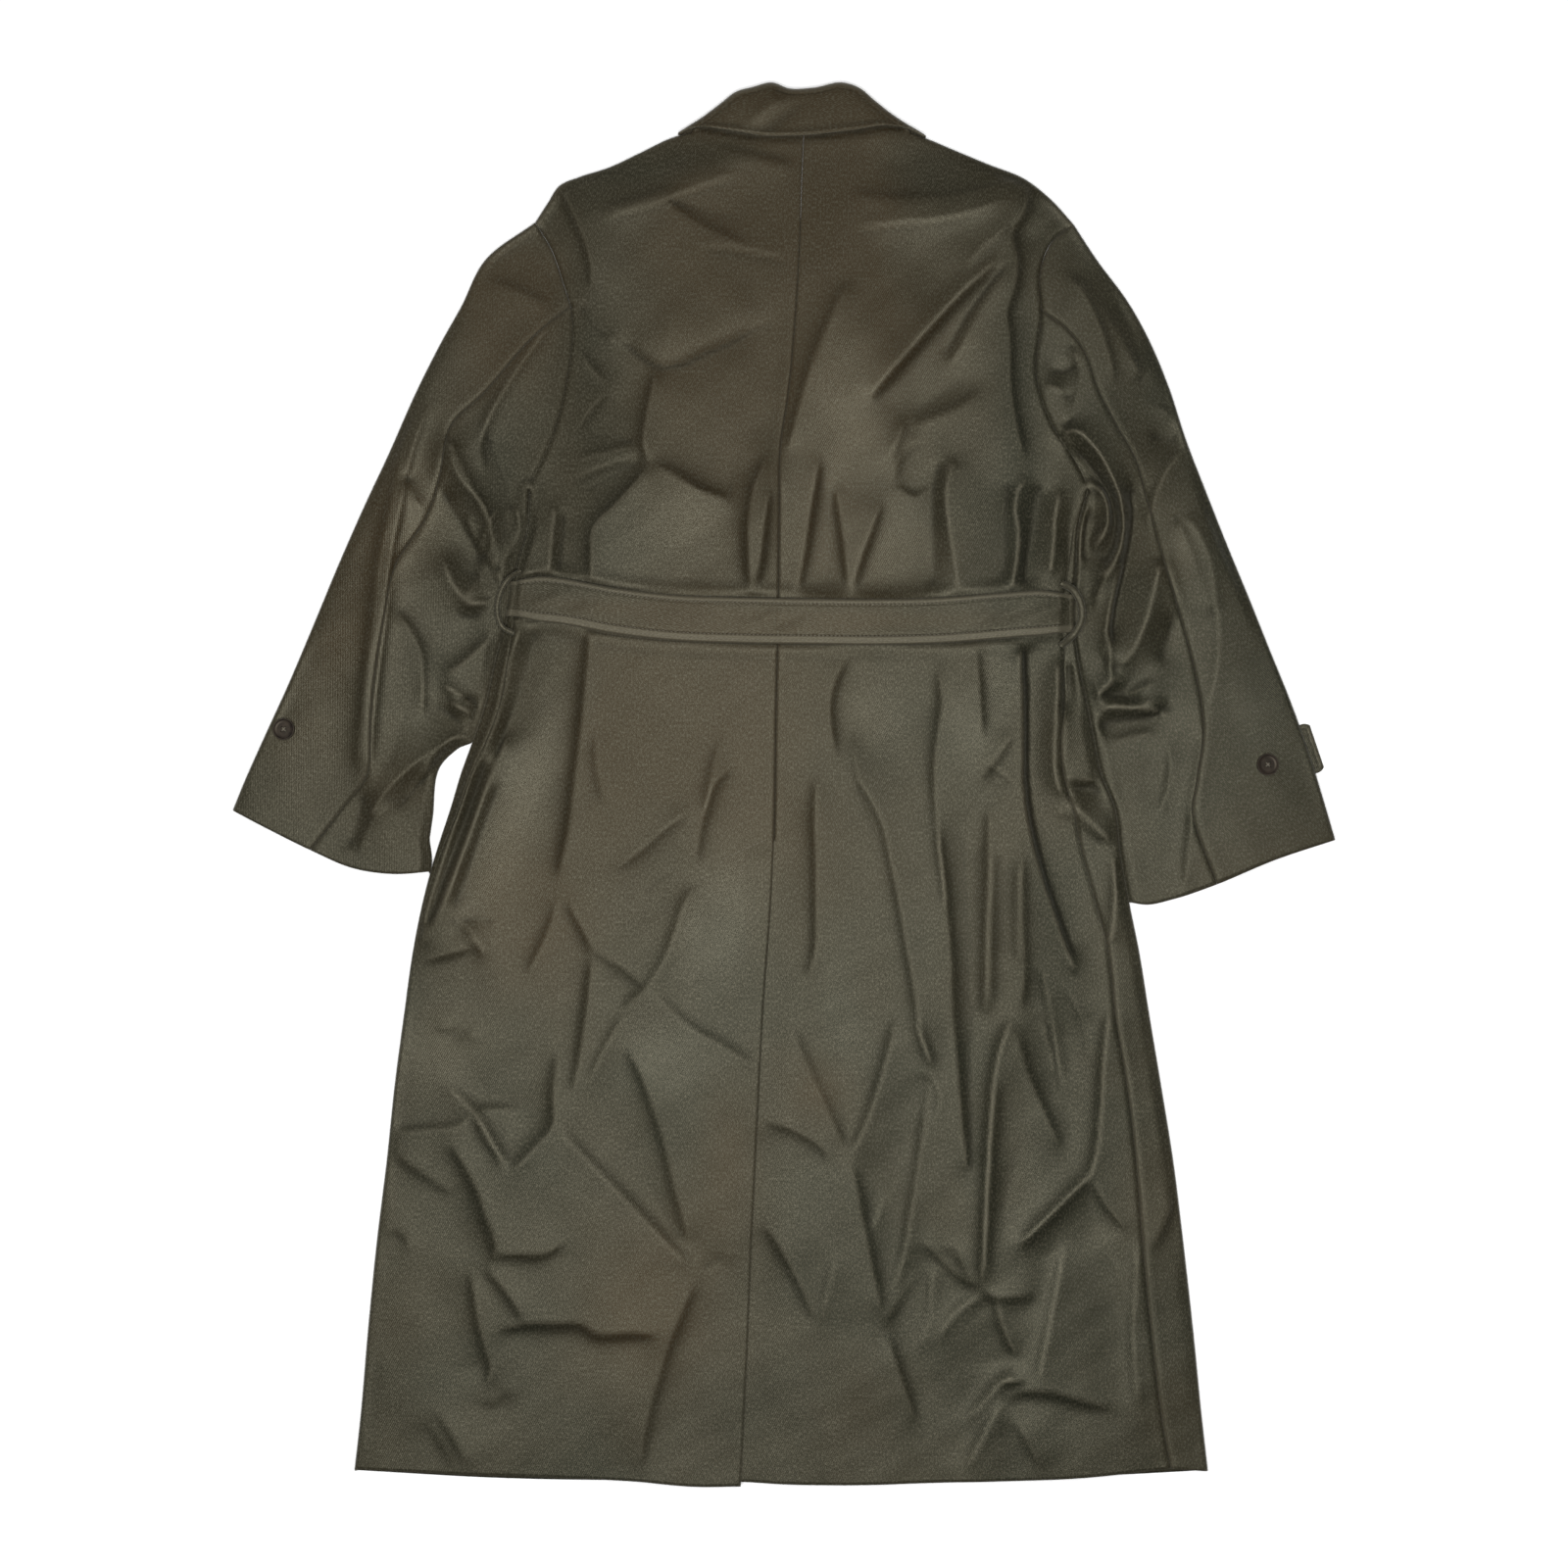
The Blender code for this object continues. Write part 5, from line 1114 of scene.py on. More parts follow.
@dataclass
class CoatLay:
    """How the cloth lies: folded edges, creases, seams and the layers beneath."""

    ripple_bend: float = 14.0
    ripple_wave: float = 61.0
    centre_dip: float = 0.5
    armhole_dip: float = 1.3
    seam_dip: float = 0.8
    collar_ditch: float = 3.2
    belt_ends: tuple[float, float] = (-205.0, -60.0)
    vent_edges: tuple[float, float] = (-63.0, 18.0)

    def __post_init__(self) -> None:
        """Work out the creases, the folded edges and the seams once."""
        self.creases = CreaseField()
        self.collar_edge = Curve(FALL_EDGE, 120).line
        levels = np.linspace(583.0, VENT_LEVEL, 60)
        self.seams = [(self.centre_dip, np.stack([centre_x(levels), levels], axis=-1))]
        self.edges: list[Array] = []
        for cut in CUTS.values():
            lines = [Curve(cut.shoulder, 60).line, sleeve_line(cut, "outer"),
                     sleeve_line(cut, "inner")[::-1], side_line(cut.half, UNDERARM_LEVEL, 200)]
            self.edges += lines if cut.half is Half.LEFT else [line[::-1] for line in reversed(lines)]
            self.seams.append((self.armhole_dip, Curve(cut.armhole, 60).line))
            self.seams.append((self.seam_dip, sleeve_line(cut, "elbow", 60)))
            self.seams.append((self.seam_dip, side_line(cut.half, UNDERARM_LEVEL - 20.0, 80, 1.0)))

    def edge_distance(self, points: Array) -> tuple[Array, Array]:
        """Distance of points to the nearest folded edge, and the direction away from that edge.

        Args:
            points: places in plan.

        Returns:
            The distances and the unit directions.
        """
        best = np.full(len(points), FAR)
        inward = np.zeros((len(points), 2))
        for line in self.edges:
            inside = within(points, line, FAR)
            near = nearest(points[inside], line)
            closer = near.distance < best[inside]
            best[inside[closer]] = near.distance[closer]
            inward[inside[closer]] = near.off[closer]
        for cut in CUTS.values():
            armhole = Curve(cut.armhole).line
            for corner, ahead in ((armhole[0], armhole[1]), (armhole[-1], armhole[-2])):
                close = np.linalg.norm(points - corner, axis=1) < 0.5
                best[close] = 0.0
                inward[close] = unit(ahead - corner)
        return best, inward

    def ripple_height(self, points: Array) -> Array:
        """Faint waves that keep the flat parts of the cloth from lying dead flat.

        Args:
            points: places in plan.

        Returns:
            Height at each place.
        """
        bent = points + self.ripple_bend * np.sin(points[:, ::-1] / self.ripple_wave)
        total = np.zeros(len(points))
        for ripple in RIPPLES:
            heading = math.radians(ripple.heading)
            run = bent @ np.array([math.cos(heading), math.sin(heading)])
            total += ripple.height * np.sin(2.0 * math.pi * run / ripple.length + ripple.start)
        return total

    def seam_height(self, points: Array) -> Array:
        """The dip of a pressed seam, with the seam allowance raised beside it.

        Args:
            points: places in plan.

        Returns:
            Height at each place.
        """
        total = np.zeros(len(points))
        for depth, line in self.seams:
            inside = within(points, line, 18.0)
            distance = nearest(points[inside], line).distance
            total[inside] += depth * (0.25 * bell(distance - 5.0, 3.5) - bell(distance, 1.8))
        return total

    def beside_belt(self, points: Array) -> Array:
        """Distance outside the belt's edges on the back, and a long way off the body.

        Args:
            points: places in plan.

        Returns:
            The distances.
        """
        x, y = points.T
        away = np.abs(y - belt_y(x)) - belt_half(x)
        return np.where((x > side_x(Half.LEFT, y)) & (x < side_x(Half.RIGHT, y)), away, FAR)

    def ditch_height(self, points: Array) -> Array:
        """The ditches that the belt's edges and the collar's edge press into the back.

        Args:
            points: places in plan.

        Returns:
            Height at each place.
        """
        total = -bell(self.beside_belt(points) - 1.0, 1.7)
        inside = within(points, self.collar_edge, 14.0)
        near = nearest(points[inside], self.collar_edge)
        ends = ease((0.5 - np.abs(near.share - 0.5)) / 0.15)
        total[inside] -= self.collar_ditch * bell(near.distance, 3.4) * ends
        return total

    def under_height(self, points: Array, overlap: bool) -> Array:
        """Height of the underside over the belt, the collar's leaves, a cuff tab or the other front.

        Args:
            points: places in plan.
            overlap: whether the other front lies beneath.

        Returns:
            Height at each place.
        """
        x, y = points.T
        in_body = (x > BODY[3].left - 12) & (x < BODY[3].right + 4)
        band = 1.0 - ease((np.abs(y - belt_y(x)) - BELT_BED) / 22.0)
        raised = np.where(in_body, LAYER * band * (1.0 + between(x, *self.belt_ends, 25.0)), 0.0)
        neck = ease((y - 400.0) / 50.0) * ease((150.0 - np.abs(x - MIDDLE)) / 30.0)
        raised = np.maximum(raised, LAYER * neck)
        for cut in CUTS.values():
            origin, inward, along = tab_frame(cut)
            away = points - origin
            deep = away @ inward
            tab = ease((77.5 - np.abs(away @ along)) / 25.0) * ease((125.0 - deep) / 25.0)
            raised = np.maximum(raised, LAYER * tab * (deep > -12.0))
        if overlap:
            lap = ease((FRONT_EDGE + 120.0 - x) / 40.0) * ease((x - FRONT_EDGE + FRONT_LAP + 30.0) / 25.0)
            raised = raised + (LAYER + 0.5) * lap * ease((540.0 - y) / 40.0)
        return raised

    def vent_lap(self, points: Array) -> Array:
        """1 where the vent's two halves lie on each other."""
        x, y = points.T
        return ease((VENT_LEVEL - y) / 20.0) * between(x - centre_x(y), *self.vent_edges, 16.0)

    def top(self, plan: Array) -> tuple[Array, Array]:
        """The upper side of the cloth.

        Args:
            plan: places in plan, in any grid.

        Returns:
            The points and the vectors through the wall, in the same grid.
        """
        points = plan.reshape(-1, 2)
        distance, inward = self.edge_distance(points)
        cosine, sine = roll(distance, EDGE_ROLL)
        run = np.maximum(distance - EDGE_ROLL, 0.0)
        height = EDGE_ROLL * (1.0 + sine) + (LOFT - 2 * EDGE_ROLL) * (1.0 - np.exp(-run / LOFT_RUN))
        off_edge = ease((distance - 2.0) / FOLD_FADE)
        calm = off_edge * ease((NECK_CALM - points[:, 1]) / 30.0)
        off_belt = self.beside_belt(points) - 0.5
        waves = self.creases.height(points) + self.ripple_height(points)
        height += waves * calm * ease(off_belt / 4.5)
        height += BELT_LIFT * (1.0 - ease(off_belt / 14.0)) * calm
        height += self.seam_height(points) * calm + self.ditch_height(points) * off_edge
        lowest = self.under_height(points, True) + LAYER + CLOTH + LAYER * self.vent_lap(points)
        lowest = EDGE_ROLL + (lowest - EDGE_ROLL) * ease((distance - EDGE_ROLL) / 25.0)
        settled = lowest + np.log1p(np.exp(np.clip(height - lowest, -30.0, 30.0)))
        height = np.where(distance > EDGE_ROLL, settled, height)
        return walled(plan, height, inward * cosine[:, None], -sine)

    def under(self, plan: Array, overlap: bool = False) -> tuple[Array, Array]:
        """The underside of the cloth.

        Args:
            plan: places in plan, in any grid.
            overlap: whether the other front lies beneath.

        Returns:
            The points and the vectors through the wall, in the same grid.
        """
        points = plan.reshape(-1, 2)
        distance, inward = self.edge_distance(points)
        cosine, sine = roll(distance, EDGE_ROLL)
        raised = self.under_height(points, overlap)
        height = raised + np.maximum(EDGE_ROLL - raised, 0.0) * (1.0 - sine)
        return walled(plan, height, inward * cosine[:, None], sine)


def patch(start: Reader, end: Reader, first: Reader, last: Reader, across: Array, down: Array,
          fade: float = 1.0) -> Array:
    """Rows between two side curves, bent like the start curve at the start and like the end curve at the end.

    Args:
        start: curve of the first row.
        end: curve of the last row.
        first: curve of the first column.
        last: curve of the last column.
        across: shares across, one for each point.
        down: shares down, one for each point.
        fade: how fast a bend fades away from its end.

    Returns:
        Places in plan.
    """
    u = across[..., None]
    v = down[..., None]
    straight = (1 - u) * first(down) + u * last(down)
    bends = []
    for row in (start, end):
        bends.append(row(across) - (1 - u) * row(np.zeros_like(across)) - u * row(np.ones_like(across)))
    return straight + (1 - v) ** fade * bends[0] + v ** fade * bends[1]


def spread(width: float, step: float, count: int = 0) -> Array:
    """Shares across a piece from a folded edge to a seam, closer together on the roll of the edge.

    Args:
        width: the piece's width.
        step: spacing away from the edge.
        count: number of shares away from the edge, where it is fixed.

    Returns:
        Shares from 0 to 1.
    """
    count = count or max(3, round((width - EVEN_FROM) / step))
    return np.concatenate([np.array(ROLL_STEPS) / width, np.linspace(EVEN_FROM / width, 1.0, count)])


@dataclass
class Mesher:
    """Plan grids of the body and the sleeves, at the spacing of the finished cloth."""

    column_step: float = 2.6
    row_step: float = 2.9
    panel_width: float = 300.0

    def __post_init__(self) -> None:
        """Work out the rows that the body and the sleeves share."""
        top = spread(ARM_LENGTH * ELBOW_SHARE, self.row_step) * ELBOW_SHARE
        under = 1.0 - spread(ARM_LENGTH * (1 - ELBOW_SHARE), self.row_step)[::-1] * (1 - ELBOW_SHARE)
        self.counts = {part: len(rows) - len(ROLL_STEPS) for part, rows in zip(SleevePart, (top, under))}
        self.arm_shares = np.concatenate([top, under[1:]])
        stops = (UNDERARM_LEVEL, VENT_LEVEL, HEM_LEVEL)
        levels = [np.array([UNDERARM_LEVEL])]
        for upper, lower in zip(stops, stops[1:]):
            levels.append(np.linspace(upper, lower, round((upper - lower) / self.row_step) + 1)[1:])
        self.levels = np.concatenate(levels)
        self.upper_rows = len(self.arm_shares)
        self.vent_row = self.upper_rows - 1 + int(np.argmin(np.abs(self.levels - VENT_LEVEL)))

    def row_level(self, x: Array, level: Array, hem: tuple[Spot, ...]) -> Array:
        """Height in plan of a row: it bends with the belt near the waist and with the hem at the bottom.

        Args:
            x: places along the row.
            level: the row's level.
            hem: the hem's table.

        Returns:
            Y at the places.
        """
        sag = (belt_y(x) - BELT_LEVEL) * bell(level - BELT_LEVEL, 50.0)
        drop = (table_column(hem, "x", "y", x) - HEM_LEVEL) * ease((HEM_LEVEL + 110.0 - level) / 110.0)
        return level + sag * ease((UNDERARM_LEVEL - level) / 20.0) + drop

    def armhole(self, cut: HalfCut, shift: float) -> Reader:
        """The armhole's curve moved towards the sleeve.

        Args:
            cut: the half.
            shift: how far it is moved.

        Returns:
            A reader of the curve by its share from the shoulder to the underarm.
        """
        curve = Curve(cut.armhole, 400)

        def at(share: Array) -> Array:
            """Points of the moved curve.

            Args:
                share: shares of the length.

            Returns:
                The points.
            """
            ahead = unit(curve.at(np.minimum(share + 0.002, 1.0)) - curve.at(np.maximum(share - 0.002, 0.0)))
            normal = np.stack([ahead[..., 1], -ahead[..., 0]], axis=-1) * -cut.half.value
            return curve.at(share) + normal * shift

        return at

    def body(self, cut: HalfCut, neck: tuple[Spot, ...], neck_share: float, step: float, inner: Reader,
             wrap: float, hem: tuple[Spot, ...]) -> Array:
        """Rows and columns in plan of half a back or front, from its inner edge to its side.

        Args:
            cut: the half.
            neck: the line from the inner edge to the shoulder.
            neck_share: about the share of the columns that end at the neck.
            step: spacing of the columns.
            inner: the inner edge, read by level.
            wrap: 0 to end at the folded side, 1 to end at the side seam.
            hem: the hem's table.

        Returns:
            Places in plan.
        """
        across = 1.0 - spread(self.panel_width, step)[::-1]
        share = float(across[int(np.argmin(np.abs(across - neck_share)))])
        top = Joined(Curve(neck), Curve(cut.shoulder), share)
        armhole = self.armhole(cut, -SEAM_GAP / 2)
        down = np.broadcast_to(self.arm_shares[:, None], (self.upper_rows, len(across)))
        waist_in = inner(np.array([UNDERARM_LEVEL]))[0]
        waist_out = armhole(np.array([1.0]))[0]
        head = top.at(np.array([0.0]))[0, 1]
        upper = patch(top.at, lambda place: waist_in + place[..., None] * (waist_out - waist_in),
                      lambda place: inner(head + (UNDERARM_LEVEL - head) * place), armhole,
                      np.broadcast_to(across, down.shape), down)
        start = inner(self.levels)[:, 0]
        end = side_x(cut.half, self.levels)
        for _ in range(3):
            start = inner(self.row_level(start, self.levels, hem))[:, 0]
            end = side_x(cut.half, self.row_level(end, self.levels, hem), wrap)
        end[0] = waist_out[0]
        x = start[:, None] + (end - start)[:, None] * across[None]
        lower = np.stack([x, self.row_level(x, self.levels[:, None], hem)], axis=-1)
        return np.concatenate([upper, lower[1:]])

    def sleeve(self, cut: HalfCut, part: SleevePart) -> Array:
        """Rows and columns in plan of one piece of a sleeve, from its folded edge to the elbow seam.

        Args:
            cut: the half.
            part: the piece.

        Returns:
            Places in plan.
        """
        is_top = part is SleevePart.TOP
        armhole = self.armhole(cut, SEAM_GAP / 2)
        cuff = Curve(cut.cuff)
        elbow = np.array(cut.sleeve[-1].elbow, dtype=float)
        cuff_share = cuff.run[int(np.argmin(np.linalg.norm(cuff.line - elbow, axis=1)))] / cuff.length
        outward = -cut.half.value if is_top else cut.half.value
        seam = sleeve_reader(cut, "elbow", outward * SEAM_GAP / 2)
        edge = sleeve_reader(cut, part.value)
        reach = ELBOW_SHARE if is_top else 1.0 - ELBOW_SHARE

        def armhole_part(share: Array) -> Array:
            """The piece's stretch of the armhole."""
            return armhole(reach * share if is_top else 1.0 - reach * share)

        def cuff_part(share: Array) -> Array:
            """The piece's stretch of the cuff."""
            return cuff.at(cuff_share * share if is_top else 1.0 - (1.0 - cuff_share) * share)

        length = run_along(sleeve_line(cut, "elbow"))[-1]
        down = np.linspace(0.0, 1.0, round(length / self.row_step) + 1)
        widths = np.linalg.norm(seam(down) - edge(down), axis=1)
        across = np.array([spread(width, self.column_step, self.counts[part]) for width in widths])
        shares = spread(ARM_LENGTH * reach, self.row_step)
        blend = ease(down / 0.06)[:, None]
        across = shares[None] * (1.0 - blend) + across * blend
        rows = np.broadcast_to(down[:, None], across.shape)
        plan = patch(armhole_part, cuff_part, edge, seam, across, rows, 5.0)
        plan[:, 0] = edge(down)
        plan[0] = armhole_part(shares)
        return plan


def place_piece(piece: Piece, material: Material, slot: Slot, node: str | None = None) -> None:
    """Dress a finished piece and attach it to the root body.

    Args:
        piece: the object.
        material: its finish.
        slot: the record's slot that it belongs to; not used.
        node: the part's node that it stands for, if it stands for one.
    """
    piece.data.materials.clear()
    piece.data.materials.append(material)
    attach(piece, "root")
    if node:
        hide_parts(node)
    LOG.info("%s: %d faces", piece.name, len(piece.data.polygons))


def new_piece(name: str, points: Array, faces: list) -> Piece:
    """Make a smooth object at the origin.

    Args:
        name: the piece's name.
        points: its points, in millimetres.
        faces: the numbers of each face's points.

    Returns:
        The object.
    """
    mesh = bpy.data.meshes.new(name)
    mesh.from_pydata(points * MM, [], faces)
    mesh.shade_smooth()
    piece = bpy.data.objects.new(name, mesh)
    bpy.context.scene.collection.objects.link(piece)
    return piece


def write_values(mesh: bpy.types.Mesh, name: str, values: Array) -> None:
    """Write one number for each point of a mesh as an attribute."""
    attribute = mesh.attributes.get(name) or mesh.attributes.new(name, "FLOAT", "POINT")
    attribute.data.foreach_set("value", values.astype(np.float32))


class Shell:
    """Cloth under construction: outer points, vectors through the wall, grain and faces."""

    def __init__(self) -> None:
        """Start with no points."""
        self.outer = np.empty((0, 3))
        self.through = np.empty((0, 3))
        self.grain = np.empty((0, 2))
        self.quads = np.empty((0, 4), dtype=int)

    def add_points(self, points: Array, through: Array, grain: Array) -> Array:
        """Add points.

        Args:
            points: places on the outer side.
            through: vectors through the wall.
            grain: places across and along the cloth's grain.

        Returns:
            The points' numbers, in the same grid.
        """
        first = len(self.outer)
        self.outer = np.concatenate([self.outer, points.reshape(-1, 3)])
        self.through = np.concatenate([self.through, through.reshape(-1, 3)])
        self.grain = np.concatenate([self.grain, grain.reshape(-1, 2)])
        return np.arange(first, len(self.outer)).reshape(points.shape[:-1])

    def add_grid(self, numbers: Array) -> None:
        """Add the faces of a grid of point numbers."""
        corners = (numbers[:-1, :-1], numbers[:-1, 1:], numbers[1:, 1:], numbers[1:, :-1])
        self.quads = np.concatenate([self.quads, np.stack([corner.ravel() for corner in corners], axis=-1)])

    def sides(self) -> Array:
        """Both ends of every side of every face."""
        return np.concatenate([self.quads[:, [k, (k + 1) % 4]] for k in range(4)])

    def build(self, node: str, wool: Material, flat: tuple[float, float], area: float,
              rests_on: list[str]) -> Piece:
        """Close the wall and make it the cloth of a node.

        Args:
            node: the part's node that it stands for.
            wool: the cloth's finish.
            flat: width and length of the cut, in metres; not used.
            area: the cut's area, in square metres; not used.
            rests_on: names of what it lies on; not used.

        Returns:
            The object, at the origin.
        """
        count = len(self.outer)
        sides = self.sides()
        keys = sides.min(1) * count + sides.max(1)
        _, where, times = np.unique(keys, return_index=True, return_counts=True)
        rim = sides[where[times == 1]]
        walls = np.column_stack([rim[:, 1], rim[:, 0], rim[:, 0] + count, rim[:, 1] + count])
        faces = np.concatenate([self.quads, self.quads[:, ::-1] + count, walls])
        points = np.concatenate([self.outer, self.outer + self.through])
        piece = new_piece(f"{node}_cloth", points, faces.tolist())
        model = bmesh.new()
        model.from_mesh(piece.data)
        bmesh.ops.recalc_face_normals(model, faces=model.faces)
        model.to_mesh(piece.data)
        model.free()
        self.write_layers(piece.data)
        place_piece(piece, wool, Slot.CLOTH, node)
        return piece

    def write_layers(self, mesh: bpy.types.Mesh) -> None:
        """Write the grain as a UV map, and the brushed nap and the bend as attributes.

        Args:
            mesh: the closed mesh.
        """
        corners = np.empty(len(mesh.loops), dtype=np.int32)
        mesh.loops.foreach_get("vertex_index", corners)
        grain = np.tile(self.grain, (2, 1))[corners] * MM
        mesh.uv_layers.new(name="grain").data.foreach_set("uv", grain.astype(np.float32).ravel())
        # The bend also leads the wool's painted highlight on ridges and its painted shade in hollows
        values = (*brushed_nap(self.outer[:, :2]), self.bend(mesh))
        for name, value in zip(("dull", "warm", "bend"), values):
            write_values(mesh, name, np.tile(value, 2))

    def bend(self, mesh: bpy.types.Mesh) -> Array:
        """How sharply the cloth is bent at each outer point: towards 1 on a ridge and -1 in a hollow.

        Args:
            mesh: the closed mesh.

        Returns:
            The bend of the outer points.
        """
        start, end = np.concatenate([self.sides(), self.sides()[:, ::-1]]).T
        away = self.outer[start] - self.outer[end]
        normals = np.empty(3 * len(mesh.vertices))
        mesh.vertices.foreach_get("normal", normals)
        rise = (away * normals.reshape(-1, 3)[start]).sum(axis=1)
        reach = np.bincount(start, (away ** 2).sum(axis=1), len(self.outer))
        bend = np.bincount(start, rise, len(self.outer)) / np.maximum(reach, 1e-6)
        return np.clip(bend / SHARP_BEND, -1.0, 1.0)


@dataclass
class Value:
    """A shader socket that is reckoned with by the usual operators."""

    kit: "NodeKit"
    socket: bpy.types.NodeSocket

    def __add__(self, other: "Value | float") -> "Value":
        """Sum."""
        return self.kit.math("ADD", self, other)

    def __sub__(self, other: "Value | float") -> "Value":
        """Difference."""
        return self.kit.math("SUBTRACT", self, other)

    def __mul__(self, other: "Value | float") -> "Value":
        """Product."""
        return self.kit.math("MULTIPLY", self, other)

    def sine(self) -> "Value":
        """Sine of the value."""
        return self.kit.math("SINE", self, 0.0)

    def at_least(self, least: float) -> "Value":
        """The value, or the least one where it is below that."""
        return self.kit.math("MAXIMUM", self, least)

    def clamped(self) -> "Value":
        """The value kept from 0 to 1."""
        made = self + 0.0
        made.socket.node.use_clamp = True
        return made


class NodeKit:
    """Makes the nodes of one material."""

    def __init__(self, name: str) -> None:
        """Start a material with a bare Principled shader.

        Args:
            name: the material's name.
        """
        self.material = bpy.data.materials.new(name)
        self.material.use_nodes = True
        self.tree = self.material.node_tree
        self.shader = self.tree.nodes["Principled BSDF"]

    def fill(self, socket: bpy.types.NodeSocket, value: "Value | float | Sequence[float]") -> None:
        """Lead a value into an input, or set it to a number or a colour."""
        if isinstance(value, Value):
            self.tree.links.new(value.socket, socket)
        else:
            socket.default_value = value if isinstance(value, float) else (*value, 1.0)

    def node(self, kind: str, inputs: dict | None = None, output: str | int = 0, **settings: str) -> Value:
        """Add a node.

        Args:
            kind: the node's type, without the word that all of them begin with.
            inputs: a number, a colour or a Value for each input that is set.
            output: the output that is wanted.
            settings: the node's properties.

        Returns:
            The output.
        """
        made = self.tree.nodes.new(f"ShaderNode{kind}")
        for key, value in settings.items():
            setattr(made, key, value)
        for key, value in (inputs or {}).items():
            self.fill(made.inputs[key], value)
        return Value(self, made.outputs[output])

    def math(self, operation: str, first: Value, second: Value | float) -> Value:
        """A sum of the named kind."""
        return self.node("Math", {0: first, 1: second}, operation=operation)

    def attribute(self, name: str) -> Value:
        """One of the numbers that are written on the cloth's points."""
        return self.node("Attribute", output="Fac", attribute_name=name)

    def place(self) -> Value:
        """The place on the object."""
        return self.node("TexCoord", output="Object")

    def noise(self, place: Value, scale: float, detail: float, roughness: float = 0.5) -> Value:
        """Soft noise over a place."""
        inputs = {"Vector": place, "Scale": scale, "Detail": detail, "Roughness": roughness}
        return self.node("TexNoise", inputs, "Fac")

    def mix(self, share: Value, first: Colour | Value, second: Colour | Value) -> Value:
        """Mix two colours."""
        return self.node("Mix", {0: share, 6: first, 7: second}, 2, data_type="RGBA")

    def bump(self, height: Value, strength: float, distance: float, over: Value | None = None) -> Value:
        """A relief that bends the light, over another one if it is given."""
        below = {"Normal": over} if over else {}
        return self.node("Bump", {"Height": height, "Strength": strength, "Distance": distance, **below})

    def paint(self, **inputs: "Value | float | Sequence[float]") -> None:
        """Fill the shader's inputs; underscores stand for spaces."""
        for key, value in inputs.items():
            self.fill(self.shader.inputs[key.replace("_", " ")], value)


class Finish:
    """A finish: a material of its own name, painted by each kind in its own way."""

    name: str

    def paint(self, kit: NodeKit) -> None:
        """Paint the material."""
        raise NotImplementedError

    def make(self) -> Material:
        """The painted material."""
        kit = NodeKit(self.name)
        self.paint(kit)
        return kit.material


@dataclass(frozen=True)
class WoolFinish(Finish):
    """Fulled wool twill with a short nap."""

    name: str = "coat_wool"
    green: Colour = (0.0095, 0.0104, 0.0060)
    brown: Colour = (0.0250, 0.0160, 0.0068)
    worn: Colour = (0.0560, 0.0515, 0.0360)
    # Painted highlight: the ridge colour is mixed in where the cloth is bent to a ridge, on the belt's edges
    # and on the loops
    ridge: Colour = (0.1050, 0.0930, 0.0660)
    # Painted shade: the hollow colour darkens the creases and hollows
    hollow: Colour = (0.0030, 0.0028, 0.0018)
    sheen_tint: Colour = (0.80, 0.78, 0.66)
    specular_tint: Colour = (1.0, 0.942, 0.70)
    ridge_light: float = 0.30
    hollow_shade: float = 0.6
    twill_pitch: float = 0.0016
    twill_slant: float = 0.45
    slub_stretch: float = 0.55
    roughness: float = 0.42
    dulling: float = 0.20
    smoothest: float = 0.32

    def paint(self, kit: NodeKit) -> None:
        """Paint the wool: its nap and twill, a painted highlight on ridges, painted shade in hollows, and
        brushed fields.

        Args:
            kit: the material's nodes.
        """
        place = kit.place()
        grain = kit.node("UVMap", uv_map="grain")
        across = kit.node("SeparateXYZ", {"Vector": grain}, "X")
        along = kit.node("SeparateXYZ", {"Vector": grain}, "Y")
        # Masks of the painted highlight on ridges and of the painted shade in hollows; the hollows also
        # roughen the cloth
        bend = kit.attribute("bend")
        ridge = bend.at_least(0.0)
        ridge = ridge * ridge
        hollow = (bend * -1.0).clamped()
        stretched = kit.node("CombineXYZ", {"X": across, "Y": along * self.slub_stretch})
        slub = kit.noise(stretched, 700.0, 3.0, 0.65)
        twill = ((across + along * self.twill_slant) * (2.0 * math.pi / self.twill_pitch) + slub * 3.0).sine()
        nap = kit.noise(grain, 900.0, 4.0, 0.7)
        blotch = kit.noise(place, 7.0, 3.0, 0.55)
        mottle = kit.noise(place, 60.0, 4.0, 0.6)
        warm = (blotch - 0.5) * 1.2 + 0.16 + kit.attribute("warm")
        colour = kit.mix(warm.clamped(), self.green, self.brown)
        crest = (slub - 0.5) * 4.0 + (nap - 0.5) + (mottle - 0.5) * 0.4 + 0.14
        colour = kit.mix(crest.clamped(), colour, self.worn)
        # Painted shade: the hollows are darkened towards the hollow colour
        colour = kit.mix(hollow * self.hollow_shade, colour, self.hollow)
        # Painted highlight: the ridges are lightened towards the ridge colour
        colour = kit.mix(ridge * self.ridge_light, colour, self.ridge)
        rough = hollow * 0.2 - (slub - 0.5) * 0.35 + kit.attribute("dull") * self.dulling + self.roughness
        weave = kit.bump(twill * 0.5 + slub, 0.25, 0.0004)
        kit.paint(Base_Color=colour, Roughness=rough.at_least(self.smoothest).clamped(),
                  Normal=kit.bump(nap + mottle, 0.3, 0.0009, weave))
        kit.paint(Sheen_Weight=0.16, Sheen_Roughness=0.40, Sheen_Tint=self.sheen_tint,
                  Specular_IOR_Level=0.30, Specular_Tint=self.specular_tint)


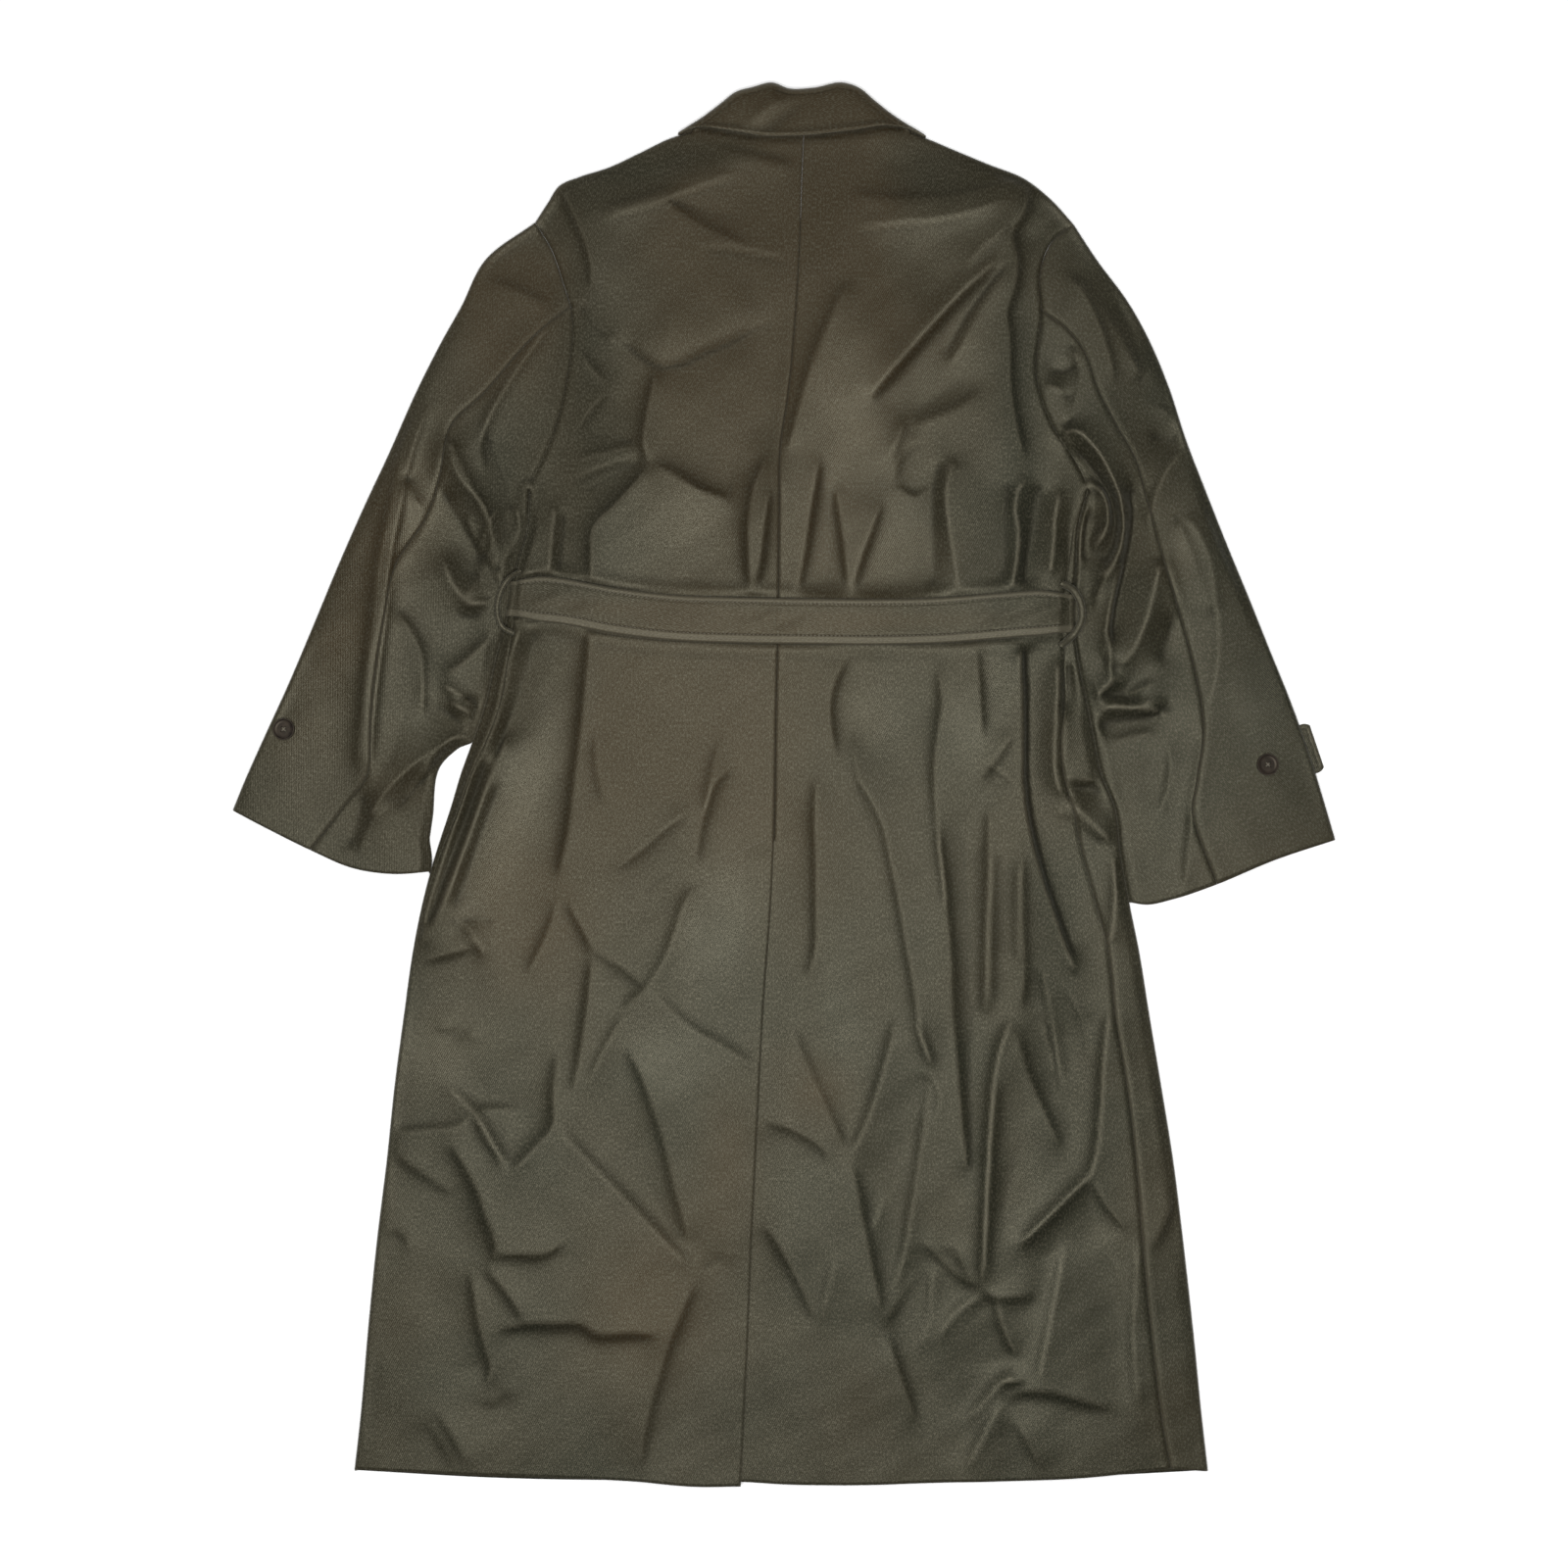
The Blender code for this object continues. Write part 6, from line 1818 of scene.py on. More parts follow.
@dataclass(frozen=True)
class ThreadFinish(Finish):
    """Sewing thread a little lighter than the cloth."""

    name: str = "sewing_thread"
    light: Colour = (0.150, 0.132, 0.098)
    dark: Colour = (0.06, 0.055, 0.04)

    def paint(self, kit: NodeKit) -> None:
        """Paint the thread with its twisted ply.

        Args:
            kit: the material's nodes.
        """
        ply = kit.noise(kit.place(), 1500.0, 2.0)
        colour = kit.mix((ply * 0.6).clamped(), self.light, self.dark)
        kit.paint(Base_Color=colour, Roughness=0.7, Normal=kit.bump(ply, 0.4, 0.0002))


@dataclass(frozen=True)
class ButtonFinish(Finish):
    """Polished dark brown button with faint streaks."""

    name: str = "button_horn"
    dark: Colour = (0.010, 0.008, 0.007)
    light: Colour = (0.034, 0.025, 0.019)
    specular_tint: Colour = (1.0, 0.86, 0.66)

    def paint(self, kit: NodeKit) -> None:
        """Paint the button with its streaks.

        Args:
            kit: the material's nodes.
        """
        streak = kit.noise(kit.place(), 160.0, 4.0, 0.6)
        colour = kit.mix(((streak - 0.4) * 2.0).clamped(), self.dark, self.light)
        kit.paint(Base_Color=colour, Roughness=(streak * 0.2 + 0.34).clamped(), Specular_IOR_Level=0.22,
                  Specular_Tint=self.specular_tint)


@dataclass(frozen=True)
class FloorFinish(Finish):
    """Plain white backdrop."""

    name: str = "white_floor"
    white: Colour = (0.93, 0.93, 0.93)
    glow: float = 0.12

    def paint(self, kit: NodeKit) -> None:
        """Paint the floor with its faint glow."""
        kit.paint(Base_Color=self.white, Roughness=0.9, Specular_IOR_Level=0.1,
                  Emission_Color=(1.0, 1.0, 1.0), Emission_Strength=self.glow)


@dataclass
class Panel:
    """What a back half and a front share."""

    cut: HalfCut
    lay: CoatLay
    mesher: Mesher

    def seat(self, plan: Array, points: Array, through: Array, side: float) -> None:
        """Set the shoulder row and the underarm half a seam's gap above or below the folded edge's middle.

        Args:
            plan: the panel's places in plan.
            points: the panel's points, changed in place.
            through: the panel's wall vectors, changed in place.
            side: 0.5 for the back and -0.5 for a front.
        """
        distance, inward = self.lay.edge_distance(plan[0])
        on_edge = distance < SEAM_GAP
        points[0, on_edge, 2] = EDGE_ROLL + side * SEAM_GAP
        through[0, on_edge] = CLOTH * np.column_stack([inward, np.zeros(len(inward))])[on_edge]
        points[self.mesher.upper_rows - 1, -1, 2] = EDGE_ROLL + side * SEAM_GAP


@dataclass
class BackPanel(Panel):
    """Half of the back. The right half carries the vent's underlap."""

    size: tuple[float, float] = (0.36, 1.20)
    cut_area: float = 0.335
    neck_share: float = 0.38
    vent_drop: float = 2.5
    vent_lead: float = 90.0
    vent_width: float = 43.0

    def plan(self) -> Array:
        """Places in plan, in rows and columns from the centre seam."""
        half_gap = self.cut.half.value * SEAM_GAP / 2

        def seam(level: Array) -> Array:
            """The centre seam, half a gap to this side."""
            return np.stack([centre_x(level) + half_gap, level], axis=-1)

        return self.mesher.body(self.cut, self.cut.neck, self.neck_share, self.mesher.column_step, seam, 1.0,
                                self.cut.hem)

    def surface(self) -> tuple[Array, Array, Array]:
        """Plan, points and wall vectors of the panel.

        Returns:
            The three grids.
        """
        plan = self.plan()
        points, through = self.lay.top(plan)
        self.seat(plan, points, through, 0.5)
        return plan, points, through

    def build(self, wool: Material) -> Piece:
        """Build and dress the panel.

        Args:
            wool: the cloth's finish.

        Returns:
            The object.
        """
        plan, points, through = self.surface()
        shell = Shell()
        if self.cut.half is Half.RIGHT:
            beyond = plan[..., 0] - centre_x(plan[..., 1])
            sunk = ease((VENT_LEVEL + self.vent_lead - plan[..., 1]) / self.vent_lead)
            points[..., 2] -= self.vent_drop * ease((34.0 - beyond) / 30.0) * sunk
        numbers = shell.add_points(points, through, plan)
        shell.add_grid(numbers)
        if self.cut.half is Half.RIGHT:
            self.add_underlap(shell, numbers[self.mesher.vent_row:, 0])
        label = self.cut.half.label
        return shell.build(f"back_{label}", wool, self.size, self.cut_area, [f"front_{label}"])

    def add_underlap(self, shell: Shell, edge: Array) -> None:
        """The strip under the left half at the vent: the left half's points moved down.

        Args:
            shell: the right half under construction.
            edge: numbers of the points along the vent.
        """
        columns = int(self.vent_width / self.mesher.column_step)
        pick = (slice(self.mesher.vent_row, None), slice(1, columns + 1))
        plan, points, through = (part[pick] for part in BackPanel(LEFT, self.lay, self.mesher).surface())
        numbers = shell.add_points(points - (0.0, 0.0, self.vent_drop), through, plan)
        shell.add_grid(np.column_stack([edge, numbers]))


@dataclass
class FrontPanel(Panel):
    """A front: flat beneath, round the side and up to the side seam."""

    size: tuple[float, float] = (0.43, 1.19)
    cut_area: float = 0.40
    neck_share: float = 0.48
    column_step: float = 12.0
    wrap_columns: int = 14

    def build(self, wool: Material) -> Piece:
        """Build and dress the front.

        Args:
            wool: the cloth's finish.

        Returns:
            The object.
        """
        half = self.cut.half
        edge_x = FRONT_EDGE if half is Half.LEFT else FRONT_EDGE - FRONT_LAP

        def inner(level: Array) -> Array:
            """The straight front edge."""
            return np.stack([np.full(np.shape(level), edge_x), level], axis=-1)

        plan = self.mesher.body(self.cut, self.cut.neckline, self.neck_share, self.column_step, inner, 0.0,
                                FRONT_HEM)
        points, through = self.lay.under(plan, half is Half.RIGHT)
        self.seat(plan, points, through, -0.5)
        side = slice(self.mesher.upper_rows, None)
        points[side, -1, 2] = EDGE_ROLL
        shell = Shell()
        numbers = shell.add_points(points, through, plan)
        shell.add_grid(numbers)
        self.add_wrap(shell, plan[side, -1], numbers[side, -1])
        return shell.build(f"front_{half.label}", wool, self.size, self.cut_area, ["floor"])

    def add_wrap(self, shell: Shell, edge: Array, edge_numbers: Array) -> None:
        """The strip from the folded side up to the side seam.

        Args:
            shell: the front under construction.
            edge: the folded side in plan.
            edge_numbers: numbers of its points.
        """
        back = BackPanel(self.cut, self.lay, self.mesher).plan()
        seam = back[self.mesher.upper_rows:, -1] + np.array([self.cut.half.value * SEAM_GAP, 0.0])
        share = (np.arange(1, self.wrap_columns + 1) / self.wrap_columns) ** 1.6
        strip = edge[:, None] + (seam - edge)[:, None] * share[None, :, None]
        numbers = shell.add_points(*self.lay.top(strip), strip)
        shell.add_grid(np.column_stack([edge_numbers, numbers]))


@dataclass
class Sleeve:
    """A two-piece sleeve: a flattened tube with a folded edge on each piece."""

    cut: HalfCut
    lay: CoatLay
    mesher: Mesher
    top_size: tuple[float, float] = (0.20, 0.60)
    under_size: tuple[float, float] = (0.27, 0.52)
    fullness: float = 0.75
    grain_turn: float = 24.0

    def build(self, wool: Material) -> list[Piece]:
        """Build and dress both pieces."""
        sizes = (self.top_size, self.under_size)
        return [self.build_part(part, size, wool) for part, size in zip(SleevePart, sizes)]

    def build_part(self, part: SleevePart, size: tuple[float, float], wool: Material) -> Piece:
        """Build one piece: its upper side, its folded edge and its underside.

        Args:
            part: the piece.
            size: width and length of its cut.
            wool: the cloth's finish.

        Returns:
            The object.
        """
        plan = self.mesher.sleeve(self.cut, part)
        turn = math.radians(self.grain_turn) * self.cut.half.value
        grain = plan @ np.array([[math.cos(turn), -math.sin(turn)], [math.sin(turn), math.cos(turn)]])
        points, through = self.lay.top(plan)
        points[:, 0, 2] = EDGE_ROLL
        below, below_through = self.lay.under(plan)
        last = plan.shape[1] - 1
        columns = np.unique(np.append(np.arange(1, last, 2), last))
        shell = Shell()
        numbers = shell.add_points(points, through, grain)
        shell.add_grid(numbers)
        under_numbers = shell.add_points(below[:, columns], below_through[:, columns], grain[:, columns])
        shell.add_grid(np.column_stack([numbers[:, 0], under_numbers]))
        node = f"sleeve_{self.cut.half.label}_{part.name.lower()}"
        return shell.build(node, wool, size, self.fullness * size[0] * size[1], ["floor"])


@dataclass
class Collar:
    """The turned collar: its fall over the back, the stand behind it and a leaf under each front."""

    roll: float = 6.5
    gap: float = 1.2
    columns: int = 220
    rows: int = 22
    turn_rows: int = 9
    lip: float = 1.1
    dent_middle: Spot = Spot(-14.0, 592.0)
    dent_way: Spot = Spot(0.78, 0.62)
    top_stretch: tuple[float, float] = (-44.0, 66.0)
    stand_foot: tuple[float, float] = (584.5, 7.0)
    size: tuple[float, float] = (0.30, 0.16)
    cut_area: float = 0.024

    def build(self, wool: Material) -> Piece:
        """Build and dress the collar.

        Args:
            wool: the cloth's finish.

        Returns:
            The object.
        """
        share = np.linspace(0.0, 1.0, self.columns)
        lower = Curve(FALL_EDGE).at(share)
        upper = Curve(ROLL_LINE, 400).at(share)
        down = 1.0 - np.linspace(1.0, 0.0, self.rows) ** 1.7
        plan = lower[None] + (upper - lower)[None] * down[:, None, None]
        shell = Shell()
        numbers = shell.add_points(*self.fall(plan), plan[..., ::-1])
        shell.add_grid(numbers)
        turned = self.add_turn(shell, numbers[-1], upper)
        x = upper[:, 0]
        on_top = (x > self.top_stretch[0]) & (x < self.top_stretch[1])
        foot = np.column_stack([x[on_top], np.tile(self.stand_foot, (on_top.sum(), 1))])
        self.add_under_row(shell, turned[on_top], foot)
        for cut in CUTS.values():
            ends = np.flatnonzero(~on_top & (np.sign(x - MIDDLE) == cut.half.value))
            along = np.linspace(0.0, 1.0, len(ends))[::-cut.half.value, None]
            first, last = np.array(cut.leaf_tip)
            tip = first + along * (last - first)
            self.add_under_row(shell, turned[ends], np.column_stack([tip, np.zeros(len(ends))]))
        return shell.build("collar", wool, self.size, self.cut_area, ["back_left", "back_right"])

    def fall(self, plan: Array) -> tuple[Array, Array]:
        """The fall over the back.

        Args:
            plan: places in plan, in any grid.

        Returns:
            The points and the vectors through the wall, in the same grid.
        """
        places = plan.reshape(-1, 2)
        near = nearest(places, Curve(ROLL_LINE, 200).line[::-1])
        cosine, sine = roll(near.distance, self.roll)
        run = np.maximum(near.distance - self.roll, 0.0)
        climb = LOFT + CLOTH + self.gap - 2 * self.roll
        height = self.roll * (1.0 + sine) + climb * (1.0 - np.exp(-run / 6.0))
        edge = nearest(places, Curve(FALL_EDGE, 120).line).distance
        height += self.lip * bell(edge, 3.0) * np.clip(run / 6.0, 0.0, 1.0)
        height += self.dent(places) * np.clip(run / 10.0, 0.0, 1.0)
        return walled(plan, height, near.off * cosine[:, None], -sine)

    def dent(self, places: Array) -> Array:
        """The slanting dent in the fall, with the flat it leaves beside it.

        Args:
            places: places in plan.

        Returns:
            Height at each place.
        """
        away = places - np.array(self.dent_middle)
        along = away @ np.array(self.dent_way)
        across = away @ np.array([self.dent_way.y, -self.dent_way.x])
        return (1.4 * bell(across, 8.0) - 1.6 * bell(across - 15.0, 7.0)) * bell(along, 26.0)

    def add_turn(self, shell: Shell, numbers: Array, upper: Array) -> Array:
        """The turn from the line along the collar's top down to the surface.

        Args:
            shell: the collar under construction.
            numbers: the line's points.
            upper: the line in plan.

        Returns:
            Numbers of the points at the foot of the turn.
        """
        inward = nearest(upper, Curve(ROLL_LINE, 200).line[::-1]).off
        rows = [numbers]
        for turn in np.radians(np.linspace(0.0, 90.0, self.turn_rows))[1:]:
            place = upper + inward * self.roll * (1.0 - math.cos(turn))
            height = np.full(len(upper), self.roll * (1.0 - math.sin(turn)))
            wall = walled(place, height, inward * math.cos(turn), np.full(len(upper), math.sin(turn)))
            rows.append(shell.add_points(*wall, place))
        shell.add_grid(np.array(rows))
        return rows[-1]

    def add_under_row(self, shell: Shell, numbers: Array, ends: Array) -> None:
        """The stand or a leaf: from the foot of the turn to its end."""
        row = shell.add_points(ends, np.tile([0.0, 0.0, CLOTH], (len(ends), 1)), ends[:, :2])
        shell.add_grid(np.array([numbers, row]))


@dataclass
class Belt:
    """The belt: one strip from its end beneath, round the right side, the back and the left side."""

    lay: CoatLay
    gap: float = 0.5
    ends: tuple[float, float] = (-150.0, -100.0)
    lines: int = 41
    turn_lines: int = 31
    stitch_insets: tuple[float, float, float] = (3.4, 7.6, 4.4)
    stitch_lift: float = 0.15
    groove: float = 0.5
    # Painted highlight on the belt's stitched edge bands, written as their bend
    edge_highlight: float = 1.2
    buckles: tuple[float, ...] = (-205.0, -20.0, 175.0, 228.0)
    size: tuple[float, float] = (0.04, 1.12)

    def __post_init__(self) -> None:
        """Work out the strip's lines, as offsets from its middle, and the sides it turns round."""
        self.offsets = np.linspace(-0.5, 0.5, self.lines) * BELT_WIDTH
        self.left, self.right = (float(side_x(half, np.array([BELT_LEVEL]))[0]) for half in Half)

    def band(self, offsets: Array) -> Array:
        """Width of the topstitched edge that is nearer to each offset."""
        return np.where(offsets < 0, self.stitch_insets[1], self.stitch_insets[2])

    def relief(self, offsets: Array) -> Array:
        """The topstitched edge: a groove at the stitches, with the seam allowance raised beside it.

        Args:
            offsets: distances from the belt's middle.

        Returns:
            Height at each one.
        """
        inset = BELT_WIDTH / 2 - np.abs(offsets)
        band = self.band(offsets)
        raised = 0.9 * (1.0 - ease(inset - band + 0.5)) - 0.8 * bell(inset, 0.8)
        inner = np.where(offsets < 0, 0.4 * bell(inset - self.stitch_insets[0], 0.7), 0.0)
        return raised - inner - self.groove * bell(inset - band - 0.8, 0.8)

    def slack(self, x: Array, offsets: Array) -> Array:
        """Soft waves of the belt where it isn't pulled flat.

        Args:
            x: places along the belt.
            offsets: distances from its middle.

        Returns:
            Height at each place.
        """
        wave = 0.8 + 0.5 * np.sin(x / 31.0 + offsets / 19.0) + 0.4 * np.sin(x / 17.0 - offsets / 11.0)
        for place in self.buckles:
            away = (x - place - 1.6 * offsets) / 12.0
            wave = wave + bell(offsets, 9.0) * (bell(away, 1.0) - bell(away - 1.8, 1.0))
        return wave

    def pinched(self, x: Array, offsets: Array) -> Array:
        """Places in plan on the belt, which is drawn together where it enters its loops."""
        return np.stack([x, belt_y(x) + offsets * belt_half(x) * 2.0 / BELT_WIDTH], axis=-1)

    def beneath(self, x: Array, lifted: Array | float) -> tuple[Array, Array]:
        """Lines across the belt under the coat, with their wall vectors.

        Args:
            x: places along the belt.
            lifted: height of each line, or of all of them.

        Returns:
            The points and the wall vectors.
        """
        x, offsets = np.broadcast_arrays(x[:, None], self.offsets)
        points = np.stack([x, belt_y(x) + offsets, np.zeros_like(x)], axis=-1)
        points[..., 2] += np.reshape(lifted, (-1, 1))
        return points, np.broadcast_to([0.0, 0.0, CLOTH], points.shape)

    def on_back(self, x: Array, offsets: Array) -> Array:
        """Points of the belt's face on the back.

        Args:
            x: places along the belt.
            offsets: distances from its middle.

        Returns:
            The points.
        """
        points, _ = self.lay.top(self.pinched(x, offsets))
        points[..., 2] += self.gap + CLOTH + self.relief(offsets) + self.slack(x, offsets)
        return points

    def turn(self, half: Half) -> tuple[Array, Array]:
        """The belt's turn round a side, from the underside to the top.

        Args:
            half: the side.

        Returns:
            Lines across the belt and their wall vectors.
        """
        middle = side_x(half, np.full(self.lines, BELT_LEVEL))
        y = self.pinched(middle, self.offsets)[:, 1]
        wide = EDGE_ROLL + self.gap + CLOTH
        bend = np.radians(np.linspace(-90.0, 90.0, self.turn_lines))[:, None]
        x = side_x(half, y) - half.value * (EDGE_ROLL - wide * np.cos(bend))
        z = EDGE_ROLL + np.where(bend > 0, wide, EDGE_ROLL) * np.sin(bend)
        points = np.stack(np.broadcast_arrays(x, y, z), axis=-1)
        through = np.stack([-half.value * np.cos(bend), np.zeros_like(bend), -np.sin(bend)], axis=-1)
        return points, np.broadcast_to(CLOTH * through, points.shape)

    def build(self, wool: Material) -> Piece:
        """Build and dress the belt.

        Args:
            wool: the cloth's finish.

        Returns:
            The object.
        """
        across = np.arange(self.right - 10.0, self.left + 9.0, -2.5)
        back = self.on_back(*np.broadcast_arrays(across[:, None], self.offsets))
        end = np.arange(self.left + 14.0, self.ends[1], 6.0)
        stretches = (
            self.beneath(np.arange(self.ends[0], self.right - 14.0, 10.0), 0.0),
            self.turn(Half.RIGHT),
            (back, np.broadcast_to([0.0, 0.0, -CLOTH], back.shape)),
            tuple(part[::-1] for part in self.turn(Half.LEFT)),
            self.beneath(end, LAYER * ease((end - self.ends[0] + 22.0) / 18.0)),
        )
        points, through = (np.concatenate(part) for part in zip(*stretches))
        run = run_along(points[:, self.lines // 2])
        grain = np.stack(np.broadcast_arrays(self.offsets, run[:, None]), axis=-1)
        shell = Shell()
        shell.add_grid(shell.add_points(points, through, grain))
        piece = shell.build("belt", wool, self.size, self.size[0] * self.size[1], ["back_left", "back_right"])
        # Painted highlight: the stitched edge bands are lightened by raising their bend, as on a ridge
        edge = BELT_WIDTH / 2 - np.abs(self.offsets) < self.band(self.offsets)
        tone = np.tile(np.where(edge, self.edge_highlight, 0.0), 2 * len(points))
        bend = np.empty(len(tone), dtype=np.float32)
        piece.data.attributes["bend"].data.foreach_get("value", bend)
        write_values(piece.data, "bend", np.maximum(bend, tone))
        return piece

    def stitch_routes(self) -> list[Array]:
        """Routes of the topstitching across the back: two rows at the lower edge and one at the upper.

        Returns:
            The points of each route.
        """
        x = np.arange(self.left + 12.0, self.right - 12.0, 1.0)
        routes = []
        for sign, inset in zip((-1.0, -1.0, 1.0), self.stitch_insets):
            offsets = np.full(len(x), sign * (BELT_WIDTH / 2 - inset))
            routes.append(self.on_back(x, offsets) + (0.0, 0.0, self.stitch_lift))
        return routes


@dataclass
class Stitching:
    """Rows of sewing stitches, each a small bead of thread."""

    name: str
    routes: list[Array]
    length: float = 2.6
    pitch: float = 3.6
    radius: float = 0.3

    def build(self, thread: Material) -> Piece:
        """Build and dress the stitches as one piece: one bead, copied along the routes.

        Args:
            thread: the thread's finish.

        Returns:
            The object.
        """
        bpy.ops.object.select_all(action="DESELECT")
        bpy.ops.mesh.primitive_uv_sphere_add(segments=6, ring_count=4, radius=1.0)
        bead = bpy.context.active_object
        shape = np.array([vertex.co for vertex in bead.data.vertices])
        faces = [tuple(face.vertices) for face in bead.data.polygons]
        bpy.data.objects.remove(bead)
        beads = np.concatenate([self.beads(route, shape) for route in self.routes])
        polygons = [tuple(corner + k * len(shape) for corner in face)
                    for k in range(len(beads)) for face in faces]
        piece = new_piece(self.name, beads.reshape(-1, 3), polygons)
        place_piece(piece, thread, Slot.CLOTH)
        return piece

    def beads(self, route: Array, shape: Array) -> Array:
        """Points of the beads along one route.

        Args:
            route: points of the route.
            shape: points of a bead.

        Returns:
            The points of each bead.
        """
        run = run_along(route)
        places = np.arange(self.pitch / 2, run[-1] - self.pitch / 2, self.pitch)
        centre, beyond = (np.stack([np.interp(places + lead, run, column) for column in route.T], axis=-1)
                          for lead in (0.0, 1.0))
        ahead = unit(beyond - centre)
        across = unit(np.stack([-ahead[:, 1], ahead[:, 0], np.zeros(len(ahead))], axis=-1))
        upward = np.cross(ahead, across)
        axes = np.stack([across * self.radius, upward * self.radius, ahead * self.length / 2], axis=1)
        return centre[:, None] + shape @ axes


@dataclass
class BeltLoop:
    """A side loop: a twisted cord of cloth from above the belt, past its edge, to below it."""

    cut: HalfCut
    lay: CoatLay
    points: int = 40
    clear: float = 3.2
    # Painted highlight: the cord's bend is set to this, so the wool's finish lightens all of it like a ridge
    tone: float = 0.9

    def build(self, wool: Material) -> Piece:
        """Build and dress the loop.

        Args:
            wool: the cloth's finish.

        Returns:
            The object.
        """
        radius = self.cut.loop_radius
        share = np.linspace(0.0, 1.0, self.points)
        plan = Curve(self.cut.loop).at(share)
        seats, _ = self.lay.top(plan[[0, -1]])
        ends = seats[0, 2] + (seats[1, 2] - seats[0, 2]) * share + SEAM_GAP + radius
        height = ends + (LOFT + self.clear + radius - ends) * between(share, 0.0, 1.0, 0.2)
        name = f"belt_loop_{self.cut.half.label}"
        line = bpy.data.curves.new(f"{name}_line", "CURVE")
        line.dimensions = "3D"
        line.bevel_depth = radius * MM
        line.bevel_resolution = 3
        line.use_fill_caps = True
        stroke = line.splines.new("POLY")
        stroke.points.add(self.points - 1)
        for point, place in zip(stroke.points, np.column_stack([plan, height]) * MM):
            point.co = (*place, 1.0)
        piece = bpy.data.objects.new(f"{name}_cord", line)
        bpy.context.scene.collection.objects.link(piece)
        bpy.ops.object.select_all(action="DESELECT")
        piece.select_set(True)
        bpy.context.view_layer.objects.active = piece
        bpy.ops.object.convert(target="MESH")
        piece = bpy.context.active_object
        piece.data.shade_smooth()
        self.write_grain(piece.data)
        place_piece(piece, wool, Slot.CLOTH, name)
        return piece

    def write_grain(self, mesh: bpy.types.Mesh) -> None:
        """Give the cord a grain so that the weave runs along it, and a painted highlight over all of it.

        Args:
            mesh: the cord's mesh.
        """
        for layer in list(mesh.uv_layers):
            mesh.uv_layers.remove(layer)
        layer = mesh.uv_layers.new(name="grain")
        for corner in mesh.loops:
            place = mesh.vertices[corner.vertex_index].co
            layer.data[corner.index].uv = (place.x + place.z, place.y)
        write_values(mesh, "bend", np.full(len(mesh.vertices), self.tone))


@dataclass
class CuffTab:
    """An unbuttoned cuff tab, flat under the sleeve."""

    cut: HalfCut
    length: float = 80.0
    width: float = 45.0
    corner: float = 3.0
    stitch_inset: float = 5.0
    fullness: float = 0.99

    def build(self, wool: Material) -> Piece:
        """Build and dress the tab.

        Args:
            wool: the cloth's finish.

        Returns:
            The object.
        """
        origin, inward, along = tab_frame(self.cut)
        half = self.width / 2
        deep = np.linspace(-self.cut.tab_reach, self.length, 60)[:, None]
        wide = np.linspace(-half, half, 40)[None]
        from_end = deep + self.cut.tab_reach
        squeeze = 1.0 - self.corner * np.clip(1.0 - from_end / 6.0, 0.0, 1.0) ** 2 / half
        plan = origin + deep[..., None] * inward + (wide * squeeze)[..., None] * along
        inset = np.minimum(half - np.abs(wide), from_end)
        dip = 0.35 * bell(inset - self.stitch_inset, 0.9) + 0.8 * bell(inset, 0.8)
        points = np.concatenate([plan, (CLOTH - dip)[..., None]], axis=-1)
        shell = Shell()
        shell.add_grid(shell.add_points(points, points * (0.0, 0.0, -1.0), plan))
        size = ((self.length + self.cut.tab_reach) * MM, self.width * MM)
        node = f"cuff_tab_{self.cut.half.label}"
        return shell.build(node, wool, size, self.fullness * size[0] * size[1], ["floor"])


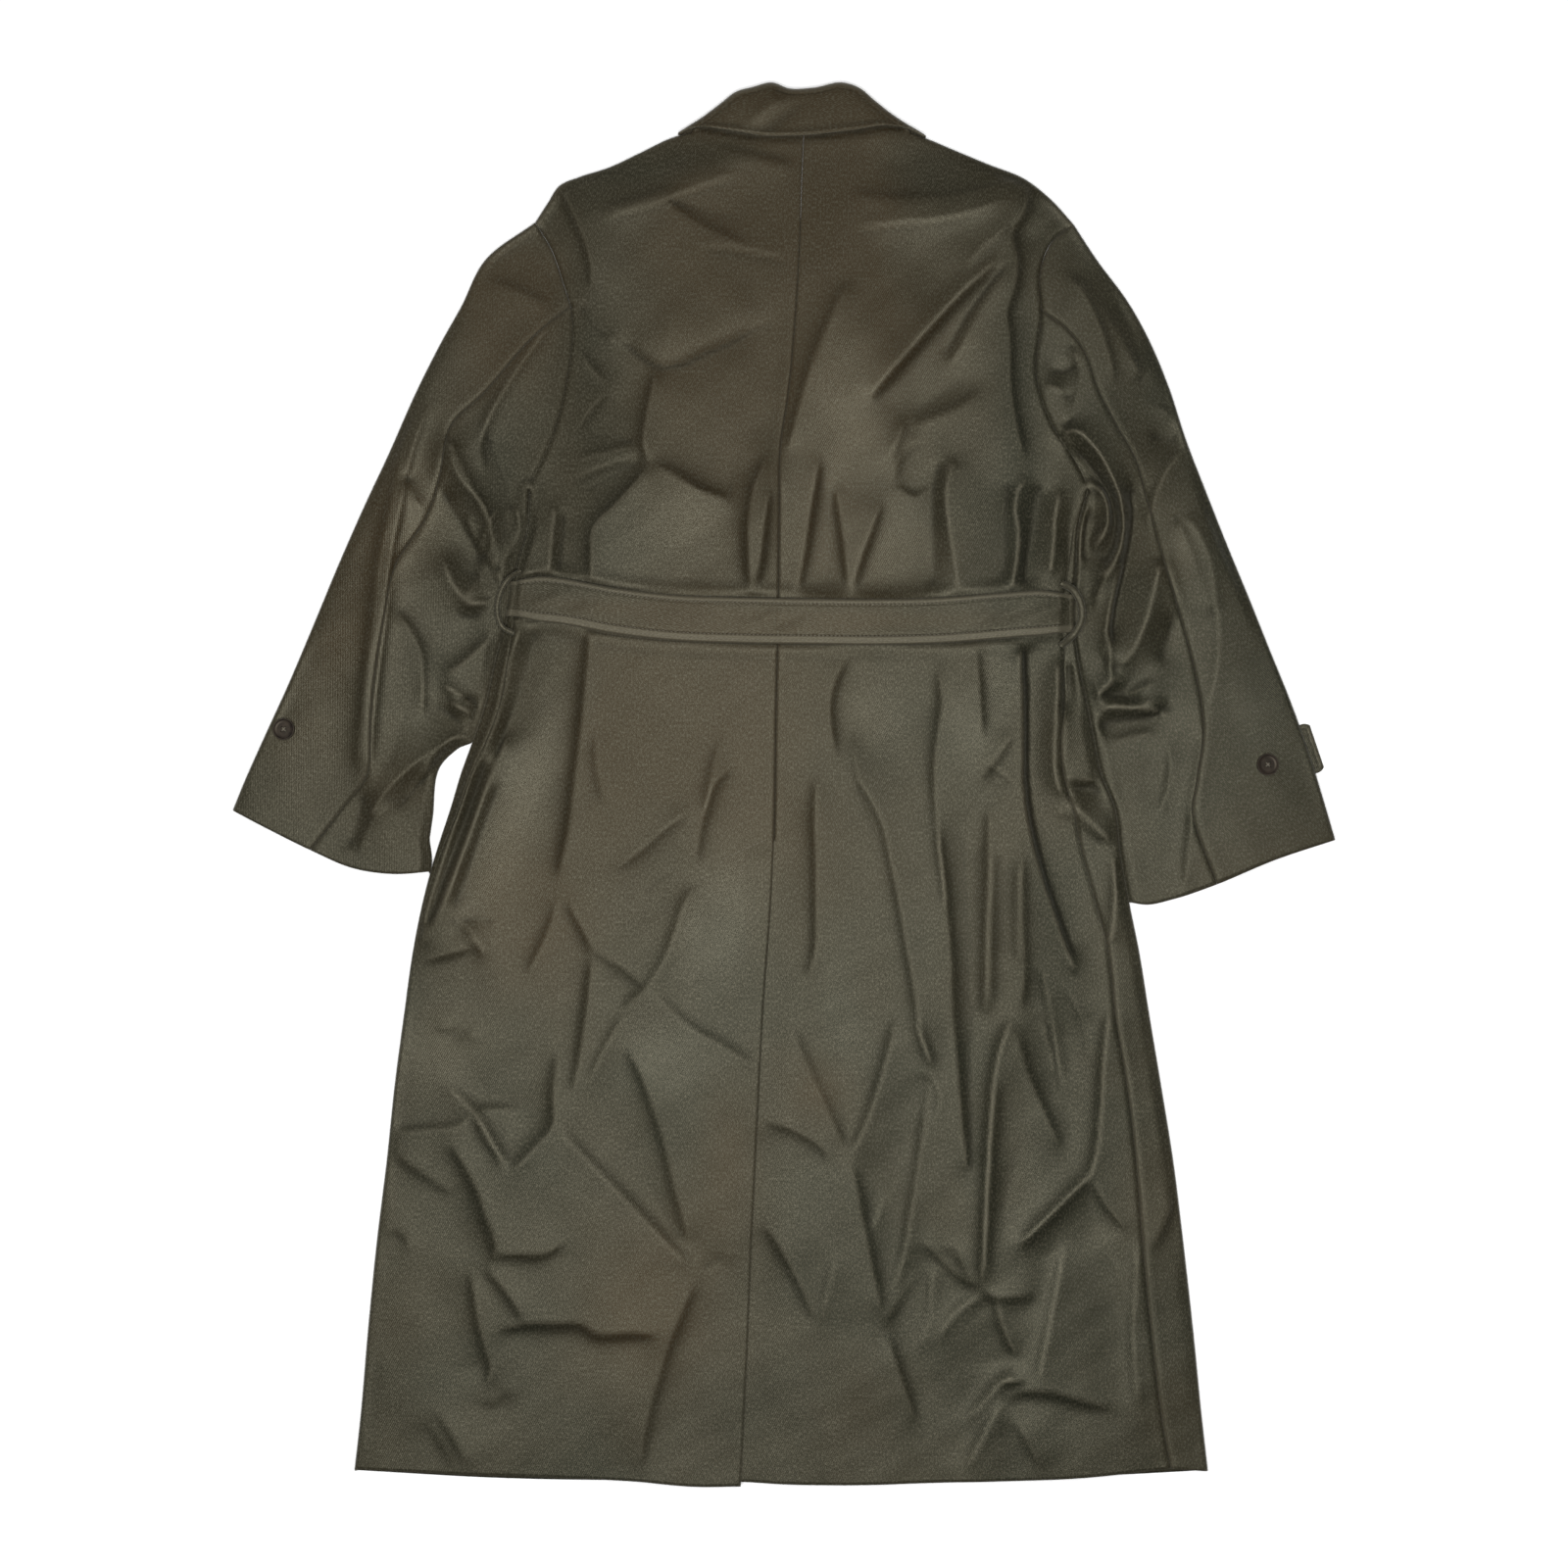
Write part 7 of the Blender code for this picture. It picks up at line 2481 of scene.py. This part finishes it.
@dataclass
class CuffButton:
    """A four-hole button with a raised rim, sewn on with crossed thread."""

    cut: HalfCut
    lay: CoatLay
    radius: float = 9.5
    thickness: float = 3.4
    rim: float = 1.9
    dish: float = 0.9
    well: float = 0.35
    hole: float = 0.95
    hole_spacing: float = 3.3
    soft_edge: float = 0.35
    thread_spread: float = 0.25

    def seat(self) -> tuple[Vector, Matrix]:
        """The middle of the button's foot and its turn, from the cloth under it.

        Returns:
            The place and the turn.
        """
        around = np.array([[1, 0], [-1, 0], [0, 1], [0, -1], [0, 0]], dtype=float) * self.radius
        heights = self.lay.top(np.array(self.cut.button) + around)[0][:, 2]
        slope_x = (heights[0] - heights[1]) / (2 * self.radius)
        slope_y = (heights[2] - heights[3]) / (2 * self.radius)
        foot = max(heights.max() - abs(slope_x) * self.radius, heights[4]) + SEAM_GAP + 0.5
        axis = Vector((-slope_x, -slope_y, 1.0)).normalized()
        return Vector((*self.cut.button, foot)), UP.rotation_difference(axis).to_matrix()

    def hole_ways(self) -> list[Vector]:
        """Places of the four holes from the button's middle."""
        angles = [math.radians(45.0 + 90.0 * k) for k in range(4)]
        return [Vector((math.cos(a), math.sin(a), 0.0)) * self.hole_spacing / math.sqrt(2.0) for a in angles]

    def build(self, horn: Material, thread: Material) -> list[Piece]:
        """Build and dress the button and its thread.

        Args:
            horn: the button's finish.
            thread: the thread's finish.

        Returns:
            The objects.
        """
        foot, turn = self.seat()
        name = f"cuff_button_{self.cut.half.label}"
        bpy.ops.object.select_all(action="DESELECT")
        bpy.ops.mesh.primitive_cylinder_add(vertices=64, radius=self.radius * MM, depth=self.thickness * MM,
                                            location=(0.0, 0.0, self.thickness * MM / 2))
        piece = bpy.context.active_object
        piece.name = f"{name}_disc"
        bpy.ops.object.transform_apply(location=True, rotation=True, scale=True)
        self.shape_faces(piece)
        for way in self.hole_ways():
            self.cut_hole(piece, way)
        edge = piece.modifiers.new("soft_edge", "BEVEL")
        edge.width = self.soft_edge * MM
        edge.segments = 3
        edge.limit_method = "ANGLE"
        bpy.ops.object.modifier_apply(modifier=edge.name)
        bpy.ops.object.shade_smooth_by_angle(angle=math.radians(40.0))
        piece.data.transform(Matrix.Translation(foot * MM) @ turn.to_4x4())
        place_piece(piece, horn, Slot.BUTTON, name)
        routes = self.thread_routes(foot, turn)
        return [piece, Stitching(f"{name}_thread", routes, length=1.0, pitch=0.55).build(thread)]

    def shape_faces(self, piece: Piece) -> None:
        """Inset the top face, sink it to leave the rim, and narrow the foot.

        Args:
            piece: the button.
        """
        top_insets = ((0.45 * self.rim, 0.0), (0.55 * self.rim, -self.dish), (1.6, -self.well))
        foot_insets = ((0.8, 0.0),)
        bpy.context.view_layer.objects.active = piece
        bpy.ops.object.mode_set(mode="EDIT")
        for pick, insets in ((max, top_insets), (min, foot_insets)):
            bpy.ops.mesh.select_all(action="DESELECT")
            model = bmesh.from_edit_mesh(piece.data)
            pick(model.faces, key=lambda face: face.calc_center_median().z).select_set(True)
            bmesh.update_edit_mesh(piece.data)
            for thickness, depth in insets:
                bpy.ops.mesh.inset(thickness=thickness * MM, depth=depth * MM)
        bpy.ops.object.mode_set(mode="OBJECT")

    def cut_hole(self, piece: Piece, way: Vector) -> None:
        """Drill one hole through the button.

        Args:
            piece: the button.
            way: the hole's place from the button's middle.
        """
        bpy.ops.object.select_all(action="DESELECT")
        bpy.ops.mesh.primitive_cylinder_add(vertices=20, radius=self.hole * MM, depth=4 * self.thickness * MM,
                                            location=way * MM)
        drill = bpy.context.active_object
        bpy.context.view_layer.objects.active = piece
        hole = piece.modifiers.new("hole", "BOOLEAN")
        hole.operation = "DIFFERENCE"
        hole.object = drill
        bpy.ops.object.modifier_apply(modifier=hole.name)
        bpy.data.objects.remove(drill)

    def thread_routes(self, foot: Vector, turn: Matrix) -> list[Array]:
        """Routes of the crossed thread through the holes: two strands each way.

        Args:
            foot: middle of the button's foot.
            turn: the button's turn.

        Returns:
            The routes.
        """
        face = self.thickness - self.dish - self.well + 0.3
        run = np.linspace(-1.0, 1.0, 9)
        routes = []
        for way in self.hole_ways()[:2]:
            side = way.cross(UP).normalized() * self.thread_spread
            for strand in (side, -side):
                places = [way * s + strand + UP * (face - 0.9 * s ** 4) for s in run]
                routes.append(np.array([tuple(foot + turn @ place) for place in places]))
        return routes


@dataclass
class Studio:
    """Floor, light and camera of the photograph."""

    floor_size: float = 9.0
    floor_drop: float = 0.5
    camera_height: float = 2.61
    lens: float = 68.0
    sensor: float = 36.0
    box_power: float = 66.0
    box_place: tuple[float, float, float] = (0.0, -0.18, 2.2)
    box_size: float = 1.5
    key_strength: float = 0.5
    key_from: float = 130.0
    key_elevation: float = 36.0
    key_softness: float = 20.0
    fill: float = 0.05

    def staged(self, name: str) -> Piece:
        """Name the object that was made last.

        Args:
            name: its name.

        Returns:
            The object.
        """
        made = bpy.context.active_object
        made.name = name
        return made

    def build(self, finish: Material) -> None:
        """Set the stage.

        Args:
            finish: the floor's finish.
        """
        bpy.ops.object.select_all(action="DESELECT")
        bpy.ops.mesh.primitive_plane_add(size=self.floor_size, location=(0.0, 0.0, -self.floor_drop * MM))
        self.staged("floor").data.materials.append(finish)
        aim = (math.radians(90.0 - self.key_elevation), 0.0, math.radians(self.key_from + 90.0))
        bpy.ops.object.light_add(type="SUN", location=(0.0, 0.0, 2.0), rotation=aim)
        key = self.staged("key_light").data
        key.energy = self.key_strength
        key.angle = math.radians(self.key_softness)
        bpy.ops.object.light_add(type="AREA", location=self.box_place)
        box = self.staged("soft_box").data
        box.shape = "DISK"
        box.size = self.box_size
        box.energy = self.box_power
        world = bpy.data.worlds.new("soft_fill")
        world.use_nodes = True
        backdrop = world.node_tree.nodes["Background"].inputs
        backdrop["Color"].default_value = (1.0, 1.0, 1.0, 1.0)
        backdrop["Strength"].default_value = self.fill
        scene = bpy.context.scene
        scene.world = world
        bpy.ops.object.camera_add(location=(0.0, 0.0, self.camera_height), rotation=(0.0, 0.0, 0.0))
        scene.camera = bpy.context.active_object
        scene.camera.name = "camera"
        scene.camera.data.lens = self.lens
        scene.camera.data.sensor_width = self.sensor
        scene.camera.data.clip_end = 50.0
        scene.view_settings.view_transform = "Standard"
        scene.view_settings.look = "None"


def vent_stitch(lay: CoatLay) -> Array:
    """Route of the slanted row of stitches that holds the top of the vent."""
    x = np.linspace(-54.0, -12.0, 40)
    return lay.top(np.column_stack([x, np.linspace(-66.0, -47.0, 40)]))[0] + (0.0, 0.0, 0.1)


def main() -> None:
    """Build the coat piece by piece, then the stage."""
    logging.basicConfig(level=logging.INFO, format="%(name)s: %(message)s")
    wool = WoolFinish().make()
    thread = ThreadFinish().make()
    horn = ButtonFinish().make()
    lay = CoatLay()
    mesher = Mesher()
    for cut in CUTS.values():
        BackPanel(cut, lay, mesher).build(wool)
        FrontPanel(cut, lay, mesher).build(wool)
        Sleeve(cut, lay, mesher).build(wool)
        BeltLoop(cut, lay).build(wool)
        CuffTab(cut).build(wool)
        CuffButton(cut, lay).build(horn, thread)
    Collar().build(wool)
    belt = Belt(lay)
    belt.build(wool)
    Stitching("belt_stitches", belt.stitch_routes()).build(thread)
    Stitching("vent_stitches", [vent_stitch(lay)]).build(thread)
    Studio().build(FloorFinish().make())


if __name__ == "__main__":
    main()
